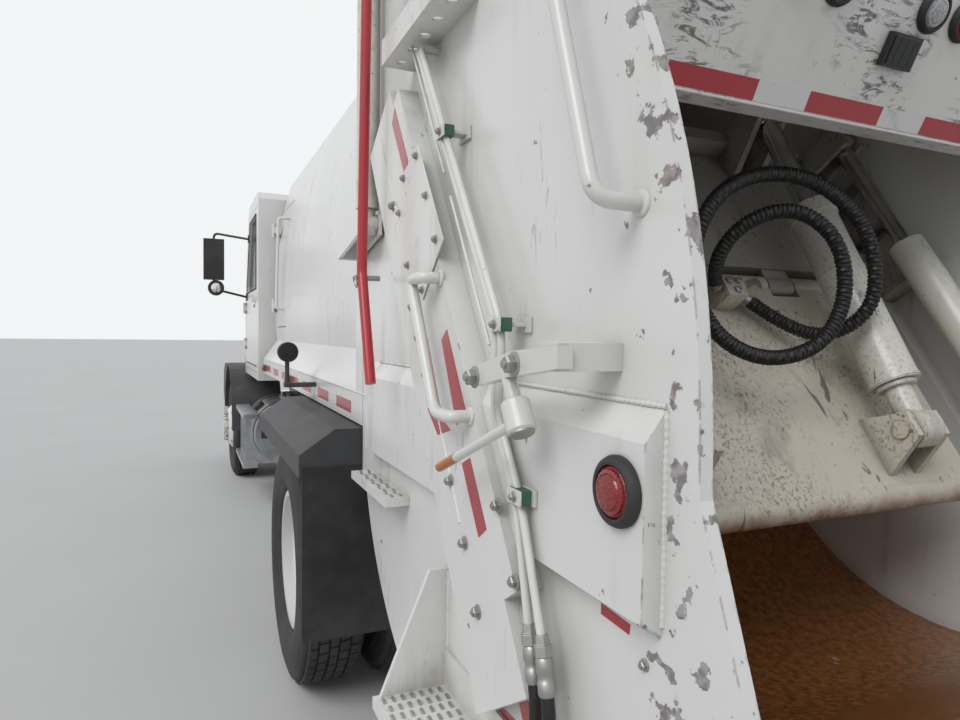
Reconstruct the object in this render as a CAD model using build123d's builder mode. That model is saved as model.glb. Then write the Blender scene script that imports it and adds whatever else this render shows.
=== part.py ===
from build123d import *
from math import acos, atan2, cos, degrees, hypot, radians, sin, sqrt, tan
import os

os.makedirs("parts", exist_ok=True)

# Rear-loading garbage truck on a two-axle chassis with a bonneted cab.
# Millimetres. +X points forward, +Y to the truck's left, +Z up, and z = 0 is the road.
# The origin is under the middle of the whole truck.

# Reach of the truck before and behind its rear axle
FRONT_REACH = 5700.0
REAR_REACH = 2480.0
WHEELBASE = 4600.0
REAR_AXLE_X = (REAR_REACH - FRONT_REACH) / 2
FRONT_AXLE_X = REAR_AXLE_X + WHEELBASE

# Clearances
RUN_GAP = 0.5
SEAT_GAP = 0.3
SWING_GAP = 8.0
SLIDE_GAP = 6.0

# Tyres and wheels
TYRE_R = 525.0
TYRE_HALF_W = 140.0
BEAD_R = 286.0
RIM_FLANGE_R = 300.0
RIM_HALF_W = 105.0
RIM_T = 9.0
DISC_OFFSET = 168.0
DISC_T = 14.0
HUB_R = 92.0
SPINDLE_R = 45.0
DRUM_R = 205.0
STUD_CIRCLE_R = 142.0
FRONT_TYRE_Y = 1035.0
TWIN_OUTER_Y = 1080.0
TWIN_INNER_Y = 740.0
KINGPIN_Y = 870.0
KINGPIN_R = 20.0

# Ladder frame
RAIL_OUTER_Y = 432.0
RAIL_FLANGE = 90.0
RAIL_T = 10.0
RAIL_TOP = 1060.0
RAIL_DEPTH = 270.0
RAIL_REAR_X = REAR_AXLE_X - 560.0
RAIL_FRONT_X = REAR_AXLE_X + 5535.0
SPRING_Y = 387.0
SPRING_W = 80.0

# Cab
CAB_BACK_X = REAR_AXLE_X + 2950.0
COWL_X = REAR_AXLE_X + 4300.0
CAB_HALF_W = 1045.0
CAB_FLOOR_Z = 1120.0
CAB_ROOF_Z = 2740.0
CAB_WALL = 45.0
WAIST_Z = 1930.0
COWL_Z = 1860.0
DOOR_BACK_X = CAB_BACK_X + 130.0
DOOR_FRONT_X = COWL_X - 120.0
DOOR_SILL_Z = CAB_FLOOR_Z + 60.0
DOOR_TOP_Z = CAB_ROOF_Z - 110.0
DOOR_HINGE_Y = CAB_HALF_W + 18.0
DOOR_HINGE_ZS = (1420.0, 1780.0)
DOOR_PIN_R = 7.0
DOOR_KNUCKLE_R = 14.0
HINGE_HALF_H = 55.0
GLASS_T = 6.0

# Hood, front fenders and bumper
HOOD_FRONT_X = REAR_AXLE_X + 5590.0
HOOD_SKIN = 25.0
FENDER_ARCH_R = 650.0
FENDER_SKIN = 30.0
FENDER_OUTER_Y = 1200.0
FENDER_INNER_Y = 720.0
HOOD_HINGE_X = REAR_AXLE_X + 5610.0
HOOD_HINGE_Z = 850.0
HOOD_PIN_R = 12.0
HOOD_EAR_HALF = 20.0
BUMPER_TOP_Z = 800.0

# Refuse body
BODY_FRONT_X = REAR_AXLE_X + 2850.0
JOINT_X = REAR_AXLE_X - 610.0
BODY_SKIN = 12.0
BODY_FLOOR_Z = 1195.0
RAIL_LOW_Y = 1010.0
BODY_RAIL_TOP_Z = 1316.0
LEDGE_Y = 900.0
LEDGE_Z = 1470.0
SIDE_BULGE_Y = 905.0
EAVE_Y = 790.0
EAVE_Z = 2780.0
CROWN_Z = 2930.0
POST_L = 110.0

# Tailgate
WALL_OUT_Y = 1010.0
WALL_T = 20.0
ARC_X = REAR_AXLE_X - 890.0
ARC_Z = 1370.0
ARC_R = 1500.0
TAIL_TOP_Z = 2930.0
TAIL_FRONT_X = JOINT_X - SWING_GAP
SILL_Z = 930.0
SILL_FLARE_Z = 1085.0
SILL_FRONT_X = REAR_AXLE_X - 2400.0
SILL_BACK_X = REAR_AXLE_X - REAR_REACH
FLOOR_T = 14.0
TAIL_HINGE_X = JOINT_X - 30.0
TAIL_HINGE_Z = 3010.0

# Packer: guide line, carriage and blade, all in the side view
GUIDE_LOW_X = REAR_AXLE_X - 1930.0
GUIDE_LOW_Z = 830.0
GUIDE_HIGH_X = REAR_AXLE_X - 1028.0
GUIDE_HIGH_Z = 2178.0
GUIDE_W = 260.0
GUIDE_POCKET = 46.0
GUIDE_COVER_T = 10.0
BLADE_LENGTH = 840.0
BLADE_HINGE_X = REAR_AXLE_X - 1243.0
BLADE_HINGE_Z = 1718.0
PACK_STROKE = 455.0
BLADE_SWEEP_GAP = 30.0
SWEEP_CYL_Y = 450.0
SWEEP_CYL_R = 75.0
SLIDE_CYL_Y = 850.0
SLIDE_CYL_R = 60.0

GUIDE_DX = GUIDE_HIGH_X - GUIDE_LOW_X
GUIDE_DZ = GUIDE_HIGH_Z - GUIDE_LOW_Z
GUIDE_L = hypot(GUIDE_DX, GUIDE_DZ)
UP_X = GUIDE_DX / GUIDE_L
UP_Z = GUIDE_DZ / GUIDE_L
GUIDE_DEG = degrees(atan2(UP_Z, UP_X))
LOW_HINGE_X = BLADE_HINGE_X - PACK_STROKE * UP_X
LOW_HINGE_Z = BLADE_HINGE_Z - PACK_STROKE * UP_Z
FLOOR_R = BLADE_LENGTH + BLADE_SWEEP_GAP


def side_plane(y):
    """Plane that sees the truck's side: sketch x is X, sketch y is Z, extrusion goes to -Y."""
    return Plane.XZ.offset(-y)


def cross_plane(x):
    """Plane across the truck: sketch x is Y, sketch y is Z, extrusion goes to +X."""
    return Plane.YZ.offset(x)


def level_plane(z):
    """Level plane: sketch x is X, sketch y is Y, extrusion goes up."""
    return Plane.XY.offset(z)


def axle_plane(x, y, z):
    """Plane through a wheel's axis: sketch x is the radius, sketch y runs along the axle."""
    return Plane(origin=(x, y, z), x_dir=(1, 0, 0), z_dir=(0, 0, 1))


def box_at(x0, x1, y0, y1, z0, z1, mode=Mode.ADD):
    """Block between two corners, added to the part being built."""
    with Locations(((x0 + x1) / 2, (y0 + y1) / 2, (z0 + z1) / 2)):
        Box(x1 - x0, y1 - y0, z1 - z0, mode=mode)


def rod_between(start, end, radius, mode=Mode.ADD):
    """Round bar from one point to the other, added to the part being built."""
    line = Vector(*end) - Vector(*start)
    with BuildSketch(Plane(origin=start, z_dir=line.normalized())) as section:
        Circle(radius)
    extrude(section.sketch, amount=line.length, mode=mode)


def bent_bar(points, bend, radius):
    """Round bar that follows straight runs with rounded corners."""
    with BuildLine() as route:
        path = FilletPolyline(*points, radius=bend)
    with BuildSketch(Plane(origin=path @ 0, z_dir=path % 0)) as section:
        Circle(radius)
    sweep(section.sketch, path=route.line)


def side_plate(points, y0, y1, mode=Mode.ADD):
    """Plate with the outline given as (x, z) points, between two widths y0 < y1."""
    with BuildSketch(side_plane(y1)) as outline:
        with BuildLine():
            Polyline(*points, close=True)
        make_face()
    extrude(outline.sketch, amount=y1 - y0, mode=mode)


def along_guide(along, off):
    """Point of the side view: along the guide from the blade's hinge, and off it to the rear."""
    x = BLADE_HINGE_X + along * UP_X - off * UP_Z
    z = BLADE_HINGE_Z + along * UP_Z + off * UP_X
    return x, z


def fixed_hinge(x, y, z, face_y):
    """Fixed half of a door hinge: upright pin with a knuckle at each end, strap forward."""
    rod_between((x, y, z - HINGE_HALF_H), (x, y, z + HINGE_HALF_H), DOOR_PIN_R)
    for low, high in ((z - HINGE_HALF_H, z - HINGE_HALF_H / 2), (z + HINGE_HALF_H / 2, z + HINGE_HALF_H)):
        rod_between((x, y, low), (x, y, high), DOOR_KNUCKLE_R)
        edge_0 = min(y, face_y)
        edge_1 = max(y, face_y)
        box_at(x + 7, x + 45, edge_0, edge_1, low, high)


def swinging_hinge(x, y, z, face_y):
    """Door's half of a hinge: middle knuckle round the pin, strap rearward to the leaf."""
    low = z - HINGE_HALF_H / 2 + 1
    high = z + HINGE_HALF_H / 2 - 1
    rod_between((x, y, low), (x, y, high), DOOR_KNUCKLE_R)
    box_at(x - 50, x - 3, min(y, face_y), max(y, face_y), low, high)
    rod_between((x, y, low - 1), (x, y, high + 1), DOOR_PIN_R + RUN_GAP, Mode.SUBTRACT)


def save(part, name):
    """Labels the finished piece and writes its STEP file."""
    part.label = name
    export_step(part, "parts/" + name + ".step")


def make_tyres(name, x, centres):
    """Tyres side by side on one axle, one solid each."""
    with BuildPart() as tyres:
        for y in centres:
            with BuildSketch(axle_plane(x, y, TYRE_R)):
                with BuildLine():
                    Polyline(
                        (BEAD_R, -RIM_HALF_W + RIM_T),
                        (BEAD_R, RIM_HALF_W - RIM_T),
                        (RIM_FLANGE_R + 2, RIM_HALF_W - RIM_T),
                    )
                    ThreePointArc(
                        (RIM_FLANGE_R + 2, RIM_HALF_W - RIM_T),
                        (400, TYRE_HALF_W),
                        (TYRE_R - 18, TYRE_HALF_W - 22),
                    )
                    Polyline(
                        (TYRE_R - 18, TYRE_HALF_W - 22),
                        (TYRE_R, TYRE_HALF_W - 40),
                        (TYRE_R, -TYRE_HALF_W + 40),
                        (TYRE_R - 18, -TYRE_HALF_W + 22),
                    )
                    ThreePointArc(
                        (TYRE_R - 18, -TYRE_HALF_W + 22),
                        (400, -TYRE_HALF_W),
                        (RIM_FLANGE_R + 2, -RIM_HALF_W + RIM_T),
                    )
                    Line((RIM_FLANGE_R + 2, -RIM_HALF_W + RIM_T), (BEAD_R, -RIM_HALF_W + RIM_T))
                make_face()
            revolve(axis=Axis((x, y, TYRE_R), (0, 1, 0)))
    save(tyres.part, name)


def rim_and_disc(x, y, out):
    """One disc wheel: rim barrel centred at y, disc standing DISC_OFFSET to the out side."""
    face = out * DISC_OFFSET
    root = out * (RIM_HALF_W - 22)
    with BuildSketch(axle_plane(x, y, TYRE_R)) as section:
        with BuildLine():
            Polyline(
                (RIM_FLANGE_R, -RIM_HALF_W),
                (RIM_FLANGE_R, -RIM_HALF_W + RIM_T - SEAT_GAP),
                (BEAD_R - SEAT_GAP, -RIM_HALF_W + RIM_T - SEAT_GAP),
                (BEAD_R - SEAT_GAP, -50),
                (BEAD_R - 30, -30),
                (BEAD_R - 30, 30),
                (BEAD_R - SEAT_GAP, 50),
                (BEAD_R - SEAT_GAP, RIM_HALF_W - RIM_T + SEAT_GAP),
                (RIM_FLANGE_R, RIM_HALF_W - RIM_T + SEAT_GAP),
                (RIM_FLANGE_R, RIM_HALF_W),
                (BEAD_R - RIM_T, RIM_HALF_W),
                (BEAD_R - RIM_T, 54),
                (BEAD_R - 30 - RIM_T, 34),
                (BEAD_R - 30 - RIM_T, -34),
                (BEAD_R - RIM_T, -54),
                (BEAD_R - RIM_T, -RIM_HALF_W),
                close=True,
            )
        make_face()
    revolve(section.sketch, axis=Axis((x, y, TYRE_R), (0, 1, 0)))
    with BuildSketch(axle_plane(x, y, TYRE_R)) as section:
        with BuildLine():
            Polyline(
                (HUB_R - 20, face),
                (STUD_CIRCLE_R + 35, face),
                (BEAD_R - 5, root),
                (BEAD_R - 5, root - out * DISC_T),
                (STUD_CIRCLE_R + 30, face - out * DISC_T),
                (HUB_R - 20, face - out * DISC_T),
                close=True,
            )
        make_face()
    revolve(section.sketch, axis=Axis((x, y, TYRE_R), (0, 1, 0)))
    hand_hole_y = y + out * (DISC_OFFSET - 20)
    with BuildSketch(side_plane(hand_hole_y + 90)) as holes:
        with Locations((x, TYRE_R)):
            with PolarLocations(222, 8):
                Circle(22)
    extrude(holes.sketch, amount=180, mode=Mode.SUBTRACT)


def round_about_axle(x, y0, y1, radius, mode=Mode.ADD):
    """Disc or drum about the axle between two widths."""
    with BuildSketch(side_plane(max(y0, y1))) as section:
        with Locations((x, TYRE_R)):
            Circle(radius)
    extrude(section.sketch, amount=abs(y1 - y0), mode=mode)


def studs(x, y0, y1):
    """Ring of wheel nuts that stand out of the disc."""
    with BuildSketch(side_plane(max(y0, y1))) as section:
        with Locations((x, TYRE_R)):
            with PolarLocations(STUD_CIRCLE_R, 10):
                RegularPolygon(17, 6)
    extrude(section.sketch, amount=abs(y1 - y0))


def make_front_rim(name, side):
    """Front wheel with its hub and brake drum; the disc stands outboard."""
    y = side * FRONT_TYRE_Y
    face = y + side * DISC_OFFSET
    with BuildPart() as rim:
        rim_and_disc(FRONT_AXLE_X, y, side)
        round_about_axle(FRONT_AXLE_X, face - side * 230, face + side * 42, HUB_R)
        round_about_axle(FRONT_AXLE_X, y - side * 62, y + side * 70, DRUM_R)
        studs(FRONT_AXLE_X, face - side * 2, face + side * 30)
        round_about_axle(FRONT_AXLE_X, y - side * 63, y + side * 50, DRUM_R - 18, Mode.SUBTRACT)
        round_about_axle(FRONT_AXLE_X, face - side * 230, face + side * 20, HUB_R - 10)
        round_about_axle(FRONT_AXLE_X, face - side * 231, face + side * 10, SPINDLE_R + RUN_GAP,
                         Mode.SUBTRACT)
    save(rim.part, name)


def make_rear_rims(name, side):
    """Twin rear wheels, back to back on one hub with its brake drum."""
    outer = side * TWIN_OUTER_Y
    inner = side * TWIN_INNER_Y
    mid = side * (TWIN_OUTER_Y + TWIN_INNER_Y) / 2
    with BuildPart() as rims:
        rim_and_disc(REAR_AXLE_X, outer, -side)
        rim_and_disc(REAR_AXLE_X, inner, side)
        round_about_axle(REAR_AXLE_X, mid - side * 90, mid + side * 150, HUB_R)
        round_about_axle(REAR_AXLE_X, inner - side * 62, inner + side * 80, DRUM_R)
        round_about_axle(REAR_AXLE_X, inner - side * 63, inner + side * 60, DRUM_R - 18, Mode.SUBTRACT)
        studs(REAR_AXLE_X, mid, mid + side * 42)
        round_about_axle(REAR_AXLE_X, inner - side * 60, mid + side * 20, HUB_R - 10)
        round_about_axle(REAR_AXLE_X, inner - side * 61, mid + side * 100, SPINDLE_R + RUN_GAP,
                         Mode.SUBTRACT)
    save(rims.part, name)


for side_name, side in (("left", 1), ("right", -1)):
    make_tyres(side_name + "_front_tyre", FRONT_AXLE_X, [side * FRONT_TYRE_Y])
    make_tyres(side_name + "_rear_tyres", REAR_AXLE_X, [side * TWIN_OUTER_Y, side * TWIN_INNER_Y])
    make_front_rim(side_name + "_front_rim", side)
    make_rear_rims(side_name + "_rear_rims", side)


# Steering knuckles
YOKE_HALF_H = 48.0
YOKE_ARM_T = 28.0


def make_knuckle(name, side):
    """Knuckle: two yoke arms round the axle's eye, kingpin, spindle, brake plate and arm."""
    pin_y = side * KINGPIN_Y
    web_y = side * (KINGPIN_Y + 58)
    with BuildPart() as knuckle:
        for sign in (1, -1):
            low = TYRE_R + sign * YOKE_HALF_H
            high = TYRE_R + sign * (YOKE_HALF_H + YOKE_ARM_T)
            box_at(FRONT_AXLE_X - 42, FRONT_AXLE_X + 42, min(pin_y, web_y), max(pin_y, web_y),
                   min(low, high), max(low, high))
            with BuildSketch(level_plane(min(low, high))):
                with Locations((FRONT_AXLE_X, pin_y)):
                    Circle(42)
            extrude(amount=YOKE_ARM_T)
        pin_half = YOKE_HALF_H + YOKE_ARM_T + 8
        with BuildSketch(level_plane(TYRE_R - pin_half)):
            with Locations((FRONT_AXLE_X, pin_y)):
                Circle(KINGPIN_R)
        extrude(amount=2 * pin_half)
        inner_y = side * (KINGPIN_Y + 52)
        outer_y = side * (KINGPIN_Y + 74)
        box_at(FRONT_AXLE_X - 42, FRONT_AXLE_X + 42, min(inner_y, outer_y), max(inner_y, outer_y),
               TYRE_R - YOKE_HALF_H - YOKE_ARM_T, TYRE_R + YOKE_HALF_H + YOKE_ARM_T)
        round_about_axle(FRONT_AXLE_X, outer_y, side * (KINGPIN_Y + 84), DRUM_R - 30)
        round_about_axle(FRONT_AXLE_X, inner_y, side * (FRONT_TYRE_Y + DISC_OFFSET - 5), SPINDLE_R)
        arm_out = side * (KINGPIN_Y + 30)
        arm_in = side * (KINGPIN_Y - 30)
        box_at(FRONT_AXLE_X - 230, FRONT_AXLE_X - 30, min(arm_in, arm_out), max(arm_in, arm_out),
               TYRE_R - YOKE_HALF_H - YOKE_ARM_T, TYRE_R - YOKE_HALF_H - 4)
    save(knuckle.part, name)


make_knuckle("left_knuckle", 1)
make_knuckle("right_knuckle", -1)

# Front axle: dropped beam with kingpin eyes, leaf springs clamped on top
BEAM_DROP_Z = 430.0
BEAM_H = 90.0
SPRING_TOP_Z = 700.0
HANGER_REACH = 620.0


def leaf_spring(axle_x, y, seat_z):
    """Pack of leaves as one arched band whose ends reach the hangers under the rail."""
    for leaf, reach in enumerate((HANGER_REACH, 460.0, 300.0)):
        drop = leaf * 14.0
        rise = (SPRING_TOP_Z - seat_z - 60) * (reach / HANGER_REACH) ** 2
        with BuildSketch(side_plane(y + SPRING_W / 2)) as section:
            with BuildLine():
                ThreePointArc(
                    (axle_x - reach, seat_z + 60 + rise - drop),
                    (axle_x, seat_z + 60 - drop),
                    (axle_x + reach, seat_z + 60 + rise - drop),
                )
                Line((axle_x + reach, seat_z + 60 + rise - drop),
                     (axle_x + reach, seat_z + 46 + rise - drop))
                ThreePointArc(
                    (axle_x + reach, seat_z + 46 + rise - drop),
                    (axle_x, seat_z + 46 - drop),
                    (axle_x - reach, seat_z + 46 + rise - drop),
                )
                Line((axle_x - reach, seat_z + 46 + rise - drop),
                     (axle_x - reach, seat_z + 60 + rise - drop))
            make_face()
        extrude(section.sketch, amount=SPRING_W)
    for end in (-1, 1):
        box_at(axle_x + end * (HANGER_REACH - 20) - 30, axle_x + end * (HANGER_REACH - 20) + 30,
               y - SPRING_W / 2, y + SPRING_W / 2, SPRING_TOP_Z - 35, SPRING_TOP_Z)
    box_at(axle_x - 70, axle_x + 70, y - SPRING_W / 2 - 12, y + SPRING_W / 2 + 12,
           seat_z - 5, seat_z + 72)


with BuildPart() as front_axle:
    beam_top = BEAM_DROP_Z + BEAM_H / 2
    with BuildSketch(cross_plane(FRONT_AXLE_X - 45)):
        with BuildLine():
            Polyline(
                (-KINGPIN_Y, TYRE_R + 45), (-KINGPIN_Y + 110, TYRE_R + 45),
                (-KINGPIN_Y + 240, beam_top), (KINGPIN_Y - 240, beam_top),
                (KINGPIN_Y - 110, TYRE_R + 45), (KINGPIN_Y, TYRE_R + 45),
                (KINGPIN_Y, TYRE_R - 45), (KINGPIN_Y - 130, TYRE_R - 45),
                (KINGPIN_Y - 260, beam_top - BEAM_H), (-KINGPIN_Y + 260, beam_top - BEAM_H),
                (-KINGPIN_Y + 130, TYRE_R - 45), (-KINGPIN_Y, TYRE_R - 45),
                close=True,
            )
        make_face()
    extrude(amount=90)
    for side in (1, -1):
        with BuildSketch(level_plane(TYRE_R - 45)):
            with Locations((FRONT_AXLE_X, side * KINGPIN_Y)):
                Circle(45)
        extrude(amount=90)
        with BuildSketch(level_plane(TYRE_R - 50)):
            with Locations((FRONT_AXLE_X, side * KINGPIN_Y)):
                Circle(KINGPIN_R + RUN_GAP)
        extrude(amount=100, mode=Mode.SUBTRACT)
        leaf_spring(FRONT_AXLE_X, side * SPRING_Y, beam_top)
save(front_axle.part, "front_axle")

# Rear axle: banjo housing, springs on top and the drive shaft ahead of it
AXLE_TUBE_R = 72.0
BANJO_R = 215.0
ENGINE_BACK_X = REAR_AXLE_X + 3250.0
SHAFT_R = 48.0
GEARBOX_Z = 785.0

with BuildPart() as rear_axle:
    tube_end = TWIN_INNER_Y - 66
    round_about_axle(REAR_AXLE_X, -tube_end, tube_end, AXLE_TUBE_R)
    spindle_end = (TWIN_OUTER_Y + TWIN_INNER_Y) / 2 + 95
    round_about_axle(REAR_AXLE_X, -spindle_end, spindle_end, SPINDLE_R)
    with BuildSketch(axle_plane(REAR_AXLE_X, 0, TYRE_R)):
        with BuildLine():
            Polyline((0, -230), (AXLE_TUBE_R, -230), (BANJO_R, -110), (BANJO_R, 110),
                     (AXLE_TUBE_R, 230), (0, 230), close=True)
        make_face()
    revolve(axis=Axis((REAR_AXLE_X, 0, TYRE_R), (0, 1, 0)))
    rod_between((REAR_AXLE_X + 100, 0, TYRE_R + 20), (REAR_AXLE_X + 420, 0, TYRE_R + 32), 90)
    rod_between((REAR_AXLE_X + 400, 0, TYRE_R + 32), (ENGINE_BACK_X - 4, 0, GEARBOX_Z), SHAFT_R)
    for side in (1, -1):
        round_about_axle(REAR_AXLE_X, side * (tube_end - 10), side * tube_end, DRUM_R - 30)
        leaf_spring(REAR_AXLE_X, side * SPRING_Y, TYRE_R + AXLE_TUBE_R - 4)
save(rear_axle.part, "rear_axle")

# Ladder frame with cross members, spring hangers and cab mounts
CROSS_XS = (RAIL_REAR_X + 60, REAR_AXLE_X + 900, REAR_AXLE_X + 2000, REAR_AXLE_X + 3000)

with BuildPart() as chassis_frame:
    for side in (1, -1):
        out = side * RAIL_OUTER_Y
        lip = side * (RAIL_OUTER_Y - RAIL_FLANGE)
        web = side * (RAIL_OUTER_Y - RAIL_T)
        box_at(RAIL_REAR_X, RAIL_FRONT_X, min(out, web), max(out, web), RAIL_TOP - RAIL_DEPTH, RAIL_TOP)
        for z in (RAIL_TOP - RAIL_T, RAIL_TOP - RAIL_DEPTH):
            box_at(RAIL_REAR_X, RAIL_FRONT_X, min(out, lip), max(out, lip), z, z + RAIL_T)
        for axle_x in (FRONT_AXLE_X, REAR_AXLE_X):
            for end in (-1, 1):
                x = axle_x + end * (HANGER_REACH - 20)
                box_at(x - 40, x + 40, min(out, lip), max(out, lip), SPRING_TOP_Z, RAIL_TOP - RAIL_DEPTH)
        for x in (CAB_BACK_X + 150, COWL_X - 150):
            box_at(x - 60, x + 60, min(out, lip), max(out, lip), RAIL_TOP, CAB_FLOOR_Z)
    for x in CROSS_XS:
        box_at(x - 40, x + 40, -RAIL_OUTER_Y + 2, RAIL_OUTER_Y - 2,
               RAIL_TOP - 220, RAIL_TOP - 150)
    box_at(RAIL_FRONT_X - 180, RAIL_FRONT_X - 80, -RAIL_OUTER_Y + 2, RAIL_OUTER_Y - 2,
           RAIL_TOP - RAIL_DEPTH, RAIL_TOP)
save(chassis_frame.part, "chassis_frame")

# Bumper with the four screw holes of the number plate in its face
PLATE_HOLE_R = 3.6
PLATE_SPAN_Y = 177.8
PLATE_SPAN_Z = 120.65

with BuildPart() as front_bumper:
    bumper_back = RAIL_FRONT_X
    bumper_front = REAR_AXLE_X + FRONT_REACH
    with BuildSketch(level_plane(BUMPER_TOP_Z - 320)):
        with BuildLine():
            Polyline(
                (bumper_back + 40, -1150), (bumper_back + 40, 1150), (bumper_front - 90, 1190),
                (bumper_front - 10, 1120), (bumper_front, 900), (bumper_front, -900),
                (bumper_front - 10, -1120), (bumper_front - 90, -1190), close=True,
            )
        make_face()
    extrude(amount=320)
    with BuildSketch(level_plane(BUMPER_TOP_Z - 310)):
        with BuildLine():
            Polyline(
                (bumper_back + 30, -1140), (bumper_back + 30, 1140), (bumper_front - 98, 1170),
                (bumper_front - 24, 1105), (bumper_front - 12, 895), (bumper_front - 12, -895),
                (bumper_front - 24, -1105), (bumper_front - 98, -1170), close=True,
            )
        make_face()
    extrude(amount=300, mode=Mode.SUBTRACT)
    with BuildSketch(Plane(origin=(bumper_front - 30, 0, BUMPER_TOP_Z - 160), x_dir=(0, 1, 0),
                           z_dir=(1, 0, 0))):
        with GridLocations(PLATE_SPAN_Y, PLATE_SPAN_Z, 2, 2):
            Circle(PLATE_HOLE_R)
    extrude(amount=40, mode=Mode.SUBTRACT)
    for side in (1, -1):
        bracket_y = side * (RAIL_OUTER_Y - RAIL_FLANGE / 2)
        box_at(bumper_back, bumper_front - 8, bracket_y - 40, bracket_y + 40,
               BUMPER_TOP_Z - 280, BUMPER_TOP_Z - 5)
        box_at(bumper_back - 70, bumper_back, bracket_y - 40, bracket_y + 40,
               BUMPER_TOP_Z - 280, RAIL_TOP - RAIL_DEPTH)
        box_at(HOOD_HINGE_X - 26, HOOD_HINGE_X + 26, bracket_y - HOOD_EAR_HALF,
               bracket_y + HOOD_EAR_HALF, BUMPER_TOP_Z - 10, HOOD_HINGE_Z)
        rod_between((HOOD_HINGE_X, bracket_y - HOOD_EAR_HALF, HOOD_HINGE_Z),
                    (HOOD_HINGE_X, bracket_y + HOOD_EAR_HALF, HOOD_HINGE_Z), 26)
        rod_between((HOOD_HINGE_X, bracket_y - HOOD_EAR_HALF - 22, HOOD_HINGE_Z),
                    (HOOD_HINGE_X, bracket_y + HOOD_EAR_HALF + 22, HOOD_HINGE_Z), HOOD_PIN_R)
save(front_bumper.part, "front_bumper")

# Engine with gearbox and radiator: closed inner masses as plain blocks
with BuildPart() as engine_block:
    box_at(COWL_X + 20, REAR_AXLE_X + 5200, -330, 330, 760, 1480)
    box_at(ENGINE_BACK_X, COWL_X + 40, -230, 230, 730, 1040)
    for x in (REAR_AXLE_X + 4420, REAR_AXLE_X + 5080):
        box_at(x - 60, x + 60, -RAIL_OUTER_Y + 20, RAIL_OUTER_Y - 20, RAIL_TOP, RAIL_TOP + 40)
    box_at(RAIL_FRONT_X - 170, RAIL_FRONT_X - 90, -390, 390, RAIL_TOP, 1500)
    box_at(REAR_AXLE_X + 5190, RAIL_FRONT_X - 160, -200, 200, 1150, 1400)
save(engine_block.part, "engine_block")

# Fuel tank on the left, air tanks and muffler on the right, carried by the rails
TANK_R = 270.0
TANK_Y = 800.0
TANK_Z = 650.0
TANK_X0 = CAB_BACK_X
TANK_X1 = CAB_BACK_X + 900.0

with BuildPart() as side_tanks:
    for side in (1, -1):
        rod_between((TANK_X0, side * TANK_Y, TANK_Z), (TANK_X1, side * TANK_Y, TANK_Z), TANK_R)
        for x in (TANK_X0 + 180, TANK_X1 - 180):
            y0 = side * RAIL_OUTER_Y
            y1 = side * (TANK_Y - TANK_R + 60)
            box_at(x - 30, x + 30, min(y0, y1), max(y0, y1), RAIL_TOP - RAIL_DEPTH, RAIL_TOP - 60)
save(side_tanks.part, "side_tanks")

# Two long ribbed steps under each cab door
STEP_OUT_Y = 1167.0
STEP_W = 120.0
STEP_HEIGHTS = (400.0, 830.0)

with BuildPart() as cab_steps:
    for side in (1, -1):
        for z in STEP_HEIGHTS:
            outer = side * STEP_OUT_Y
            inner = side * (STEP_OUT_Y - STEP_W)
            box_at(TANK_X0 + 10, TANK_X1 - 10, min(outer, inner), max(outer, inner), z - 36, z)
        for x in (TANK_X0 + 180, TANK_X1 - 180):
            inner = side * (TANK_Y + TANK_R - 200)
            outer = side * (STEP_OUT_Y - 30)
            box_at(x - 6, x + 6, min(inner, outer), max(inner, outer),
                   STEP_HEIGHTS[0] - 30, STEP_HEIGHTS[1] - 10)
            with BuildSketch(cross_plane(x - 10)):
                with Locations((side * TANK_Y, TANK_Z)):
                    Circle(TANK_R + SEAT_GAP)
            extrude(amount=20, mode=Mode.SUBTRACT)
save(cab_steps.part, "cab_steps")

# Cab shell: floor, back wall, roof, firewall and pillars round the openings
CAB_OUTLINE = (
    (CAB_BACK_X, CAB_FLOOR_Z), (CAB_BACK_X, CAB_ROOF_Z - 60), (CAB_BACK_X + 60, CAB_ROOF_Z),
    (CAB_BACK_X + 860, CAB_ROOF_Z), (CAB_BACK_X + 980, CAB_ROOF_Z - 70),
    (COWL_X, COWL_Z), (COWL_X, CAB_FLOOR_Z),
)
INNER_OUTLINE = (
    (CAB_BACK_X + CAB_WALL, CAB_FLOOR_Z + CAB_WALL),
    (CAB_BACK_X + CAB_WALL, CAB_ROOF_Z - CAB_WALL - 30),
    (CAB_BACK_X + CAB_WALL + 30, CAB_ROOF_Z - CAB_WALL),
    (CAB_BACK_X + 845, CAB_ROOF_Z - CAB_WALL),
    (CAB_BACK_X + 950, CAB_ROOF_Z - 110),
    (COWL_X - CAB_WALL, COWL_Z - 20), (COWL_X - CAB_WALL, CAB_FLOOR_Z + CAB_WALL),
)
DOOR_OUTLINE = (
    (DOOR_BACK_X, DOOR_SILL_Z), (DOOR_BACK_X, DOOR_TOP_Z), (DOOR_BACK_X + 690, DOOR_TOP_Z),
    (DOOR_FRONT_X, WAIST_Z - 20), (DOOR_FRONT_X, DOOR_SILL_Z),
)


def grown(outline, gap):
    """Outline of (x, z) points moved in from, or out to, by a gap on every side."""
    face = Face(Wire.make_polygon([Vector(x, 0, z) for x, z in outline], close=True))
    moved = offset(face.outer_wire(), amount=gap, kind=Kind.INTERSECTION)
    return [(v.X, v.Z) for v in moved.vertices()]


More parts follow.
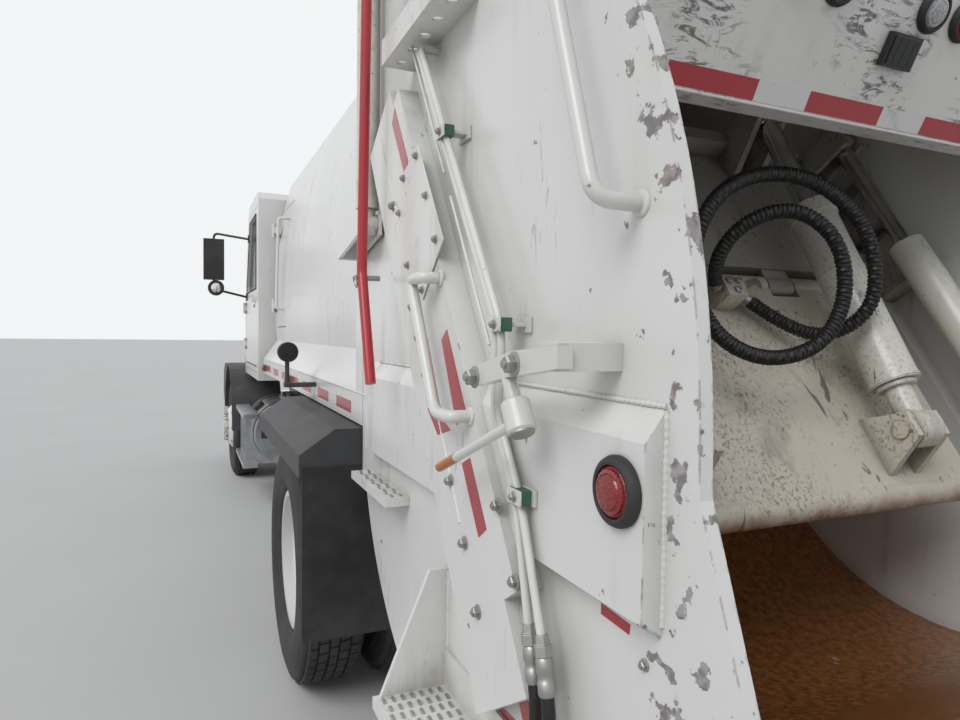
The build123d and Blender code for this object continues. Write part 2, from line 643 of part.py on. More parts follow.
with BuildPart() as cab_shell:
    with BuildSketch(side_plane(CAB_HALF_W)):
        with BuildLine():
            Polyline(*CAB_OUTLINE, close=True)
        make_face()
    extrude(amount=2 * CAB_HALF_W)
    with BuildSketch(side_plane(CAB_HALF_W - CAB_WALL)):
        with BuildLine():
            Polyline(*INNER_OUTLINE, close=True)
        make_face()
    extrude(amount=2 * (CAB_HALF_W - CAB_WALL), mode=Mode.SUBTRACT)
    with BuildSketch(side_plane(CAB_HALF_W + 5)):
        with BuildLine():
            Polyline(*DOOR_OUTLINE, close=True)
        make_face()
    extrude(amount=2 * CAB_HALF_W + 10, mode=Mode.SUBTRACT)
    # Rear window
    box_at(CAB_BACK_X - 5, CAB_BACK_X + CAB_WALL + 5, -620, 620, WAIST_Z + 30, CAB_ROOF_Z - 180,
           Mode.SUBTRACT)
    # Windscreen opening, cut square to the sloping pillar line
    slope_x = COWL_X - (CAB_BACK_X + 980)
    slope_z = (CAB_ROOF_Z - 70) - COWL_Z
    slope_l = hypot(slope_x, slope_z)
    screen_plane = Plane(
        origin=(COWL_X - slope_x / 2, 0, COWL_Z + slope_z / 2),
        x_dir=(0, 1, 0),
        z_dir=(slope_z / slope_l, 0, slope_x / slope_l),
    )
    with BuildSketch(screen_plane.offset(-120)):
        Rectangle(2 * (CAB_HALF_W - 110), slope_l - 130)
    extrude(amount=240, mode=Mode.SUBTRACT)
    for side in (1, -1):
        for z in DOOR_HINGE_ZS:
            fixed_hinge(DOOR_FRONT_X, side * DOOR_HINGE_Y, z, side * (CAB_HALF_W - 5))
save(cab_shell.part, "cab_shell")

with BuildPart() as cab_glass:
    with BuildSketch(screen_plane.offset(-30)):
        Rectangle(2 * (CAB_HALF_W - 110) - 2 * SEAT_GAP, slope_l - 130 - 2 * SEAT_GAP)
    extrude(amount=GLASS_T)
    box_at(CAB_BACK_X + 20, CAB_BACK_X + 20 + GLASS_T, -620 + SEAT_GAP, 620 - SEAT_GAP,
           WAIST_Z + 30 + SEAT_GAP, CAB_ROOF_Z - 180 - SEAT_GAP)
save(cab_glass.part, "cab_glass")

# Cab seats: closed cushions on pedestals
SEAT_YS = (520.0, -520.0)
SEAT_X = CAB_BACK_X + 330.0
CUSHION_Z = CAB_FLOOR_Z + CAB_WALL + 330.0

with BuildPart() as cab_seats:
    for y in SEAT_YS:
        box_at(SEAT_X - 160, SEAT_X + 200, y - 180, y + 180, CAB_FLOOR_Z + CAB_WALL, CUSHION_Z)
        box_at(SEAT_X - 220, SEAT_X + 270, y - 250, y + 250, CUSHION_Z, CUSHION_Z + 130)
        side_plate(
            ((SEAT_X - 220, CUSHION_Z + 100), (SEAT_X - 90, CUSHION_Z + 100),
             (SEAT_X - 150, CUSHION_Z + 800), (SEAT_X - 260, CUSHION_Z + 800)),
            y - 240, y + 240,
        )
save(cab_seats.part, "cab_seats")

# Dashboard with steering column and wheel, standing on the floor and firewall
DASH_X = COWL_X - CAB_WALL
WHEEL_TILT = 35.0

with BuildPart() as dashboard:
    side_plate(
        ((DASH_X, CAB_FLOOR_Z + 330), (DASH_X, COWL_Z - 40), (DASH_X - 90, COWL_Z - 30),
         (DASH_X - 270, COWL_Z - 110), (DASH_X - 250, CAB_FLOOR_Z + 420)),
        -CAB_HALF_W + CAB_WALL + SLIDE_GAP, CAB_HALF_W - CAB_WALL - SLIDE_GAP,
    )
    column_foot = (DASH_X - 160, SEAT_YS[0], COWL_Z - 260)
    wheel_centre = (DASH_X - 430, SEAT_YS[0], COWL_Z - 40)
    rod_between(column_foot, wheel_centre, 32)
    column_dir = (Vector(*wheel_centre) - Vector(*column_foot)).normalized()
    with BuildSketch(Plane(origin=wheel_centre, z_dir=column_dir)):
        Circle(225)
        Circle(195, mode=Mode.SUBTRACT)
        Rectangle(400, 40)
        Circle(60)
    extrude(amount=26)
save(dashboard.part, "dashboard")


# Cab doors with window, glass and mirror
MIRROR_REACH = 315.0
MIRROR_LOW_Z = 2050.0
MIRROR_HIGH_Z = 2450.0


def make_door(side_name, side):
    """Door leaf as thick as the cab wall, its window glass, and its mirror on arms."""
    outer = CAB_HALF_W
    inner = CAB_HALF_W - CAB_WALL
    leaf = grown(DOOR_OUTLINE, -SLIDE_GAP)
    window = (
        (DOOR_BACK_X + 70, WAIST_Z), (DOOR_BACK_X + 70, DOOR_TOP_Z - 60),
        (DOOR_BACK_X + 650, DOOR_TOP_Z - 60), (DOOR_FRONT_X - 130, WAIST_Z + 60),
        (DOOR_FRONT_X - 130, WAIST_Z),
    )
    y0 = min(side * outer, side * inner)
    y1 = max(side * outer, side * inner)
    with BuildPart() as door:
        side_plate(leaf, y0, y1)
        side_plate(window, y0 - 5, y1 + 5, Mode.SUBTRACT)
        handle_y0 = min(side * outer, side * (outer + 38))
        handle_y1 = max(side * outer, side * (outer + 38))
        box_at(DOOR_BACK_X + 70, DOOR_BACK_X + 230, handle_y0, handle_y1, WAIST_Z - 120, WAIST_Z - 85)
        for z in DOOR_HINGE_ZS:
            swinging_hinge(DOOR_FRONT_X, side * DOOR_HINGE_Y, z, side * (outer - 5))
    save(door.part, side_name + "_door")
    pane = grown(window, -SEAT_GAP)
    mid = side * (outer + inner) / 2
    with BuildPart() as glass:
        side_plate(pane, mid - GLASS_T / 2, mid + GLASS_T / 2)
    save(glass.part, side_name + "_door_glass")
    face = side * (outer + SEAT_GAP)
    mirror_x = DOOR_FRONT_X - 100
    back_x = mirror_x - 243
    arm_y = side * (CAB_HALF_W + MIRROR_REACH)
    pad_y0 = min(face, face + side * 14)
    pad_y1 = max(face, face + side * 14)
    root = face + side * 8
    with BuildPart() as mirror:
        box_at(mirror_x - 45, mirror_x + 30, pad_y0, pad_y1, MIRROR_LOW_Z - 195, MIRROR_LOW_Z - 125)
        box_at(back_x - 25, back_x + 25, pad_y0, pad_y1, MIRROR_HIGH_Z - 45, MIRROR_HIGH_Z + 25)
        bent_bar(
            [(mirror_x, root, MIRROR_LOW_Z - 160), (mirror_x, arm_y, MIRROR_LOW_Z - 90),
             (mirror_x, arm_y, MIRROR_HIGH_Z + 60), (back_x, root, MIRROR_HIGH_Z - 10)],
            40, 11,
        )
        box_at(mirror_x - 45, mirror_x + 25, arm_y - 95, arm_y + 95, MIRROR_LOW_Z, MIRROR_HIGH_Z)
        rod_between((mirror_x - 45, arm_y - side * 20, MIRROR_LOW_Z - 80),
                    (mirror_x + 20, arm_y - side * 20, MIRROR_LOW_Z - 80), 75)
    save(mirror.part, side_name + "_mirror")


for side_name, side in (("left", 1), ("right", -1)):
    make_door(side_name, side)


# Front fenders: an arch over each wheel and a block ahead of it that holds the headlamp.
# What lies behind the cowl's plane stays on the cab, the rest tilts with the hood.
FENDER_TOP_Z = TYRE_R + FENDER_ARCH_R + FENDER_SKIN
FENDER_LOW_Z = 560.0
FENDER_NOSE_X = REAR_AXLE_X + 5530.0
FENDER_NOSE_Z = 830.0
HOOD_BACK_X = COWL_X + SWING_GAP
LAMP_W = 210.0
LAMP_H = 150.0
LAMP_Z = 960.0
LAMP_BACK_X = FENDER_NOSE_X - 120.0
LAMP_FACE_X = FENDER_NOSE_X - 45.0
LAMP_Y = 1065.0


def span(a, b):
    """The two values in rising order, for a range given from the truck's middle outward."""
    return min(a, b), max(a, b)


def fender_sketch(y, gap):
    """Side outline of a front fender, grown outward by a gap, before its wheel arch is cut."""
    outer_r = FENDER_ARCH_R + FENDER_SKIN + gap
    low_x = FRONT_AXLE_X - sqrt(outer_r**2 - (TYRE_R - FENDER_LOW_Z) ** 2)
    shoulder = outer_r * cos(radians(45))
    with BuildSketch(side_plane(y)) as outline:
        with BuildLine():
            ThreePointArc(
                (low_x, FENDER_LOW_Z), (FRONT_AXLE_X - shoulder, TYRE_R + shoulder),
                (FRONT_AXLE_X, TYRE_R + outer_r),
            )
            Polyline(
                (FRONT_AXLE_X, TYRE_R + outer_r), (FRONT_AXLE_X + 650, FENDER_TOP_Z - 35 + gap),
                (FRONT_AXLE_X + 850, FENDER_TOP_Z - 125 + gap), (FENDER_NOSE_X + gap, FENDER_NOSE_Z),
                (FRONT_AXLE_X + 580, FENDER_NOSE_Z - 190), (FRONT_AXLE_X - 640, FENDER_LOW_Z),
                (low_x, FENDER_LOW_Z),
            )
        make_face()
    return outline.sketch


def whole_fenders():
    """Both fenders with their wheel arches, added to the part being built."""
    extrude(fender_sketch(FENDER_OUTER_Y, 0), amount=2 * FENDER_OUTER_Y)
    box_at(FRONT_AXLE_X - 900, FRONT_AXLE_X + 1000, -FENDER_INNER_Y, FENDER_INNER_Y, 400, 1300,
           Mode.SUBTRACT)
    round_about_axle(FRONT_AXLE_X, -FENDER_OUTER_Y - 5, FENDER_OUTER_Y + 5, FENDER_ARCH_R,
                     Mode.SUBTRACT)


with BuildPart() as front_fenders:
    whole_fenders()
    box_at(FRONT_AXLE_X - 900, HOOD_BACK_X, -FENDER_OUTER_Y - 5, FENDER_OUTER_Y + 5, 400, 1300,
           Mode.SUBTRACT)
    for side in (1, -1):
        box_at(LAMP_BACK_X, FENDER_NOSE_X + 10, side * LAMP_Y - LAMP_W / 2,
               side * LAMP_Y + LAMP_W / 2, LAMP_Z - LAMP_H / 2, LAMP_Z + LAMP_H / 2, Mode.SUBTRACT)
save(front_fenders.part, "front_fenders")

with BuildPart() as wheel_arch_panels:
    whole_fenders()
    box_at(COWL_X, FRONT_AXLE_X + 1000, -FENDER_OUTER_Y - 5, FENDER_OUTER_Y + 5, 400, 1300,
           Mode.SUBTRACT)
    box_at(CAB_BACK_X, COWL_X + 5, -CAB_HALF_W - SEAT_GAP, CAB_HALF_W + SEAT_GAP,
           CAB_FLOOR_Z - SEAT_GAP, 1300, Mode.SUBTRACT)
    for side in (1, -1):
        y0, y1 = span(side * FENDER_INNER_Y, side * (CAB_HALF_W - 20))
        box_at(COWL_X - 60, COWL_X, y0, y1, CAB_FLOOR_Z - 60, CAB_FLOOR_Z - SEAT_GAP)
save(wheel_arch_panels.part, "wheel_arch_panels")

with BuildPart() as headlamps:
    for side in (1, -1):
        box_at(LAMP_BACK_X + SEAT_GAP, LAMP_FACE_X,
               side * LAMP_Y - LAMP_W / 2 + SEAT_GAP, side * LAMP_Y + LAMP_W / 2 - SEAT_GAP,
               LAMP_Z - LAMP_H / 2 + SEAT_GAP, LAMP_Z + LAMP_H / 2 - SEAT_GAP)
save(headlamps.part, "headlamps")

# Hood: skin lofted from the cowl to the grille, open below, in front and at the cowl
HOOD_SECTIONS = (
    # x, lower half width, low z, shoulder half width, shoulder z, top half width, top z
    (HOOD_BACK_X, 1040.0, 1100.0, 1000.0, 1480.0, 780.0, 1845.0),
    (REAR_AXLE_X + 5000.0, 900.0, 1060.0, 860.0, 1400.0, 650.0, 1740.0),
    (HOOD_FRONT_X, 640.0, 900.0, 620.0, 1330.0, 480.0, 1560.0),
)
GRILLE_T = 40.0
GRILLE_SLOTS = 8
GRILLE_SLOT_H = 42.0


def hood_section(row, inset):
    """Cross section of the hood at one station; the inner one runs on below to cut it open."""
    x, low_w, low_z, mid_w, mid_z, top_w, top_z = row
    bottom = low_z - (50 if inset else 0)
    with BuildSketch(cross_plane(x)) as section:
        with BuildLine():
            Polyline(
                (-low_w + inset, bottom), (-mid_w + inset, mid_z - inset / 2),
                (-top_w + inset / 2, top_z - inset), (top_w - inset / 2, top_z - inset),
                (mid_w - inset, mid_z - inset / 2), (low_w - inset, bottom), close=True,
            )
        make_face()
    return section.sketch


with BuildPart() as hood_panel:
    for first, second in zip(HOOD_SECTIONS[:-1], HOOD_SECTIONS[1:]):
        loft([hood_section(first, 0).face(), hood_section(second, 0).face()], ruled=True)
    for first, second in zip(HOOD_SECTIONS[:-1], HOOD_SECTIONS[1:]):
        loft([hood_section(first, HOOD_SKIN).face(), hood_section(second, HOOD_SKIN).face()],
             ruled=True, mode=Mode.SUBTRACT)
    for side in (1, -1):
        start_y = FENDER_OUTER_Y if side > 0 else -FENDER_INNER_Y + 5
        extrude(fender_sketch(start_y, SEAT_GAP), amount=FENDER_OUTER_Y - FENDER_INNER_Y + 5,
                mode=Mode.SUBTRACT)
save(hood_panel.part, "hood_panel")

with BuildPart() as grille:
    nose = HOOD_SECTIONS[-1]
    extrude(hood_section(nose, HOOD_SKIN + SEAT_GAP), amount=-GRILLE_T)
    box_at(HOOD_FRONT_X - GRILLE_T - 5, HOOD_FRONT_X + 5, -700, 700, nose[2] - 60, nose[2] + 60,
           Mode.SUBTRACT)
    slot_low = nose[2] + 100
    slot_pitch = (nose[6] - 80 - slot_low) / GRILLE_SLOTS
    for slot in range(GRILLE_SLOTS):
        z = slot_low + slot * slot_pitch
        reach = nose[3] - 70
        if z + GRILLE_SLOT_H > nose[4] - 20:
            reach = nose[5] - 70 + (nose[6] - z - GRILLE_SLOT_H) * 0.5
        for side in (1, -1):
            y0, y1 = span(side * 18, side * reach)
            box_at(HOOD_FRONT_X - GRILLE_T - 5, HOOD_FRONT_X + 5, y0, y1, z, z + GRILLE_SLOT_H,
                   Mode.SUBTRACT)
    for side in (1, -1):
        for offset_y in (-HOOD_EAR_HALF - 14, HOOD_EAR_HALF + 2):
            y = side * (RAIL_OUTER_Y - RAIL_FLANGE / 2) + offset_y
            side_plate(
                ((HOOD_HINGE_X - 26, HOOD_HINGE_Z), (HOOD_HINGE_X + 22, HOOD_HINGE_Z),
                 (HOOD_FRONT_X, nose[2] + 90), (RAIL_FRONT_X + SLIDE_GAP, nose[2] + 90)),
                y, y + 12,
            )
            rod_between((HOOD_HINGE_X, y, HOOD_HINGE_Z), (HOOD_HINGE_X, y + 12, HOOD_HINGE_Z), 26)
            rod_between((HOOD_HINGE_X, y - 1, HOOD_HINGE_Z), (HOOD_HINGE_X, y + 13, HOOD_HINGE_Z),
                        HOOD_PIN_R + RUN_GAP, Mode.SUBTRACT)
save(grille.part, "grille")

# Rear fenders with a bevelled outer edge, and mud flaps hung behind the wheels
REAR_FENDER_TOP = 1185.0
REAR_FENDER_BACK = REAR_AXLE_X - 600.0
REAR_FENDER_FRONT = REAR_AXLE_X + 740.0
REAR_FENDER_OUT = 1240.0
REAR_FENDER_IN = 570.0
REAR_FENDER_LIP = 1010.0
REAR_FENDER_SKIN = 18.0
BEVEL_W = 130.0
BEVEL_H = 90.0
FLAP_LOW_Z = 405.0
FLAP_T = 10.0

with BuildPart() as rear_fenders:
    for side in (1, -1):
        skin_top = REAR_FENDER_TOP - REAR_FENDER_SKIN
        skin_out = REAR_FENDER_OUT - REAR_FENDER_SKIN
        with BuildSketch(cross_plane(REAR_FENDER_BACK)):
            with BuildLine():
                Polyline(
                    (side * REAR_FENDER_IN, REAR_FENDER_TOP),
                    (side * (REAR_FENDER_OUT - BEVEL_W), REAR_FENDER_TOP),
                    (side * REAR_FENDER_OUT, REAR_FENDER_TOP - BEVEL_H),
                    (side * REAR_FENDER_OUT, REAR_FENDER_LIP), (side * skin_out, REAR_FENDER_LIP),
                    (side * skin_out, REAR_FENDER_TOP - BEVEL_H - 8),
                    (side * (REAR_FENDER_OUT - BEVEL_W - 8), skin_top),
                    (side * REAR_FENDER_IN, skin_top), close=True,
                )
            make_face()
        extrude(amount=REAR_FENDER_FRONT - REAR_FENDER_BACK)
        for x, low in ((REAR_FENDER_BACK, REAR_FENDER_LIP), (REAR_FENDER_FRONT - REAR_FENDER_SKIN, 960.0)):
            with BuildSketch(cross_plane(x)):
                with BuildLine():
                    Polyline(
                        (side * REAR_FENDER_IN, REAR_FENDER_TOP),
                        (side * (REAR_FENDER_OUT - BEVEL_W), REAR_FENDER_TOP),
                        (side * REAR_FENDER_OUT, REAR_FENDER_TOP - BEVEL_H),
                        (side * REAR_FENDER_OUT, low), (side * REAR_FENDER_IN, low), close=True,
                    )
                make_face()
            extrude(amount=REAR_FENDER_SKIN)
        for x in (REAR_FENDER_BACK + 5, REAR_FENDER_FRONT - 60):
            y0, y1 = span(side * (RAIL_OUTER_Y + SEAT_GAP), side * (REAR_FENDER_IN + 40))
            box_at(x, x + 45, y0, y1, REAR_FENDER_LIP, REAR_FENDER_LIP + 45)
save(rear_fenders.part, "rear_fenders")

with BuildPart() as mud_flaps:
    for side in (1, -1):
        y0, y1 = span(side * (REAR_FENDER_IN + 20), side * (REAR_FENDER_OUT - 10))
        box_at(REAR_FENDER_BACK - FLAP_T - SEAT_GAP, REAR_FENDER_BACK - SEAT_GAP, y0, y1,
               FLAP_LOW_Z, REAR_FENDER_LIP + 40)
save(mud_flaps.part, "mud_flaps")


# Refuse body: curved sides on boxed lower rails, crowned roof, front wall and rear frame
def body_sketch(x, inset):
    """Cross section of the refuse body; the inside is inset by the skin."""
    floor = BODY_FLOOR_Z + inset
    if inset:
        left = [(LEDGE_Y - inset, LEDGE_Z), (LEDGE_Y - inset, floor)]
    else:
        left = [(LEDGE_Y, LEDGE_Z), (RAIL_LOW_Y, BODY_RAIL_TOP_Z), (RAIL_LOW_Y, floor)]
    right = [(-y, z) for y, z in reversed(left)]
    eave = (EAVE_Y - inset, EAVE_Z)
    bulge = (SIDE_BULGE_Y - inset, (LEDGE_Z + EAVE_Z) / 2 + 60)
    with BuildSketch(cross_plane(x)) as section:
        with BuildLine():
            Polyline(*left, *right)
            ThreePointArc(right[-1], (-bulge[0], bulge[1]), (-eave[0], eave[1]))
            ThreePointArc((-eave[0], eave[1]), (0, CROWN_Z - inset), eave)
            ThreePointArc(eave, bulge, left[0])
        make_face()
    return section.sketch


ACCESS_X0 = REAR_AXLE_X + 2230.0
ACCESS_X1 = REAR_AXLE_X + 2740.0
ACCESS_Z0 = 1580.0
ACCESS_Z1 = 2560.0
ACCESS_HINGE_X = ACCESS_X1 - 3.0
ACCESS_HINGE_Y = 945.0
ACCESS_HINGES = ((1760.0, 912.0), (2380.0, 888.0))
WORK_LAMP_X = REAR_AXLE_X + 700.0
WORK_LAMP_Y = 1110.0
WORK_LAMP_Z = 1433.0
WORK_LAMP_R = 60.0
LIFT_X = REAR_AXLE_X - 865.0
LIFT_Y = 1060.0
LIFT_LOW_Z = 1900.0
LIFT_HIGH_Z = 2860.0
LIFT_R = 37.5
LIFT_EYE_R = 34.0
LIFT_EYE_HALF = 26.0
LIFT_PIN_R = 16.0
LIFT_PLATE_T = 12.0
EAR_Y = 610.0
EAR_HALF = 21.0
EAR_PLATE_T = 20.0
EAR_GAP = 4.0
EAR_R = 45.0
HINGE_PIN_R = 20.0

with BuildPart() as refuse_body:
    extrude(body_sketch(JOINT_X, 0), amount=BODY_FRONT_X - JOINT_X)
    box_at(JOINT_X, JOINT_X + POST_L, -WALL_OUT_Y, WALL_OUT_Y, BODY_FLOOR_Z, EAVE_Z + 110)
    extrude(body_sketch(JOINT_X - 5, BODY_SKIN), amount=BODY_FRONT_X - JOINT_X - BODY_SKIN + 5,
            mode=Mode.SUBTRACT)
    box_at(ACCESS_X0, ACCESS_X1, 500, 1100, ACCESS_Z0, ACCESS_Z1, Mode.SUBTRACT)
    for z, skin_y in ACCESS_HINGES:
        fixed_hinge(ACCESS_HINGE_X, ACCESS_HINGE_Y, z, skin_y)
    for side in (1, -1):
        y0, y1 = span(side * (LEDGE_Y + 12), side * (RAIL_LOW_Y - 12))
        box_at(JOINT_X + POST_L, BODY_FRONT_X + 5, y0, y1, BODY_FLOOR_Z + 12, BODY_RAIL_TOP_Z - 14,
               Mode.SUBTRACT)
        y0, y1 = span(side * RAIL_OUTER_Y, side * (RAIL_OUTER_Y - RAIL_FLANGE))
        box_at(JOINT_X + 60, BODY_FRONT_X - 20, y0, y1, RAIL_TOP, BODY_FLOOR_Z)
        # Foot of the lift cylinder: a bracket that reaches back outside the tailgate's wall
        inner_plate = LIFT_Y - LIFT_EYE_HALF - 2 - LIFT_PLATE_T
        outer_plate = LIFT_Y + LIFT_EYE_HALF + 2
        for y in (inner_plate, outer_plate):
            y0, y1 = span(side * y, side * (y + LIFT_PLATE_T))
            side_plate(
                ((JOINT_X + 20, LIFT_LOW_Z - 90), (JOINT_X + 20, LIFT_LOW_Z + 60),
                 (LIFT_X - 36, LIFT_LOW_Z + 30), (LIFT_X - 36, LIFT_LOW_Z - 36)),
                y0, y1,
            )
        y0, y1 = span(side * (WALL_OUT_Y - 2), side * (outer_plate + LIFT_PLATE_T))
        box_at(JOINT_X + 4, JOINT_X + 40, y0, y1, LIFT_LOW_Z - 90, LIFT_LOW_Z + 60)
        pin_half = LIFT_EYE_HALF + 12
        rod_between((LIFT_X, side * LIFT_Y - pin_half, LIFT_LOW_Z),
                    (LIFT_X, side * LIFT_Y + pin_half, LIFT_LOW_Z), LIFT_PIN_R)
        # Tailgate hinge: two plates and a pin on the roof's rear edge
        for y in (side * EAR_Y - EAR_HALF - EAR_GAP - EAR_PLATE_T, side * EAR_Y + EAR_HALF + EAR_GAP):
            side_plate(
                ((TAIL_HINGE_X, TAIL_HINGE_Z + EAR_R), (JOINT_X + 100, TAIL_HINGE_Z + 20),
                 (JOINT_X + 100, EAVE_Z + 90), (JOINT_X + 12, EAVE_Z + 90),
                 (JOINT_X + 12, TAIL_HINGE_Z - 25)),
                y, y + EAR_PLATE_T,
            )
            rod_between((TAIL_HINGE_X, y, TAIL_HINGE_Z), (TAIL_HINGE_X, y + EAR_PLATE_T, TAIL_HINGE_Z),
                        EAR_R)
        pin_half = EAR_HALF + EAR_GAP + EAR_PLATE_T
        rod_between((TAIL_HINGE_X, side * EAR_Y - pin_half, TAIL_HINGE_Z),
                    (TAIL_HINGE_X, side * EAR_Y + pin_half, TAIL_HINGE_Z), HINGE_PIN_R)
save(refuse_body.part, "refuse_body")

with BuildPart() as access_door:
    extrude(body_sketch(ACCESS_X0 + SLIDE_GAP, 0), amount=ACCESS_X1 - ACCESS_X0 - 2 * SLIDE_GAP)
    extrude(body_sketch(ACCESS_X0, BODY_SKIN), amount=ACCESS_X1 - ACCESS_X0, mode=Mode.SUBTRACT)
    with Locations(((ACCESS_X0 + ACCESS_X1) / 2, 1000, (ACCESS_Z0 + ACCESS_Z1) / 2)):
        Box(ACCESS_X1 - ACCESS_X0, 700, ACCESS_Z1 - ACCESS_Z0 - 2 * SLIDE_GAP, mode=Mode.INTERSECT)
    for z, skin_y in ACCESS_HINGES:
        swinging_hinge(ACCESS_HINGE_X, ACCESS_HINGE_Y, z, skin_y)
    bar_x = ACCESS_X0 + 75
    bent_bar(
        [(bar_x, 892, ACCESS_Z0 + 140), (bar_x, 975, ACCESS_Z0 + 140),
         (bar_x, 960, ACCESS_Z1 - 140), (bar_x, 860, ACCESS_Z1 - 140)], 25, 11,
    )
save(access_door.part, "access_door")

with BuildPart() as body_lamps:
    for side in (1, -1):
        rod_between((WORK_LAMP_X - 40, side * WORK_LAMP_Y, WORK_LAMP_Z),
                    (WORK_LAMP_X + 30, side * WORK_LAMP_Y, WORK_LAMP_Z), WORK_LAMP_R)
        rod_between((WORK_LAMP_X, side * WORK_LAMP_Y, WORK_LAMP_Z - WORK_LAMP_R + 5),
                    (WORK_LAMP_X, side * WORK_LAMP_Y, BODY_RAIL_TOP_Z - 30), 12)
        y0, y1 = span(side * (RAIL_LOW_Y + SEAT_GAP), side * (WORK_LAMP_Y + 15))
        box_at(WORK_LAMP_X - 25, WORK_LAMP_X + 25, y0, y1, BODY_RAIL_TOP_Z - 50, BODY_RAIL_TOP_Z - 28)
        y0, y1 = span(side * (RAIL_LOW_Y + SEAT_GAP), side * (RAIL_LOW_Y + 28))
        for x in (BODY_FRONT_X - 160, REAR_AXLE_X + 1300):
            box_at(x - 50, x + 50, y0, y1, BODY_FLOOR_Z + 25, BODY_FLOOR_Z + 70)
save(body_lamps.part, "body_lamps")

# Ejector panel: upright plate on sloping feet that slide on the body's floor
EJECT_X = BODY_FRONT_X - 330.0
EJECT_FOOT = 290.0
EJECT_HALF_W = LEDGE_Y - BODY_SKIN - 45

with BuildPart() as ejector_panel:
    foot_z = BODY_FLOOR_Z + BODY_SKIN + RUN_GAP
    with BuildSketch(cross_plane(EJECT_X - 20)):
        with BuildLine():
            Polyline(
                (-EJECT_HALF_W, foot_z), (-EJECT_HALF_W, 2250), (-EAVE_Y + 60, EAVE_Z - 20),
                (0, CROWN_Z - 90), (EAVE_Y - 60, EAVE_Z - 20), (EJECT_HALF_W, 2250),
                (EJECT_HALF_W, foot_z), close=True,
            )
        make_face()
    extrude(amount=20)
    for y in (-EJECT_HALF_W + 40, 0, EJECT_HALF_W - 40):
        side_plate(
            ((EJECT_X - 1, foot_z), (EJECT_X - 1, 2300), (EJECT_X + EJECT_FOOT, foot_z)),
            y - 8, y + 8,
        )
save(ejector_panel.part, "ejector_panel")

# Tailgate shell
GUIDE_OFF = (BLADE_HINGE_X - GUIDE_LOW_X) * UP_Z + (GUIDE_LOW_Z - BLADE_HINGE_Z) * UP_X
FLANK_A0 = -950.0
FLANK_A1 = 430.0
FLANK_OFF = GUIDE_OFF + 190.0
WALL_IN_Y = WALL_OUT_Y - WALL_T
WALL_BOTTOM_R = FLOOR_R + FLOOR_T + 10
FLANGE_W = 22.0
FLANGE_T = 14.0
WALL_TOP_Z = 2800.0
BEAM_LOW_X = REAR_AXLE_X - 1770.0
BEAM_LOW_Z = 2130.0
BEAM_TOP_Z = 2450.0
SLOT_W = 212.0
SLOT_END = 20.0
LEDGE_BOX_T = 36.0
LEDGE_LOW_Z = 1125.0
LEDGE_HIGH_Z = 1445.0
LEDGE_BACK_X = REAR_AXLE_X - 2325.0
LEDGE_FRONT_X = REAR_AXLE_X - 800.0
SILL_LOW_Z = SILL_Z - 100.0


def arc_x(z, radius):
    """Rear edge of the tailgate at a height, on an arc about the wall's arc centre."""
    return ARC_X - sqrt(radius**2 - (z - ARC_Z) ** 2)


def floor_x(z, radius, sign):
    """X of the hopper's curved bottom at a height, on its front (+1) or rear (-1) side."""
    return LOW_HINGE_X + sign * sqrt(radius**2 - (z - LOW_HINGE_Z) ** 2)


def rear_edge():
    """Points of the tailgate's rear edge below its arc, down to the sill's lower corner."""
    return ((arc_x(ARC_Z, ARC_R), ARC_Z), (arc_x(ARC_Z, ARC_R) - 2, ARC_Z - 40),
            (SILL_BACK_X, SILL_FLARE_Z), (SILL_BACK_X, SILL_LOW_Z))


def slope_foot(radius):
    """Point where the hopper floor's straight rear slope leaves a circle about its centre."""
    reach = hypot(SILL_FRONT_X - LOW_HINGE_X, SILL_Z - LOW_HINGE_Z)
    angle = atan2(SILL_Z - LOW_HINGE_Z, SILL_FRONT_X - LOW_HINGE_X) + acos(FLOOR_R / reach)
    return LOW_HINGE_X + radius * cos(angle), LOW_HINGE_Z + radius * sin(angle)


def slope_point(radius, z):
    """Point at a height on the rear slope, or on its parallel at a larger radius."""
    foot = slope_foot(FLOOR_R)
    start = slope_foot(radius)
    run = (SILL_FRONT_X - foot[0]) / (SILL_Z - foot[1])
    return start[0] + run * (z - start[1]), z


def wall_sketch(y):
    """Outline of a tailgate side wall."""
    top = (arc_x(WALL_TOP_Z, ARC_R), WALL_TOP_Z)
    mid = (arc_x(2250.0, ARC_R), 2250.0)
    low_back = slope_point(WALL_BOTTOM_R, SILL_LOW_Z)
    foot = slope_foot(WALL_BOTTOM_R)
    low_front = (floor_x(1000.0, WALL_BOTTOM_R, 1), 1000.0)
    with BuildSketch(side_plane(y)) as outline:
        with BuildLine():
            Polyline(low_front, (TAIL_FRONT_X, 1000.0), (TAIL_FRONT_X, TAIL_TOP_Z), top)
            ThreePointArc(top, mid, rear_edge()[0])
            Polyline(*rear_edge(), low_back, foot)
            ThreePointArc(foot, (LOW_HINGE_X, LOW_HINGE_Z - WALL_BOTTOM_R), low_front)
        make_face()
    return outline.sketch


def guide_strip(width, trim, y0, y1, mode=Mode.ADD):
    """Block along the guide line, shorter than it by trim at each end, between two widths."""
    mid_x = (GUIDE_LOW_X + GUIDE_HIGH_X) / 2
    mid_z = (GUIDE_LOW_Z + GUIDE_HIGH_Z) / 2
    with BuildSketch(side_plane(max(y0, y1))) as strip:
        with Locations((mid_x, mid_z)):
            Rectangle(GUIDE_L - 2 * trim, width, rotation=GUIDE_DEG)
    extrude(strip.sketch, amount=abs(y1 - y0), mode=mode)


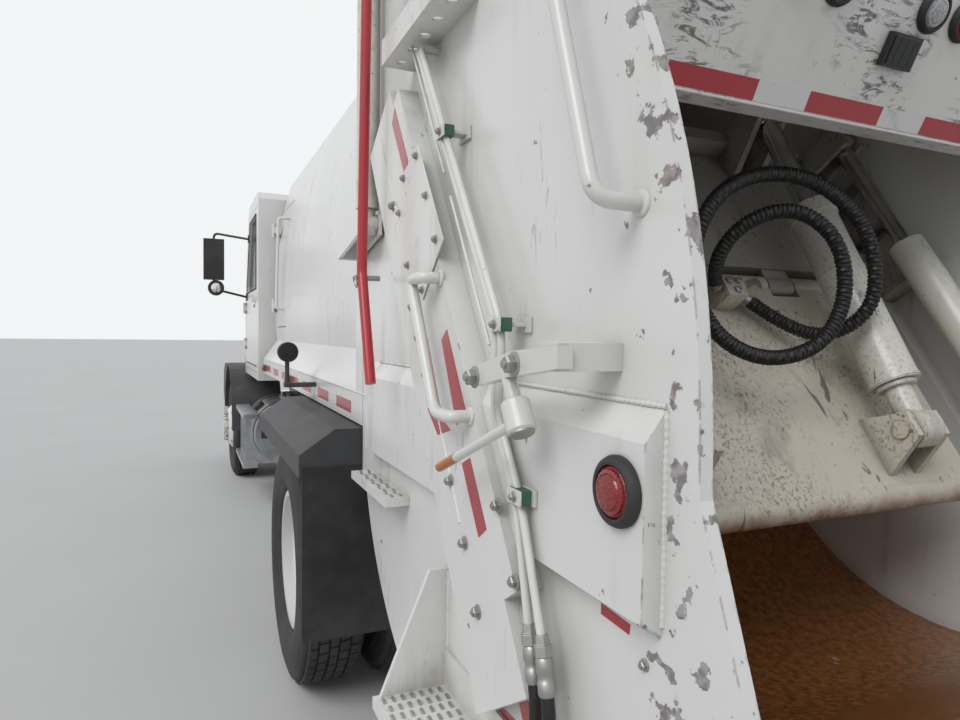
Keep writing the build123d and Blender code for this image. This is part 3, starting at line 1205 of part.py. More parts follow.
def arc_band(z_low, z_high, y0, y1):
    """Curved sheet along the tailgate's rear arc between two heights and two widths."""
    mid = (z_low + z_high) / 2
    inner_r = ARC_R - FLANGE_T
    with BuildSketch(side_plane(y1)) as band:
        with BuildLine():
            ThreePointArc((arc_x(z_low, ARC_R), z_low), (arc_x(mid, ARC_R), mid),
                          (arc_x(z_high, ARC_R), z_high))
            Line((arc_x(z_high, ARC_R), z_high), (arc_x(z_high, inner_r), z_high))
            ThreePointArc((arc_x(z_high, inner_r), z_high), (arc_x(mid, inner_r), mid),
                          (arc_x(z_low, inner_r), z_low))
            Line((arc_x(z_low, inner_r), z_low), (arc_x(z_low, ARC_R), z_low))
        make_face()
    extrude(band.sketch, amount=y1 - y0)


def guide_flank(trim, y0, y1, mode=Mode.ADD):
    """Block beside the guide, behind it, larger all round by a trim."""
    inner = GUIDE_OFF + GUIDE_W / 2 - 2
    side_plate(
        (along_guide(FLANK_A0 - trim, inner), along_guide(FLANK_A1 + trim, inner),
         along_guide(FLANK_A1 + trim, FLANK_OFF + trim), along_guide(FLANK_A0 - trim, FLANK_OFF + trim)),
        y0, y1, mode,
    )


def hopper_floor(y0, y1):
    """Curved hopper floor about the blade's lowest hinge place, with the loading sill."""
    lip_z = BODY_FLOOR_Z
    with BuildSketch(side_plane(y1)) as section:
        with BuildLine():
            Line((SILL_FRONT_X, SILL_Z), slope_foot(FLOOR_R))
            ThreePointArc(slope_foot(FLOOR_R), (LOW_HINGE_X, LOW_HINGE_Z - FLOOR_R),
                          (floor_x(lip_z, FLOOR_R, 1), lip_z))
            Line((floor_x(lip_z, FLOOR_R, 1), lip_z), (floor_x(lip_z, FLOOR_R + FLOOR_T, 1), lip_z))
            ThreePointArc((floor_x(lip_z, FLOOR_R + FLOOR_T, 1), lip_z),
                          (LOW_HINGE_X, LOW_HINGE_Z - FLOOR_R - FLOOR_T),
                          slope_foot(FLOOR_R + FLOOR_T))
            Line(slope_foot(FLOOR_R + FLOOR_T), slope_point(FLOOR_R + FLOOR_T, SILL_Z))
            Line(slope_point(FLOOR_R + FLOOR_T, SILL_Z), (SILL_FRONT_X, SILL_Z))
        make_face()
    extrude(section.sketch, amount=y1 - y0)
    side_plate(
        ((SILL_FRONT_X, SILL_Z), (SILL_BACK_X + 10, SILL_Z),
         (SILL_BACK_X + 10, SILL_LOW_Z), slope_point(FLOOR_R + 6, SILL_LOW_Z)),
        y0, y1,
    )


with BuildPart() as tailgate_shell:
    for side in (1, -1):
        extrude(wall_sketch(max(side * WALL_OUT_Y, side * WALL_IN_Y)), amount=WALL_T)
        y0, y1 = span(side * WALL_OUT_Y, side * (WALL_OUT_Y - FLANGE_W))
        arc_band(ARC_Z, WALL_TOP_Z, y0, y1)
        edge = rear_edge()
        side_plate((edge[0], edge[1], edge[2], (edge[2][0] + 40, edge[2][1]),
                    (edge[1][0] + 16, edge[1][1]), (edge[0][0] + 14, edge[0][1])), y0, y1)
        # Boxed ledge along the outside of the wall, its top sloping outward
        with BuildSketch(cross_plane(LEDGE_BACK_X)):
            with BuildLine():
                Polyline(
                    (side * (WALL_OUT_Y - 2), LEDGE_LOW_Z),
                    (side * (WALL_OUT_Y + LEDGE_BOX_T), LEDGE_LOW_Z + 20),
                    (side * (WALL_OUT_Y + LEDGE_BOX_T), LEDGE_HIGH_Z - 50),
                    (side * (WALL_OUT_Y - 2), LEDGE_HIGH_Z), close=True,
                )
            make_face()
        extrude(amount=LEDGE_FRONT_X - LEDGE_BACK_X)
        guide_strip(GUIDE_W + 2 * SEAT_GAP, -SEAT_GAP, side * WALL_OUT_Y, side * (WALL_OUT_Y + 100),
                    Mode.SUBTRACT)
        y0, y1 = span(side * WALL_OUT_Y, side * (WALL_OUT_Y + 100))
        guide_flank(SEAT_GAP, y0, y1, Mode.SUBTRACT)
        guide_strip(SLOT_W, SLOT_END, side * (WALL_IN_Y - 70), side * (WALL_OUT_Y + 1), Mode.SUBTRACT)
        # Ear for the lift cylinder's eye, webbed at its rear
        inner_plate = LIFT_Y - LIFT_EYE_HALF - 6 - LIFT_PLATE_T
        outer_plate = LIFT_Y + LIFT_EYE_HALF + 6
        for y in (inner_plate, outer_plate):
            y0, y1 = span(side * y, side * (y + LIFT_PLATE_T))
            side_plate(
                ((LIFT_X + 40, LIFT_HIGH_Z - 40), (LIFT_X + 40, LIFT_HIGH_Z + 40),
                 (LIFT_X - 110, LIFT_HIGH_Z + 40), (LIFT_X - 110, LIFT_HIGH_Z - 40)),
                y0, y1,
            )
        y0, y1 = span(side * (WALL_OUT_Y - 2), side * (outer_plate + LIFT_PLATE_T))
        box_at(LIFT_X - 110, LIFT_X - 90, y0, y1, LIFT_HIGH_Z - 40, LIFT_HIGH_Z + 40)
        # Hinge ear on the tailgate's roof
        ear_y0 = side * EAR_Y - EAR_HALF
        ear_y1 = side * EAR_Y + EAR_HALF
        side_plate(
            ((TAIL_HINGE_X - 5, TAIL_HINGE_Z + EAR_R), (TAIL_HINGE_X - 260, TAIL_TOP_Z - 70),
             (TAIL_HINGE_X - 20, TAIL_TOP_Z - 10), (TAIL_HINGE_X + 5, TAIL_HINGE_Z - EAR_R)),
            ear_y0, ear_y1,
        )
        rod_between((TAIL_HINGE_X, ear_y0, TAIL_HINGE_Z), (TAIL_HINGE_X, ear_y1, TAIL_HINGE_Z), EAR_R)
        rod_between((TAIL_HINGE_X, ear_y0 - 1, TAIL_HINGE_Z), (TAIL_HINGE_X, ear_y1 + 1, TAIL_HINGE_Z),
                    HINGE_PIN_R + RUN_GAP, Mode.SUBTRACT)
    # Roof sheet, upper rear skin, and the inclined crossbeam under the skin's lower edge
    side_plate(
        ((TAIL_FRONT_X, TAIL_TOP_Z), (arc_x(WALL_TOP_Z, ARC_R), WALL_TOP_Z),
         (arc_x(WALL_TOP_Z, ARC_R) + 8, WALL_TOP_Z - FLANGE_T), (TAIL_FRONT_X, TAIL_TOP_Z - FLANGE_T)),
        -WALL_IN_Y - 1, WALL_IN_Y + 1,
    )
    arc_band(BEAM_TOP_Z - 2, WALL_TOP_Z, -WALL_IN_Y - 1, WALL_IN_Y + 1)
    side_plate(
        ((BEAM_LOW_X, BEAM_LOW_Z), (arc_x(BEAM_TOP_Z, ARC_R), BEAM_TOP_Z),
         (arc_x(BEAM_TOP_Z, ARC_R) + 30, BEAM_TOP_Z + 20), (BEAM_LOW_X + 70, BEAM_TOP_Z + 20),
         (BEAM_LOW_X + 70, BEAM_LOW_Z)),
        -WALL_IN_Y - 1, WALL_IN_Y + 1,
    )
    box_at(TAIL_FRONT_X - 160, TAIL_FRONT_X - 70, -WALL_IN_Y - 1, WALL_IN_Y + 1, TAIL_TOP_Z - 110,
           TAIL_TOP_Z - 20)
    hopper_floor(-WALL_IN_Y - 1, WALL_IN_Y + 1)
save(tailgate_shell.part, "tailgate_shell")

ANGLE_X0 = REAR_AXLE_X - 1660.0
ANGLE_X1 = REAR_AXLE_X - 1190.0
ANGLE_Z = 2292.0
ANGLE_REACH_Y = 1104.0
ANGLE_HOLES = 5
ANGLE_HOLE_R = 15.0

# Channels over the wall slots, in which the carriage's shoes run, and the angles above them
with BuildPart() as packer_guides:
    for side in (1, -1):
        guide_strip(GUIDE_W, 0, side * (WALL_OUT_Y + SEAT_GAP),
                    side * (WALL_OUT_Y + GUIDE_POCKET + GUIDE_COVER_T))
        y0, y1 = span(side * (WALL_OUT_Y + SEAT_GAP), side * (WALL_OUT_Y + GUIDE_POCKET + GUIDE_COVER_T))
        guide_flank(0, y0, y1)
        guide_strip(SLOT_W, SLOT_END, side * (WALL_OUT_Y - 1), side * (WALL_OUT_Y + GUIDE_POCKET),
                    Mode.SUBTRACT)
        # Drilled angle along the wall above the guide
        y0, y1 = span(side * (WALL_OUT_Y + SEAT_GAP), side * ANGLE_REACH_Y)
        box_at(ANGLE_X0, ANGLE_X1, y0, y1, ANGLE_Z, ANGLE_Z + 8)
        y0, y1 = span(side * (ANGLE_REACH_Y - 8), side * ANGLE_REACH_Y)
        box_at(ANGLE_X0, ANGLE_X1, y0, y1, ANGLE_Z, ANGLE_Z + 70)
        for step in range(ANGLE_HOLES):
            x = ANGLE_X0 + 45 + step * (ANGLE_X1 - ANGLE_X0 - 90) / (ANGLE_HOLES - 1)
            y = side * (WALL_OUT_Y + ANGLE_REACH_Y) / 2
            rod_between((x, y, ANGLE_Z - 1), (x, y, ANGLE_Z + 9), ANGLE_HOLE_R, Mode.SUBTRACT)
save(packer_guides.part, "packer_guides")


# Packer carriage: panel between the walls, shoes in the slots, lugs for both pairs of cylinders
def panel_points(a0, a1, o0, o1):
    """Four corners of a slab laid along the guide line, as (x, z) points."""
    return along_guide(a0, o0), along_guide(a1, o0), along_guide(a1, o1), along_guide(a0, o1)


PANEL_HALF_W = 764.0
PANEL_HALF_T = 45.0
CARRIAGE_TOP_A = 700.0
HINGE_BARREL_R = 46.0
UPPER_PIN = (660.0, 250.0)
BLADE_PIN = (-640.0, 150.0)
PIN_R = 28.0
LUG_T = 25.0
LUG_GAP = 48.0
SHOE_L = 200.0
SHOE_W = SLOT_W - 2 * RUN_GAP
HINGE_STATIONS = (-700.0, -350.0, 0.0, 350.0, 700.0)
STATION_HALF = 60.0
CARRIAGE_ARMS = (
    # arm from, arm to, reach in width, shoe's middle or None
    (62.0, 180.0, 980.0, 90.0),
    (300.0, 440.0, 980.0, 370.0),
    (530.0, 650.0, 912.0, None),
)
SLIDE_OFF = 230.0
SLIDE_EYE_A = 590.0
SLIDE_EYE_HALF = 35.0
SLIDE_EYE_R = 46.0


def lug_pair(side, foot_a0, foot_a1, foot_off, pin):
    """Two plates astride a sweep cylinder's eye, from a panel's rear face out past the pin."""
    for y in (SWEEP_CYL_Y - LUG_GAP - LUG_T, SWEEP_CYL_Y + LUG_GAP):
        y0, y1 = span(side * y, side * (y + LUG_T))
        side_plate(
            (along_guide(foot_a0, foot_off), along_guide(foot_a1, foot_off),
             along_guide(pin[0] + 40, pin[1] + 40), along_guide(pin[0] - 40, pin[1] + 40)),
            y0, y1,
        )


with BuildPart() as packer_carriage:
    side_plate(panel_points(HINGE_BARREL_R + 14, CARRIAGE_TOP_A, -PANEL_HALF_T, PANEL_HALF_T),
               -PANEL_HALF_W, PANEL_HALF_W)
    side_plate(panel_points(CARRIAGE_TOP_A - 60, CARRIAGE_TOP_A, PANEL_HALF_T - 5, 120),
               -PANEL_HALF_W, PANEL_HALF_W)
    for y in HINGE_STATIONS:
        side_plate(panel_points(0, HINGE_BARREL_R + 20, -HINGE_BARREL_R + 2, 40), y - STATION_HALF,
                   y + STATION_HALF)
        rod_between((BLADE_HINGE_X, y - STATION_HALF, BLADE_HINGE_Z),
                    (BLADE_HINGE_X, y + STATION_HALF, BLADE_HINGE_Z), HINGE_BARREL_R)
    rod_between((BLADE_HINGE_X, -PANEL_HALF_W, BLADE_HINGE_Z),
                (BLADE_HINGE_X, PANEL_HALF_W, BLADE_HINGE_Z), PIN_R)
    for side in (1, -1):
        for a0, a1, reach, shoe_a in CARRIAGE_ARMS:
            y0, y1 = span(side * (PANEL_HALF_W - 20), side * reach)
            side_plate(panel_points(a0, a1, -PANEL_HALF_T, 40), y0, y1)
            if shoe_a is not None:
                y0, y1 = span(side * (WALL_IN_Y - 50), side * (WALL_OUT_Y + GUIDE_POCKET - SLIDE_GAP))
                side_plate(
                    panel_points(shoe_a - SHOE_L / 2, shoe_a + SHOE_L / 2, GUIDE_OFF - SHOE_W / 2,
                                 GUIDE_OFF + SHOE_W / 2),
                    y0, y1,
                )
        lug_pair(side, UPPER_PIN[0] - 160, CARRIAGE_TOP_A, PANEL_HALF_T - 5, UPPER_PIN)
        for low in (SLIDE_CYL_Y - SLIDE_EYE_HALF - SEAT_GAP - 22, SLIDE_CYL_Y + SLIDE_EYE_HALF + SEAT_GAP):
            y0, y1 = span(side * low, side * (low + 22))
            side_plate(panel_points(SLIDE_EYE_A - 50, SLIDE_EYE_A + 50, 35, SLIDE_OFF + 50), y0, y1)
save(packer_carriage.part, "packer_carriage")

BLOCK_Y0 = -60.0
BLOCK_Y1 = 20.0
LIP_R = 45.0
LIP_A = -BLADE_LENGTH + LIP_R

with BuildPart() as packer_blade:
    side_plate(
        panel_points(LIP_A, -HINGE_BARREL_R - 14, -PANEL_HALF_T, PANEL_HALF_T - 5),
        -PANEL_HALF_W, PANEL_HALF_W,
    )
    lip_x, lip_z = along_guide(LIP_A, 0)
    rod_between((lip_x, -PANEL_HALF_W, lip_z), (lip_x, PANEL_HALF_W, lip_z), LIP_R)
    for first, second in zip(HINGE_STATIONS[:-1], HINGE_STATIONS[1:]):
        mid = (first + second) / 2
        half = (second - first) / 2 - STATION_HALF - SLIDE_GAP
        side_plate(panel_points(-HINGE_BARREL_R - 20, 0, -HINGE_BARREL_R + 2, 40), mid - half, mid + half)
        rod_between((BLADE_HINGE_X, mid - half, BLADE_HINGE_Z), (BLADE_HINGE_X, mid + half, BLADE_HINGE_Z),
                    HINGE_BARREL_R)
    rod_between((BLADE_HINGE_X, -PANEL_HALF_W - 5, BLADE_HINGE_Z),
                (BLADE_HINGE_X, PANEL_HALF_W + 5, BLADE_HINGE_Z), PIN_R + RUN_GAP, Mode.SUBTRACT)
    for side in (1, -1):
        lug_pair(side, BLADE_PIN[0] - 110, BLADE_PIN[0] + 90, PANEL_HALF_T - 10, BLADE_PIN)
        pin_x, pin_z = along_guide(*BLADE_PIN)
        pin_half = LUG_GAP + LUG_T + 8
        rod_between((pin_x, side * SWEEP_CYL_Y - pin_half, pin_z),
                    (pin_x, side * SWEEP_CYL_Y + pin_half, pin_z), PIN_R)
    side_plate(panel_points(-130, -52, PANEL_HALF_T - 10, 125), BLOCK_Y0, BLOCK_Y1)
save(packer_blade.part, "packer_blade")

# Hose in two hanging loops, out of the manifold block's right side and back into its left
HOSE_R = 12.0
HOSE_ROUTE = (
    # behind the rear axle, width, height
    (-1361.0, -69.6, 1690.0), (-1433.0, -161.0, 1598.0), (-1539.0, -261.0, 1540.0),
    (-1644.0, -336.0, 1621.0), (-1658.0, -337.0, 1776.0), (-1632.0, -280.0, 1926.0),
    (-1611.0, -101.0, 2023.0), (-1587.0, 97.0, 2023.0), (-1598.0, 276.0, 1931.0),
    (-1588.0, 342.0, 1753.0), (-1614.0, 287.0, 1556.0), (-1637.0, 101.0, 1470.0),
    (-1678.0, -85.0, 1516.0), (-1684.0, -177.0, 1668.0), (-1661.0, -159.0, 1845.0),
    (-1607.0, -29.0, 1935.0), (-1546.0, 119.0, 1877.0), (-1455.0, 135.0, 1759.0),
    (-1368.0, 28.4, 1699.0),
)


def bend_radius(points):
    """Largest radius that every corner of a route allows, as 0.45 of its shorter run."""
    radii = []
    for before, corner, after in zip(points[:-2], points[1:-1], points[2:]):
        first = Vector(*corner) - Vector(*before)
        second = Vector(*after) - Vector(*corner)
        turn = radians(first.get_angle(second))
        radii.append(0.45 * min(first.length, second.length) / tan(turn / 2))
    return min(radii)


with BuildPart() as hopper_hose:
    hose_points = [(REAR_AXLE_X + x, y, z) for x, y, z in HOSE_ROUTE]
    hose_bend = bend_radius(hose_points)
    print("hopper_hose bend radius", round(hose_bend, 1), "diameter", 2 * HOSE_R)
    bent_bar(hose_points, hose_bend, HOSE_R)
save(hopper_hose.part, "hopper_hose")

# Sweep cylinders from the blade's pins up to the carriage's lugs
SWEEP_LOW = along_guide(*BLADE_PIN)
SWEEP_HIGH = along_guide(*UPPER_PIN)
SWEEP_L = hypot(SWEEP_HIGH[0] - SWEEP_LOW[0], SWEEP_HIGH[1] - SWEEP_LOW[1])
SWEEP_DX = (SWEEP_HIGH[0] - SWEEP_LOW[0]) / SWEEP_L
SWEEP_DZ = (SWEEP_HIGH[1] - SWEEP_LOW[1]) / SWEEP_L
SWEEP_BARREL_L = 850.0
SWEEP_NECK_L = 150.0
SWEEP_ROD_R = 38.0
SWEEP_EYE_HALF = 40.0
SLIDE_ROD_R = 30.0


def on_line(start, dx, dz, y, distance):
    """Point a distance along a cylinder's line from an (x, z) start."""
    return start[0] + dx * distance, y, start[1] + dz * distance


with BuildPart() as sweep_barrels:
    for side in (1, -1):
        y = side * SWEEP_CYL_Y
        rod_between(on_line(SWEEP_LOW, SWEEP_DX, SWEEP_DZ, y, SWEEP_NECK_L),
                    on_line(SWEEP_LOW, SWEEP_DX, SWEEP_DZ, y, SWEEP_BARREL_L), SWEEP_CYL_R)
        rod_between(on_line(SWEEP_LOW, SWEEP_DX, SWEEP_DZ, y, 45),
                    on_line(SWEEP_LOW, SWEEP_DX, SWEEP_DZ, y, SWEEP_NECK_L), SWEEP_EYE_HALF)
        rod_between((SWEEP_LOW[0], y - SWEEP_EYE_HALF, SWEEP_LOW[1]),
                    (SWEEP_LOW[0], y + SWEEP_EYE_HALF, SWEEP_LOW[1]), 60)
        rod_between(on_line(SWEEP_LOW, SWEEP_DX, SWEEP_DZ, y, SWEEP_NECK_L + 20),
                    on_line(SWEEP_LOW, SWEEP_DX, SWEEP_DZ, y, SWEEP_BARREL_L + 1),
                    SWEEP_ROD_R + RUN_GAP, Mode.SUBTRACT)
        rod_between((SWEEP_LOW[0], y - SWEEP_EYE_HALF - 1, SWEEP_LOW[1]),
                    (SWEEP_LOW[0], y + SWEEP_EYE_HALF + 1, SWEEP_LOW[1]), PIN_R + RUN_GAP,
                    Mode.SUBTRACT)
save(sweep_barrels.part, "sweep_barrels")

with BuildPart() as sweep_rods:
    for side in (1, -1):
        y = side * SWEEP_CYL_Y
        rod_between(on_line(SWEEP_LOW, SWEEP_DX, SWEEP_DZ, y, 560),
                    on_line(SWEEP_LOW, SWEEP_DX, SWEEP_DZ, y, SWEEP_L - 20), SWEEP_ROD_R)
        rod_between((SWEEP_HIGH[0], y - SWEEP_EYE_HALF, SWEEP_HIGH[1]),
                    (SWEEP_HIGH[0], y + SWEEP_EYE_HALF, SWEEP_HIGH[1]), 52)
save(sweep_rods.part, "sweep_rods")

# Slide cylinders along the guide line: barrels on the tailgate's walls, rods on the carriage
SLIDE_BASE_A = -640.0
SLIDE_BARREL_END_A = 60.0
SLIDE_FOOT_R = 30.0

with BuildPart() as slide_barrels:
    for side in (1, -1):
        y = side * SLIDE_CYL_Y
        base = along_guide(SLIDE_BASE_A, SLIDE_OFF)
        length = SLIDE_BARREL_END_A - SLIDE_BASE_A
        rod_between(on_line(base, UP_X, UP_Z, y, 40), on_line(base, UP_X, UP_Z, y, length), SLIDE_CYL_R)
        rod_between((base[0], y - 40, base[1]), (base[0], y + 40, base[1]), 55)
        rod_between(on_line(base, UP_X, UP_Z, y, 75), on_line(base, UP_X, UP_Z, y, length + 1),
                    SLIDE_ROD_R + RUN_GAP, Mode.SUBTRACT)
        y0, y1 = span(side * (WALL_IN_Y - SEAT_GAP), side * (SLIDE_CYL_Y + 30))
        rod_between((base[0], y0, base[1]), (base[0], y1, base[1]), SLIDE_FOOT_R)
save(slide_barrels.part, "slide_barrels")

with BuildPart() as slide_rods:
    for side in (1, -1):
        y = side * SLIDE_CYL_Y
        low = along_guide(SLIDE_BASE_A + 85 + PACK_STROKE, SLIDE_OFF)
        top = along_guide(SLIDE_EYE_A, SLIDE_OFF)
        rod_between((low[0], y, low[1]), (top[0], y, top[1]), SLIDE_ROD_R)
        rod_between((top[0], y - SLIDE_EYE_HALF, top[1]), (top[0], y + SLIDE_EYE_HALF, top[1]),
                    SLIDE_EYE_R)
save(slide_rods.part, "slide_rods")

# Lift cylinders at the joint between body and tailgate
LIFT_BARREL_L = 800.0
LIFT_ROD_R = 22.0

with BuildPart() as lift_barrels:
    for side in (1, -1):
        y = side * LIFT_Y
        rod_between((LIFT_X, y, LIFT_LOW_Z + 50), (LIFT_X, y, LIFT_LOW_Z + LIFT_BARREL_L), LIFT_R)
        rod_between((LIFT_X, y, LIFT_LOW_Z + 20), (LIFT_X, y, LIFT_LOW_Z + 51), LIFT_EYE_HALF)
        rod_between((LIFT_X, y - LIFT_EYE_HALF, LIFT_LOW_Z), (LIFT_X, y + LIFT_EYE_HALF, LIFT_LOW_Z),
                    LIFT_EYE_R)
        rod_between((LIFT_X, y, LIFT_LOW_Z + 70), (LIFT_X, y, LIFT_LOW_Z + LIFT_BARREL_L + 1),
                    LIFT_ROD_R + RUN_GAP, Mode.SUBTRACT)
        rod_between((LIFT_X, y - LIFT_EYE_HALF - 1, LIFT_LOW_Z),
                    (LIFT_X, y + LIFT_EYE_HALF + 1, LIFT_LOW_Z), LIFT_PIN_R + RUN_GAP, Mode.SUBTRACT)
save(lift_barrels.part, "lift_barrels")

with BuildPart() as lift_rods:
    for side in (1, -1):
        y = side * LIFT_Y
        rod_between((LIFT_X, y, LIFT_LOW_Z + 340), (LIFT_X, y, LIFT_HIGH_Z - 20), LIFT_ROD_R)
        rod_between((LIFT_X, y - LIFT_EYE_HALF, LIFT_HIGH_Z), (LIFT_X, y + LIFT_EYE_HALF, LIFT_HIGH_Z),
                    LIFT_EYE_R)
save(lift_rods.part, "lift_rods")

# Safety prop: red bar on a pivot outside the left wall
PROP_X = REAR_AXLE_X - 1160.0
PROP_Z = 2600.0
PROP_Y = 1140.0
PROP_R = 15.0
PROP_PIN_R = 12.0

with BuildPart() as safety_prop:
    rod_between((PROP_X, PROP_Y - 12, PROP_Z), (PROP_X, PROP_Y + 12, PROP_Z), 30)
    bent_bar([(PROP_X, PROP_Y, PROP_Z - 20), (PROP_X + 40, PROP_Y, 1720.0),
              (PROP_X - 70, PROP_Y, 1400.0)], 60, PROP_R)
    rod_between((PROP_X, PROP_Y - 16, PROP_Z), (PROP_X, PROP_Y + 16, PROP_Z), PROP_PIN_R + RUN_GAP,
                Mode.SUBTRACT)
save(safety_prop.part, "safety_prop")

# Fittings on the tailgate's walls: prop pivot, two handles a side, lever arm
BAR_R = 16.0
BAR_Y = 1112.0
ARM_Y = 1118.0
COVER_Y = WALL_OUT_Y + GUIDE_POCKET + GUIDE_COVER_T + SEAT_GAP
WALL_FACE_Y = WALL_OUT_Y + SEAT_GAP

with BuildPart() as grab_rails:
    rod_between((PROP_X, WALL_FACE_Y, PROP_Z), (PROP_X, PROP_Y - 20, PROP_Z), 24)
    rod_between((PROP_X, PROP_Y - 21, PROP_Z), (PROP_X, PROP_Y + 24, PROP_Z), PROP_PIN_R)
    rod_between((PROP_X, PROP_Y + 17, PROP_Z), (PROP_X, PROP_Y + 27, PROP_Z), 22)
    for side in (1, -1):
        bent_bar(
            [(REAR_AXLE_X - 1582, side * COVER_Y, 1671), (REAR_AXLE_X - 1582, side * BAR_Y, 1671),
             (REAR_AXLE_X - 1499, side * BAR_Y, 1671), (REAR_AXLE_X - 1680, side * BAR_Y, 1369),
             (REAR_AXLE_X - 1770, side * BAR_Y, 1369), (REAR_AXLE_X - 1770, side * COVER_Y, 1369)],
            20, 14,
        )
        bent_bar(
            [(REAR_AXLE_X - 2095, side * WALL_FACE_Y, 2200), (REAR_AXLE_X - 2095, side * 1092, 2200),
             (REAR_AXLE_X - 2258, side * 1092, 1732), (REAR_AXLE_X - 2258, side * WALL_FACE_Y, 1732)],
            28, 13,
        )
        # Arm on a block, with a hub under it and its lever
        y0, y1 = span(side * WALL_FACE_Y, side * (ARM_Y + 14))
        box_at(REAR_AXLE_X - 2330, REAR_AXLE_X - 2222, y0, y1, 1496, 1532)
        y0, y1 = span(side * (ARM_Y - 14), side * (ARM_Y + 12))
        side_plate(
            ((REAR_AXLE_X - 2228, 1494), (REAR_AXLE_X - 2228, 1524), (REAR_AXLE_X - 2090, 1514),
             (REAR_AXLE_X - 1925, 1480), (REAR_AXLE_X - 1912, 1463), (REAR_AXLE_X - 1925, 1446),
             (REAR_AXLE_X - 2090, 1474)), y0, y1,
        )
        rod_between((REAR_AXLE_X - 2048, side * ARM_Y, 1480), (REAR_AXLE_X - 2078, side * ARM_Y, 1430), 13)
        rod_between((REAR_AXLE_X - 2077, side * ARM_Y, 1432), (REAR_AXLE_X - 2106, side * ARM_Y, 1384), 25)
        rod_between((REAR_AXLE_X - 2088, side * (ARM_Y + 8), 1396),
                    (REAR_AXLE_X - 1778, side * (ARM_Y + 18), 1268), 9)
save(grab_rails.part, "grab_rails")

# Riding steps at the rear corners, each with a gusset, and a small tread pad further forward
STEP_DECK_Z = 660.0
STEP_X0 = REAR_AXLE_X - 1900.0
STEP_X1 = REAR_AXLE_X - 1500.0

with BuildPart() as riding_steps:
    for side in (1, -1):
        y0, y1 = span(side * WALL_FACE_Y, side * 1200)
        box_at(STEP_X0, STEP_X1, y0, y1, STEP_DECK_Z - 28, STEP_DECK_Z)
        y0, y1 = span(side * WALL_FACE_Y, side * (WALL_FACE_Y + 8))
        box_at(STEP_X0, STEP_X1, y0, y1, STEP_DECK_Z - 10, STEP_DECK_Z + 90)
        with BuildSketch(cross_plane(STEP_X1 - 14)):
            with BuildLine():
                Polyline((side * WALL_FACE_Y, STEP_DECK_Z - 5), (side * 1185, STEP_DECK_Z - 5),
                         (side * 1060, 955), (side * WALL_FACE_Y, 955), close=True)
            make_face()
        extrude(amount=14)
        y0, y1 = span(side * WALL_FACE_Y, side * 1085)
        box_at(REAR_AXLE_X - 1190, REAR_AXLE_X - 760, y0, y1, 1035, 1060)
save(riding_steps.part, "riding_steps")

# Two hydraulic tubes down the left wall behind the guide, their hose ends and clamps
PIPE_R = 8.0
PIPE_Y = 1062.0
PIPE_CLAMPS = (
    # middle of the pair, height, and the face it stands on
    (REAR_AXLE_X - 1586.0, 2005.0, WALL_FACE_Y), (REAR_AXLE_X - 1896.0, 1560.0, WALL_FACE_Y),
    (REAR_AXLE_X - 1990.0, 1252.0, WALL_OUT_Y + LEDGE_BOX_T + SEAT_GAP),
)
PIPE_ROUTES = (
    # x shift at the top and at the lower end
    (0.0, 0.0), (-20.0, -46.0),
)

with BuildPart() as hydraulic_lines:
    for top_shift, end_shift in PIPE_ROUTES:
        top_x = REAR_AXLE_X + top_shift
        end_x = REAR_AXLE_X + end_shift
        bent_bar(
            [(top_x - 1385, WALL_FACE_Y, 2270), (top_x - 1385, PIPE_Y, 2270),
             (top_x - 1890, PIPE_Y, 1550), (top_x - 1878, PIPE_Y, 1385),
             (top_x - 1980, PIPE_Y, 1238), (end_x - 2034, PIPE_Y, 1030)], 20, PIPE_R)
        rod_between((end_x - 2034, PIPE_Y, 1034), (end_x - 2046, PIPE_Y, 986), 14)
        bent_bar([(end_x - 2046, PIPE_Y, 988), (end_x - 2064, PIPE_Y, 915),
                  (end_x - 2064, PIPE_Y, 840), (end_x - 2064, WALL_FACE_Y, 840)], 20, 11)
    for x, z, face_y in PIPE_CLAMPS:
        box_at(x - 34, x + 22, face_y, PIPE_Y + PIPE_R + 5, z - 15, z + 15)
save(hydraulic_lines.part, "hydraulic_lines")

# Tailgate lamps: a row and an oblong on the crossbeam, and one round on each ledge
LAMP_R = 38.0


def beam_plane(y, z):
    """Plane on the crossbeam's sloping face at a width and height, its normal to the rear."""
    beam_x = arc_x(BEAM_TOP_Z, ARC_R) - BEAM_LOW_X
    beam_z = BEAM_TOP_Z - BEAM_LOW_Z
    beam_l = hypot(beam_x, beam_z)
    x = BEAM_LOW_X + beam_x * (z - BEAM_LOW_Z) / beam_z
    face = Plane(origin=(x, y, z), x_dir=(0, 1, 0), z_dir=(-beam_z / beam_l, 0, beam_x / beam_l))
    return face.offset(SEAT_GAP)


with BuildPart() as tailgate_lamps:
    for y in (-300.0, -170.0, 170.0, 300.0):
        with BuildSketch(beam_plane(y, 2395.0)) as disc:
            Circle(LAMP_R)
        extrude(disc.sketch, amount=22)
    with BuildSketch(beam_plane(-105.0, 2300.0)) as oblong:
        Rectangle(110, 80)
    extrude(oblong.sketch, amount=22)
    for side in (1, -1):
        y0, y1 = span(side * (WALL_OUT_Y + LEDGE_BOX_T + SEAT_GAP), side * (WALL_OUT_Y + LEDGE_BOX_T + 16))
        rod_between((REAR_AXLE_X - 2270, y0, 1320), (REAR_AXLE_X - 2270, y1, 1320), LAMP_R)
save(tailgate_lamps.part, "tailgate_lamps")
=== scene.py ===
"""Dressing of a rear-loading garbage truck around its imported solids.

Lengths are metres in the model's own frame: +X forward, +Y left, +Z up, road at z = 0.
"""

import logging
import math
from dataclasses import dataclass
from enum import Enum
from typing import Any, Sequence

import bmesh
import bpy
from mathutils import Matrix, Vector


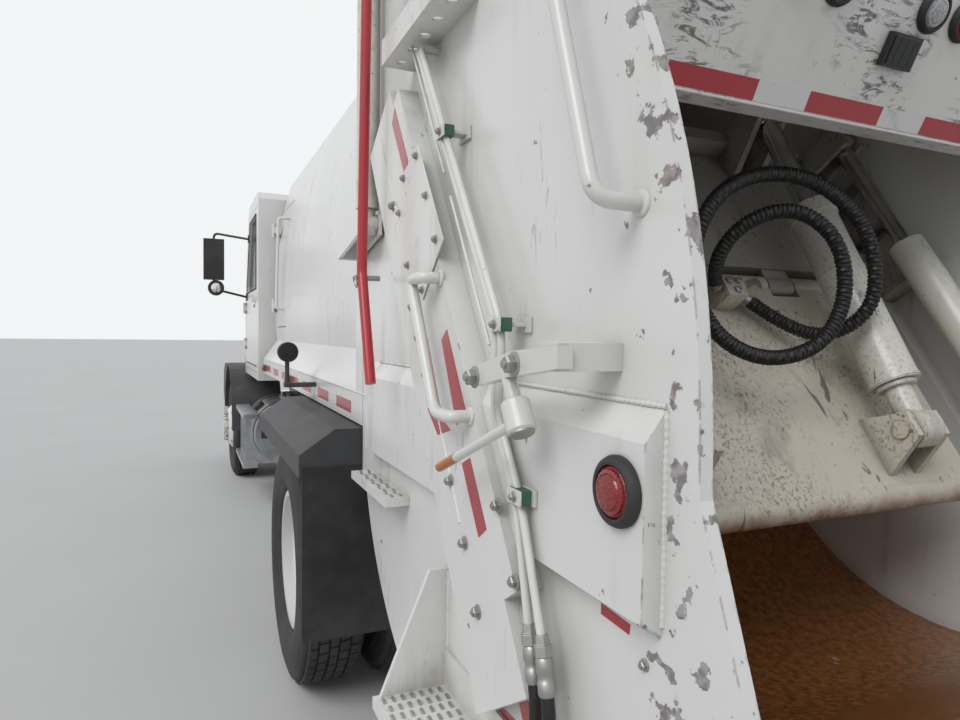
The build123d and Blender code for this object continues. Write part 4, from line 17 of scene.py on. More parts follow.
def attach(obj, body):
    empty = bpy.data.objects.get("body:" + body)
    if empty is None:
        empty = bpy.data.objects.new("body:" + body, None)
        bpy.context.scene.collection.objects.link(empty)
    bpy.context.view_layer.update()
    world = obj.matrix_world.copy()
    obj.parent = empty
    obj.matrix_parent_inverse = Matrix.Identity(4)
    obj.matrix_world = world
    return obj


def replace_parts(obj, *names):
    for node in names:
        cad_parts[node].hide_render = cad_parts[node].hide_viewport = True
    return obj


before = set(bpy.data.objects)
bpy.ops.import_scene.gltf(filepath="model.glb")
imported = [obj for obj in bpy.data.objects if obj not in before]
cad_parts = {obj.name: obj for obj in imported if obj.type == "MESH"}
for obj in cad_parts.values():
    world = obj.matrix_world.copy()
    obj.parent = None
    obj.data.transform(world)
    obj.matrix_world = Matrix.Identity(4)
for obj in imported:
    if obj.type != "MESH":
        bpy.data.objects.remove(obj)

LOG = logging.getLogger("garbage_truck")
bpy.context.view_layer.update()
Point = tuple[float, float, float]
Colour = tuple[float, float, float]
Pairs = tuple[tuple[float, float], ...]
REAR_AXLE_X = -1.61
FRONT_AXLE_X = 2.99
AXLE_Z = 0.525
SIDES = (1, -1)
WALL_Y = 1.0103
COVER_Y = 1.0663
LEDGE_Y = 1.0463
SHARP_ANGLE = math.radians(38)


class Body(str, Enum):
    """Rigid bodies that pieces ride on."""

    CHASSIS = "chassis"
    HOOD = "hood"
    LEFT_DOOR = "left_door"
    RIGHT_DOOR = "right_door"
    LEFT_FRONT_WHEEL = "left_front_wheel"
    RIGHT_FRONT_WHEEL = "right_front_wheel"
    LEFT_REAR_WHEELS = "left_rear_wheels"
    RIGHT_REAR_WHEELS = "right_rear_wheels"
    TAILGATE = "tailgate"
    BLADE = "blade"
    SWEEP_BARRELS = "sweep_barrels"


class Slot(str, Enum):
    """Material slots of the record; each piece is handed one, but its finish comes from Looks."""

    WHITE = "white_paint"
    CYLINDER = "cylinder_paint"
    PLASTIC = "dark_plastic"
    MIRROR = "mirror_black"
    ALUMINIUM = "bright_aluminium"
    TYRE = "tyre_rubber"
    RUBBER = "flap_rubber"
    HOSE = "hose_rubber"
    HEADLAMP = "headlamp_glass"
    AMBER = "amber_lens"
    RED_LENS = "red_lens"
    RAIL = "rail_paint"
    STEEL = "step_steel"
    CHROME = "rod_chrome"
    SEAT = "seat_fabric"


# ---------------------------------------------------------------- finishes


class Graph:
    """A material's node tree with a Principled shader, built by short calls."""

    def __init__(self, name: str) -> None:
        """Starts an empty tree.

        Args:
            name: the material's name.
        """
        self.material = bpy.data.materials.new(name)
        self.material.use_nodes = True
        self.tree = self.material.node_tree
        self.tree.nodes.clear()
        output = self.tree.nodes.new("ShaderNodeOutputMaterial")
        self.shader = self.tree.nodes.new("ShaderNodeBsdfPrincipled")
        self.tree.links.new(self.shader.outputs[0], output.inputs[0])
        self.place = self.tree.nodes.new("ShaderNodeTexCoord").outputs["Object"]

    def feed(self, socket: Any, value: Any) -> None:
        """Links a socket to another, or sets its plain value.

        Args:
            socket: the input to fill.
            value: an output socket, a number or a colour.
        """
        if isinstance(value, bpy.types.NodeSocket):
            self.tree.links.new(value, socket)
        elif isinstance(value, tuple) and len(value) == 3 and socket.type == "RGBA":
            socket.default_value = (*value, 1.0)
        else:
            socket.default_value = value

    def node(self, kind: str, inputs: dict[Any, Any], **settings: Any) -> Any:
        """Adds a node.

        Args:
            kind: Blender's node type without its ShaderNode prefix.
            inputs: values or sockets by input name or number.
            settings: the node's own properties.

        Returns:
            The new node.
        """
        made = self.tree.nodes.new("ShaderNode" + kind)
        for key, value in settings.items():
            setattr(made, key, value)
        for key, value in inputs.items():
            self.feed(made.inputs[key], value)
        return made

    def stretched(self, scale: Point) -> Any:
        """Returns the object's coordinates multiplied by a scale per axis."""
        return self.node("Mapping", {0: self.place, "Scale": scale}).outputs[0]

    def noise(self, scale: float, detail: float = 4.0, rough: float = 0.55,
              stretch: Point | None = None, bend: float = 0.0) -> Any:
        """Adds a noise texture.

        Args:
            scale: waves per metre.
            detail: number of finer layers.
            rough: strength of the finer layers.
            stretch: scale per axis before the noise.
            bend: distortion of the pattern.

        Returns:
            The noise value's socket, about 0.3 to 0.7.
        """
        where = self.stretched(stretch) if stretch else self.place
        inputs = {"Vector": where, "Scale": scale, "Detail": detail, "Roughness": rough,
                  "Distortion": bend}
        return self.node("TexNoise", inputs).outputs[0]

    def cells(self, scale: float, feature: str = "F1") -> Any:
        """Returns the distance socket of a Voronoi pattern with a scale per metre."""
        made = self.node("TexVoronoi", {"Vector": self.place, "Scale": scale}, feature=feature)
        return made.outputs["Distance"]

    def span(self, value: Any, low: float, high: float) -> Any:
        """Returns the value mapped smoothly to 0 at low and 1 at high."""
        inputs = {0: value, 1: low, 2: high, 3: 0.0, 4: 1.0}
        return self.node("MapRange", inputs, interpolation_type="SMOOTHSTEP").outputs[0]

    def calc(self, operation: str, a: Any, b: Any = 0.0, clamp: bool = False) -> Any:
        """Returns the socket of one sum on two values."""
        return self.node("Math", {0: a, 1: b}, operation=operation, use_clamp=clamp).outputs[0]

    def times(self, a: Any, b: Any, clamp: bool = False) -> Any:
        """Returns the product of two values."""
        return self.calc("MULTIPLY", a, b, clamp)

    def plus(self, a: Any, b: Any, clamp: bool = False) -> Any:
        """Returns the sum of two values."""
        return self.calc("ADD", a, b, clamp)

    def mix(self, share: Any, a: Any, b: Any) -> Any:
        """Returns the colour socket between a and b by a share."""
        return self.node("MixRGB", {0: share, 1: a, 2: b}).outputs[0]

    def edges(self, radius: float) -> Any:
        """Returns a mask that is 1 near the mesh's edges, within a radius."""
        soft = self.node("Bevel", {"Radius": radius}, samples=4).outputs[0]
        true = self.node("NewGeometry", {}).outputs["True Normal"]
        dot = self.node("VectorMath", {0: soft, 1: true}, operation="DOT_PRODUCT")
        return self.span(dot.outputs["Value"], 0.98, 0.80)

    def corners(self, distance: float) -> Any:
        """Returns an ambient occlusion mask that is 1 in corners narrower than a distance, where
        shade falls; a colour darkened by it is painted shade.
        """
        made = self.node("AmbientOcclusion", {"Distance": distance}, samples=4)
        return self.span(made.outputs["AO"], 0.85, 0.35)

    def axis(self, letter: str) -> Any:
        """Returns one coordinate of the surface point."""
        return self.node("SeparateXYZ", {0: self.place}).outputs[letter]

    def ring(self, x: float, z: float, low: float, high: float) -> Any:
        """Masks by the distance from an axis along y.

        Args:
            x: the axis's place.
            z: the axis's height.
            low: distance where the mask is 0.
            high: distance where the mask is 1.

        Returns:
            The mask's socket.
        """
        inputs = {0: self.place, 1: (x, 0.0, z)}
        off = self.node("VectorMath", inputs, operation="SUBTRACT").outputs[0]
        inputs = {0: off, 1: (1.0, 0.0, 1.0)}
        scaled = self.node("VectorMath", inputs, operation="MULTIPLY").outputs[0]
        length = self.node("VectorMath", {0: scaled}, operation="LENGTH").outputs["Value"]
        return self.span(length, low, high)

    def bump(self, height: Any, distance: float, strength: float = 1.0) -> None:
        """Gives the shader a bump from a height socket, on top of any before it."""
        normal = self.shader.inputs["Normal"]
        inputs = {"Height": height, "Distance": distance, "Strength": strength}
        if normal.is_linked:
            inputs["Normal"] = normal.links[0].from_socket
        self.feed(normal, self.node("Bump", inputs).outputs[0])

    def finish(self, **sockets: Any) -> bpy.types.Material:
        """Fills the shader's sockets.

        Args:
            sockets: values by input name, with underscores for spaces.

        Returns:
            The finished material.
        """
        for name, value in sockets.items():
            self.feed(self.shader.inputs[name.replace("_", " ")], value)
        return self.material


class Finish:
    """A finish that makes its material once, on first use."""

    made: dict[str, bpy.types.Material] = {}
    name: str

    def build(self) -> bpy.types.Material:
        """Makes the material."""
        raise NotImplementedError

    def material(self) -> bpy.types.Material:
        """Returns the material, built on the first call."""
        if self.name not in Finish.made:
            Finish.made[self.name] = self.build()
        return Finish.made[self.name]


@dataclass(frozen=True)
class Patch:
    """A region of a painted piece, as a band of distance from an axis along y.

    Attributes:
        x: the axis's place.
        z: the axis's height.
        low: distance where the region is 0.
        high: distance where the region is 1.
        half_width: the region ends at this distance from the middle plane.
        top: the region ends at this height.
        inner: the region starts at this distance from the middle plane.
        floor_only: leaves out faces that look down.
    """

    x: float
    z: float
    low: float
    high: float
    half_width: float = 9.0
    top: float = 9.0
    inner: float = -1.0
    floor_only: bool = False

    def mask(self, graph: Graph) -> Any:
        """Returns the region's mask socket in a graph."""
        band = graph.ring(self.x, self.z, self.low, self.high)
        off = graph.calc("ABSOLUTE", graph.axis("Y"))
        wide = graph.span(off, self.half_width + 0.003, self.half_width - 0.003)
        wide = graph.times(wide, graph.span(off, self.inner - 0.01, self.inner + 0.01))
        low = graph.span(graph.axis("Z"), self.top + 0.04, self.top - 0.04)
        if self.floor_only:
            normal = graph.node("TexCoord", {}).outputs["Normal"]
            rise = graph.node("SeparateXYZ", {0: normal}).outputs["Z"]
            low = graph.times(low, graph.span(rise, -0.35, -0.05))
        return graph.times(band, graph.times(wide, low))


@dataclass(frozen=True)
class Paint(Finish):
    """Painted steel with dirty streaks, painted shade darkening its corners, chips to primer, rust
    and scuffs.
    """

    name: str
    colour: Colour
    gloss: float = 0.30
    # The strength and colour below serve both the grime streaks and the painted shade in corners.
    dirt_and_shade: float = 0.35
    chips: float = 0.35
    rust: float = 0.25
    scuffs: float = 0.25
    dirt_and_shade_colour: Colour = (0.17, 0.14, 0.105)
    primer: Colour = (0.36, 0.33, 0.33)
    rust_colour: Colour = (0.19, 0.075, 0.025)
    chipped: Patch | None = None
    rusted: Patch | None = None
    scraped: Patch | None = None
    speckle: float = 0.0
    wet: float = 0.0

    def build(self) -> bpy.types.Material:
        """Makes the paint with its wear, grime and painted shade in corners."""
        g = Graph(self.name)
        tint = g.span(g.noise(1.3, 3.0), 0.3, 0.7)
        base = g.mix(tint, tuple(c * 0.93 for c in self.colour), self.colour)
        # Painted shade: an ambient occlusion mask that darkens corners and seams.
        corner = g.corners(0.09)
        edge = g.edges(0.006)
        cloud = g.noise(2.6, 6.0, 0.62)
        runs = g.span(g.noise(7.0, 5.0, 0.6, (1.0, 1.0, 0.07)), 0.52, 0.72)
        film = g.times(runs, g.span(cloud, 0.42, 0.62))
        # The grime film is the real streaks plus the painted shade of the corner mask, mixed
        # towards one dark colour.
        film = g.plus(g.times(film, 0.55), g.times(corner, 0.75))
        film = g.times(film, self.dirt_and_shade, clamp=True)
        base = g.mix(film, base, self.dirt_and_shade_colour)
        rub = g.noise(26.0, 4.0, 0.7, (1.0, 1.0, 0.22), 1.2)
        scuff = g.times(g.span(rub, 0.60, 0.66), g.span(g.noise(1.9, 2.0), 0.5, 0.62))
        scuff = g.times(scuff, self.scuffs)
        base = g.mix(scuff, base, (0.10, 0.10, 0.105))
        if self.scraped:
            drag = g.noise(34.0, 7.0, 0.72, (1.0, 0.30, 1.0), 1.6)
            areas = g.span(g.noise(2.3, 4.0), 0.42, 0.58)
            drag = g.times(g.span(drag, 0.50, 0.60), areas)
            drag = g.times(drag, self.scraped.mask(g))
            base = g.mix(g.times(drag, 0.85), base, (0.055, 0.045, 0.050))
        if self.speckle:
            fine = g.span(g.noise(75.0, 8.0, 0.75), 0.50, 0.62)
            fine = g.times(fine, g.span(g.noise(3.1, 6.0, 0.65), 0.40, 0.60))
            gouge = g.span(g.noise(9.0, 3.0, 0.5, (0.55, 1.0, 0.35), 0.8), 0.665, 0.69)
            fine = g.calc("MAXIMUM", fine, gouge)
            fine = g.times(fine, self.speckle)
            base = g.mix(fine, base, (0.085, 0.062, 0.045))
        flakes = g.noise(21.0, 5.0, 0.58)
        reach = g.times(edge, 0.16 * self.chips + 0.02)
        if self.chipped:
            reach = g.plus(reach, g.times(self.chipped.mask(g), 0.135))
        level = g.plus(flakes, reach)
        chip = g.span(level, 0.735 - 0.06 * self.chips, 0.745 - 0.06 * self.chips)
        base = g.mix(chip, base, g.mix(g.span(g.noise(60.0), 0.42, 0.6), self.primer,
                                       tuple(c * 0.55 for c in self.primer)))
        bleed = g.times(g.span(level, 0.66, 0.76), g.span(g.noise(5.0, 5.0), 0.45, 0.62))
        bleed = g.times(bleed, self.rust)
        if self.rusted:
            low, high = (0.20, 0.36) if self.wet else (0.36, 0.60)
            stain = g.span(g.noise(9.0, 8.0, 0.68), low, high)
            soaked = self.rusted.mask(g)
            stain = g.times(stain, soaked)
            bleed = g.calc("MAXIMUM", bleed, stain)
        brown = g.mix(g.span(g.noise(38.0, 6.0, 0.7), 0.35, 0.65), self.rust_colour,
                      tuple(min(1.0, c * 2.3) for c in self.rust_colour))
        base = g.mix(bleed, base, brown)
        rough = g.plus(g.times(film, 0.35), self.gloss)
        rough = g.plus(rough, g.times(chip, 0.25))
        rough = g.plus(rough, g.times(bleed, 0.4), clamp=True)
        if self.rusted and self.wet:
            drier = g.calc("SUBTRACT", 1.0, g.times(soaked, self.wet))
            rough = g.times(rough, drier)
        g.bump(g.noise(2.4, 2.0, 0.4), 0.006, 0.5)
        g.bump(g.times(chip, -1.0), 0.0008, 0.8)
        return g.finish(Base_Color=base, Roughness=rough, Coat_Weight=0.15, Coat_Roughness=0.12)


@dataclass(frozen=True)
class Plain(Finish):
    """A moulded, rubber, cast or metal surface with grain, dust and variation."""

    name: str
    colour: Colour
    roughness: float
    metallic: float = 0.0
    grain: float = 300.0
    depth: float = 0.0006
    dust: float = 0.2
    dust_colour: Colour = (0.30, 0.27, 0.23)
    brushed: Point | None = None

    def build(self) -> bpy.types.Material:
        """Makes the surface with its dust and grain."""
        g = Graph(self.name)
        shade = g.span(g.noise(7.0, 5.0), 0.32, 0.68)
        base = g.mix(shade, tuple(c * 0.75 for c in self.colour), self.colour)
        settled = g.span(g.noise(3.4, 7.0, 0.65), 0.40, 0.70)
        settled = g.plus(g.times(settled, 0.7),
                         g.times(g.corners(0.06), 0.6))
        settled = g.times(settled, self.dust, clamp=True)
        base = g.mix(settled, base, self.dust_colour)
        worn = g.times(g.edges(0.004), 0.25)
        base = g.mix(worn, base, tuple(min(1.0, c * 1.8 + 0.03) for c in self.colour))
        rough = g.plus(g.times(settled, 0.4), self.roughness, clamp=True)
        g.bump(g.noise(self.grain, 2.0, 0.6, self.brushed), self.depth, 0.7)
        return g.finish(Base_Color=base, Roughness=rough, Metallic=self.metallic)


@dataclass(frozen=True)
class Glass(Finish):
    """Clear or tinted glass with a dusty film."""

    name: str
    colour: Colour
    alpha: float = 0.30
    film: float = 0.10

    def build(self) -> bpy.types.Material:
        """Makes glass that shows what is behind it."""
        g = Graph(self.name)
        haze = g.span(g.noise(4.0, 6.0, 0.65), 0.40, 0.70)
        haze = g.times(haze, self.film)
        base = g.mix(haze, self.colour, (0.55, 0.53, 0.50))
        alpha = g.plus(haze, self.alpha, clamp=True)
        rough = g.plus(g.times(haze, 1.5), 0.04)
        return g.finish(Base_Color=base, Roughness=rough, Alpha=alpha, IOR=1.5)


@dataclass(frozen=True)
class Lens(Finish):
    """Moulded lamp lens with small prisms."""

    name: str
    colour: Colour
    prisms: float = 260.0

    def build(self) -> bpy.types.Material:
        """Makes the coloured lens."""
        g = Graph(self.name)
        cell = g.cells(self.prisms)
        base = g.mix(g.span(cell, 0.1, 0.6), self.colour, tuple(c * 0.45 for c in self.colour))
        g.bump(cell, 0.0012, 0.6)
        return g.finish(Base_Color=base, Roughness=0.12, Coat_Weight=0.6, Coat_Roughness=0.05)


@dataclass(frozen=True)
class Tape(Finish):
    """Reflective tape with a honeycomb of cells and scuffed edges."""

    name: str
    colour: Colour

    def build(self) -> bpy.types.Material:
        """Makes the tape."""
        g = Graph(self.name)
        cell = g.cells(230.0, "DISTANCE_TO_EDGE")
        line = g.span(cell, 0.10, 0.02)
        base = g.mix(g.times(line, 0.22), self.colour,
                     tuple(c * 0.7 + 0.10 for c in self.colour))
        smear = g.times(g.span(g.noise(8.0, 6.0, 0.7), 0.54, 0.70), 0.35)
        base = g.mix(smear, base, (0.13, 0.11, 0.09))
        g.bump(line, 0.0003, 0.5)
        return g.finish(Base_Color=base, Roughness=0.26, Coat_Weight=0.5, Coat_Roughness=0.10)


WHITE: Colour = (0.78, 0.785, 0.765)


class Looks:
    """All finishes of the truck, by what they cover."""

    CAB = Paint("cab_white", WHITE, dirt_and_shade=0.25, chips=0.05, rust=0.1, scuffs=0.1)
    BODY = Paint("body_white", WHITE, dirt_and_shade=0.5, chips=0.15, rust=0.25, scuffs=0.3)
    SHELL = Paint(
        "tailgate_white", WHITE, dirt_and_shade=0.55, chips=0.45, rust=0.16, scuffs=0.40,
        primer=(0.40, 0.375, 0.385), rust_colour=(0.15, 0.058, 0.018), wet=0.62,
        scraped=Patch(-3.47, 2.33, 0.30, 0.20, 0.986),
        chipped=Patch(-2.5, 1.37, 1.405, 1.46, inner=0.975),
        rusted=Patch(-3.106, 1.340, 0.60, 0.80, 0.9875, 1.02,
                     floor_only=True),
    )
    GUIDES = Paint("guide_white", WHITE, dirt_and_shade=0.6, chips=0.25, rust=0.3, scuffs=0.3)
    CYLINDERS = Paint("cylinder_white", (0.70, 0.69, 0.63), dirt_and_shade=0.8, chips=0.55, rust=0.5,
                      scuffs=0.8, speckle=0.35, primer=(0.06, 0.05, 0.05))
    BLADE = Paint(
        "blade_steel", (0.66, 0.62, 0.53), gloss=0.42, dirt_and_shade=1.0, chips=0.8, rust=0.7, scuffs=1.0,
        dirt_and_shade_colour=(0.13, 0.105, 0.080), speckle=0.75, rust_colour=(0.16, 0.075, 0.025),
        rusted=Patch(-2.853, 1.718, 0.775, 0.885, 9.0, 1.20),
    )
    # Darker steel and heavy, dark grime here also paint the shade inside the hopper, on top of its
    # real grime.
    CARRIAGE = Paint("carriage_steel_painted_shade", (0.44, 0.42, 0.375), dirt_and_shade=1.0, chips=0.6, rust=0.6,
                     scuffs=0.9, dirt_and_shade_colour=(0.075, 0.062, 0.052), speckle=0.6)
    EJECTOR = Paint("ejector_steel", (0.50, 0.48, 0.43), gloss=0.5, dirt_and_shade=1.0, chips=0.9, rust=1.0,
                    scuffs=0.9)
    PROP = Paint("prop_red", (0.48, 0.025, 0.035), dirt_and_shade=0.5, chips=0.7, rust=0.3, scuffs=0.3,
                 primer=(0.24, 0.16, 0.16))
    FRAME = Paint("frame_black", (0.028, 0.028, 0.030), gloss=0.45, dirt_and_shade=0.75, chips=0.25,
                  rust=0.5, dirt_and_shade_colour=(0.13, 0.11, 0.09), primer=(0.11, 0.09, 0.08))
    RAILS = Paint("rail_white", (0.74, 0.74, 0.71), dirt_and_shade=0.5, chips=0.35, rust=0.35, scuffs=0.3)
    PLASTIC = Plain("moulded_grey", (0.045, 0.047, 0.052), 0.55, grain=420.0, dust=0.28)
    DASH = Plain("dash_grey", (0.06, 0.06, 0.065), 0.6, grain=600.0, dust=0.1)
    GLOSS_BLACK = Plain("mirror_black", (0.02, 0.02, 0.022), 0.28, dust=0.12, depth=0.0001)
    RUBBER = Plain("flap_rubber", (0.016, 0.016, 0.018), 0.62, grain=180.0, dust=0.14)
    TYRE = Plain("tyre_rubber", (0.030, 0.030, 0.031), 0.74, grain=220.0, dust=0.35,
                 dust_colour=(0.17, 0.155, 0.135))
    ALUMINIUM = Plain("bright_aluminium", (0.70, 0.71, 0.73), 0.30, 1.0, grain=90.0,
                      depth=0.0003, dust=0.15, brushed=(1.0, 14.0, 14.0))
    CHROME = Plain("chrome", (0.82, 0.83, 0.84), 0.09, 1.0, depth=0.00004, dust=0.04)
    STEEL = Plain("galvanised_steel", (0.42, 0.42, 0.41), 0.42, 0.85, grain=45.0, dust=0.4,
                  dust_colour=(0.22, 0.17, 0.12))
    IRON = Plain("cast_iron", (0.10, 0.10, 0.105), 0.6, 0.6, grain=240.0, dust=0.3)
    HOSE = Plain("hose_rubber", (0.008, 0.008, 0.009), 0.50, grain=260.0, dust=0.05)
    GREEN = Plain("clamp_green", (0.02, 0.13, 0.07), 0.5, grain=300.0, dust=0.2)
    ORANGE = Paint("worn_orange", (0.50, 0.15, 0.02), chips=0.9, rust=0.8, dirt_and_shade=0.8)
    SEAT = Plain("seat_cloth", (0.055, 0.058, 0.066), 0.92, grain=900.0, depth=0.0012, dust=0.12)
    WINDOW = Glass("window_glass", (0.10, 0.12, 0.12), 0.32)
    LAMP_GLASS = Glass("lamp_glass", (0.80, 0.82, 0.84), 0.35, 0.05)
    MIRROR_FACE = Plain("mirror_face", (0.80, 0.82, 0.83), 0.03, 1.0, depth=0.00001, dust=0.03)
    AMBER = Lens("amber_lens", (0.78, 0.22, 0.015))
    RED_LENS = Lens("red_lens", (0.42, 0.008, 0.012))
    CLEAR_LENS = Lens("clear_lens", (0.62, 0.64, 0.66))
    TAPE_RED = Tape("tape_red", (0.43, 0.004, 0.014))
    TAPE_WHITE = Tape("tape_white", (0.74, 0.75, 0.74))
    BLACK_LENS = Plain("dark_lens", (0.012, 0.014, 0.018), 0.10, dust=0.05, depth=0.00002)


# CAD nodes of each finish
NODE_FINISH: tuple[tuple[Finish, str], ...] = (
    (Looks.CAB, "cab_shell left_door right_door hood_panel left_front_rim right_front_rim "
                "left_rear_rims right_rear_rims"),
    (Looks.BODY, "refuse_body access_door"),
    (Looks.SHELL, "tailgate_shell"),
    (Looks.GUIDES, "packer_guides riding_steps"),
    (Looks.CYLINDERS, "sweep_barrels slide_barrels lift_barrels"),
    (Looks.BLADE, "packer_blade"),
    (Looks.CARRIAGE, "packer_carriage"),
    (Looks.EJECTOR, "ejector_panel"),
    (Looks.FRAME, "chassis_frame front_axle rear_axle left_knuckle right_knuckle"),
    (Looks.CHROME, "front_bumper sweep_rods slide_rods lift_rods"),
    (Looks.PLASTIC, "front_fenders rear_fenders wheel_arch_panels grille body_lamps"),
    (Looks.DASH, "dashboard"),
    (Looks.GLOSS_BLACK, "left_mirror right_mirror"),
    (Looks.ALUMINIUM, "side_tanks cab_steps"),
    (Looks.TYRE, "left_front_tyre right_front_tyre left_rear_tyres right_rear_tyres"),
    (Looks.RUBBER, "mud_flaps"),
    (Looks.WINDOW, "cab_glass left_door_glass right_door_glass"),
    (Looks.LAMP_GLASS, "headlamps"),
    (Looks.RED_LENS, "tailgate_lamps"),
    (Looks.PROP, "safety_prop"),
    (Looks.RAILS, "grab_rails hydraulic_lines"),
    (Looks.HOSE, "hopper_hose"),
    (Looks.IRON, "engine_block"),
    (Looks.SEAT, "cab_seats"),
)


def dress_nodes() -> None:
    """Gives every CAD node its finish."""
    missing = set(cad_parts)
    for finish, names in NODE_FINISH:
        for name in names.split():
            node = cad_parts[name]
            node.data.materials.clear()
            node.data.materials.append(finish.material())
            missing.discard(name)
    LOG.info("nodes without finish: %s", sorted(missing))


# ---------------------------------------------------------------- mesh making


def placed(name: str, data: Any) -> Any:
    """Makes an object of some data, links it to the scene and returns it."""
    piece = bpy.data.objects.new(name, data)
    bpy.context.scene.collection.objects.link(piece)
    return piece


def rel(x: float) -> float:
    """Turns a distance ahead of the rear axle into the model's x."""
    return REAR_AXLE_X + x


def rounded(points: Sequence[Point], radius: float, steps: int = 6) -> list[Vector]:
    """Rounds the corners of a route.

    Args:
        points: the route's corners.
        radius: how far from a corner the rounding starts, at most.
        steps: points in each rounding.

    Returns:
        The points of the rounded path.
    """
    path = [Vector(points[0])]
    for before, corner, after in zip(points[:-2], points[1:-1], points[2:]):
        a, c, b = Vector(before), Vector(corner), Vector(after)
        reach = min(radius, 0.45 * (a - c).length, 0.45 * (b - c).length)
        p, q = c + (a - c).normalized() * reach, c + (b - c).normalized() * reach
        for k in range(steps + 1):
            t = k / steps
            path.append(p * (1 - t) ** 2 + c * 2 * t * (1 - t) + q * t ** 2)
    return path + [Vector(points[-1])]


def collars(path: Sequence[Vector], radii: Sequence[Sequence[float]]) -> list[list[Vector]]:
    """Carries rings along a path without twist.

    Args:
        path: points of the path.
        radii: for each point, the ring's radii.

    Returns:
        One ring of points for each point of the path.
    """
    side = (path[1] - path[0]).orthogonal().normalized()
    rings = []
    for k, here in enumerate(path):
        ahead = (path[min(k + 1, len(path) - 1)] - path[max(k - 1, 0)]).normalized()
        side = (side - ahead * side.dot(ahead)).normalized()
        other = ahead.cross(side)
        turn = 2 * math.pi / len(radii[k])
        rings.append([here + (side * math.cos(turn * j) + other * math.sin(turn * j)) * r
                      for j, r in enumerate(radii[k])])
    return rings


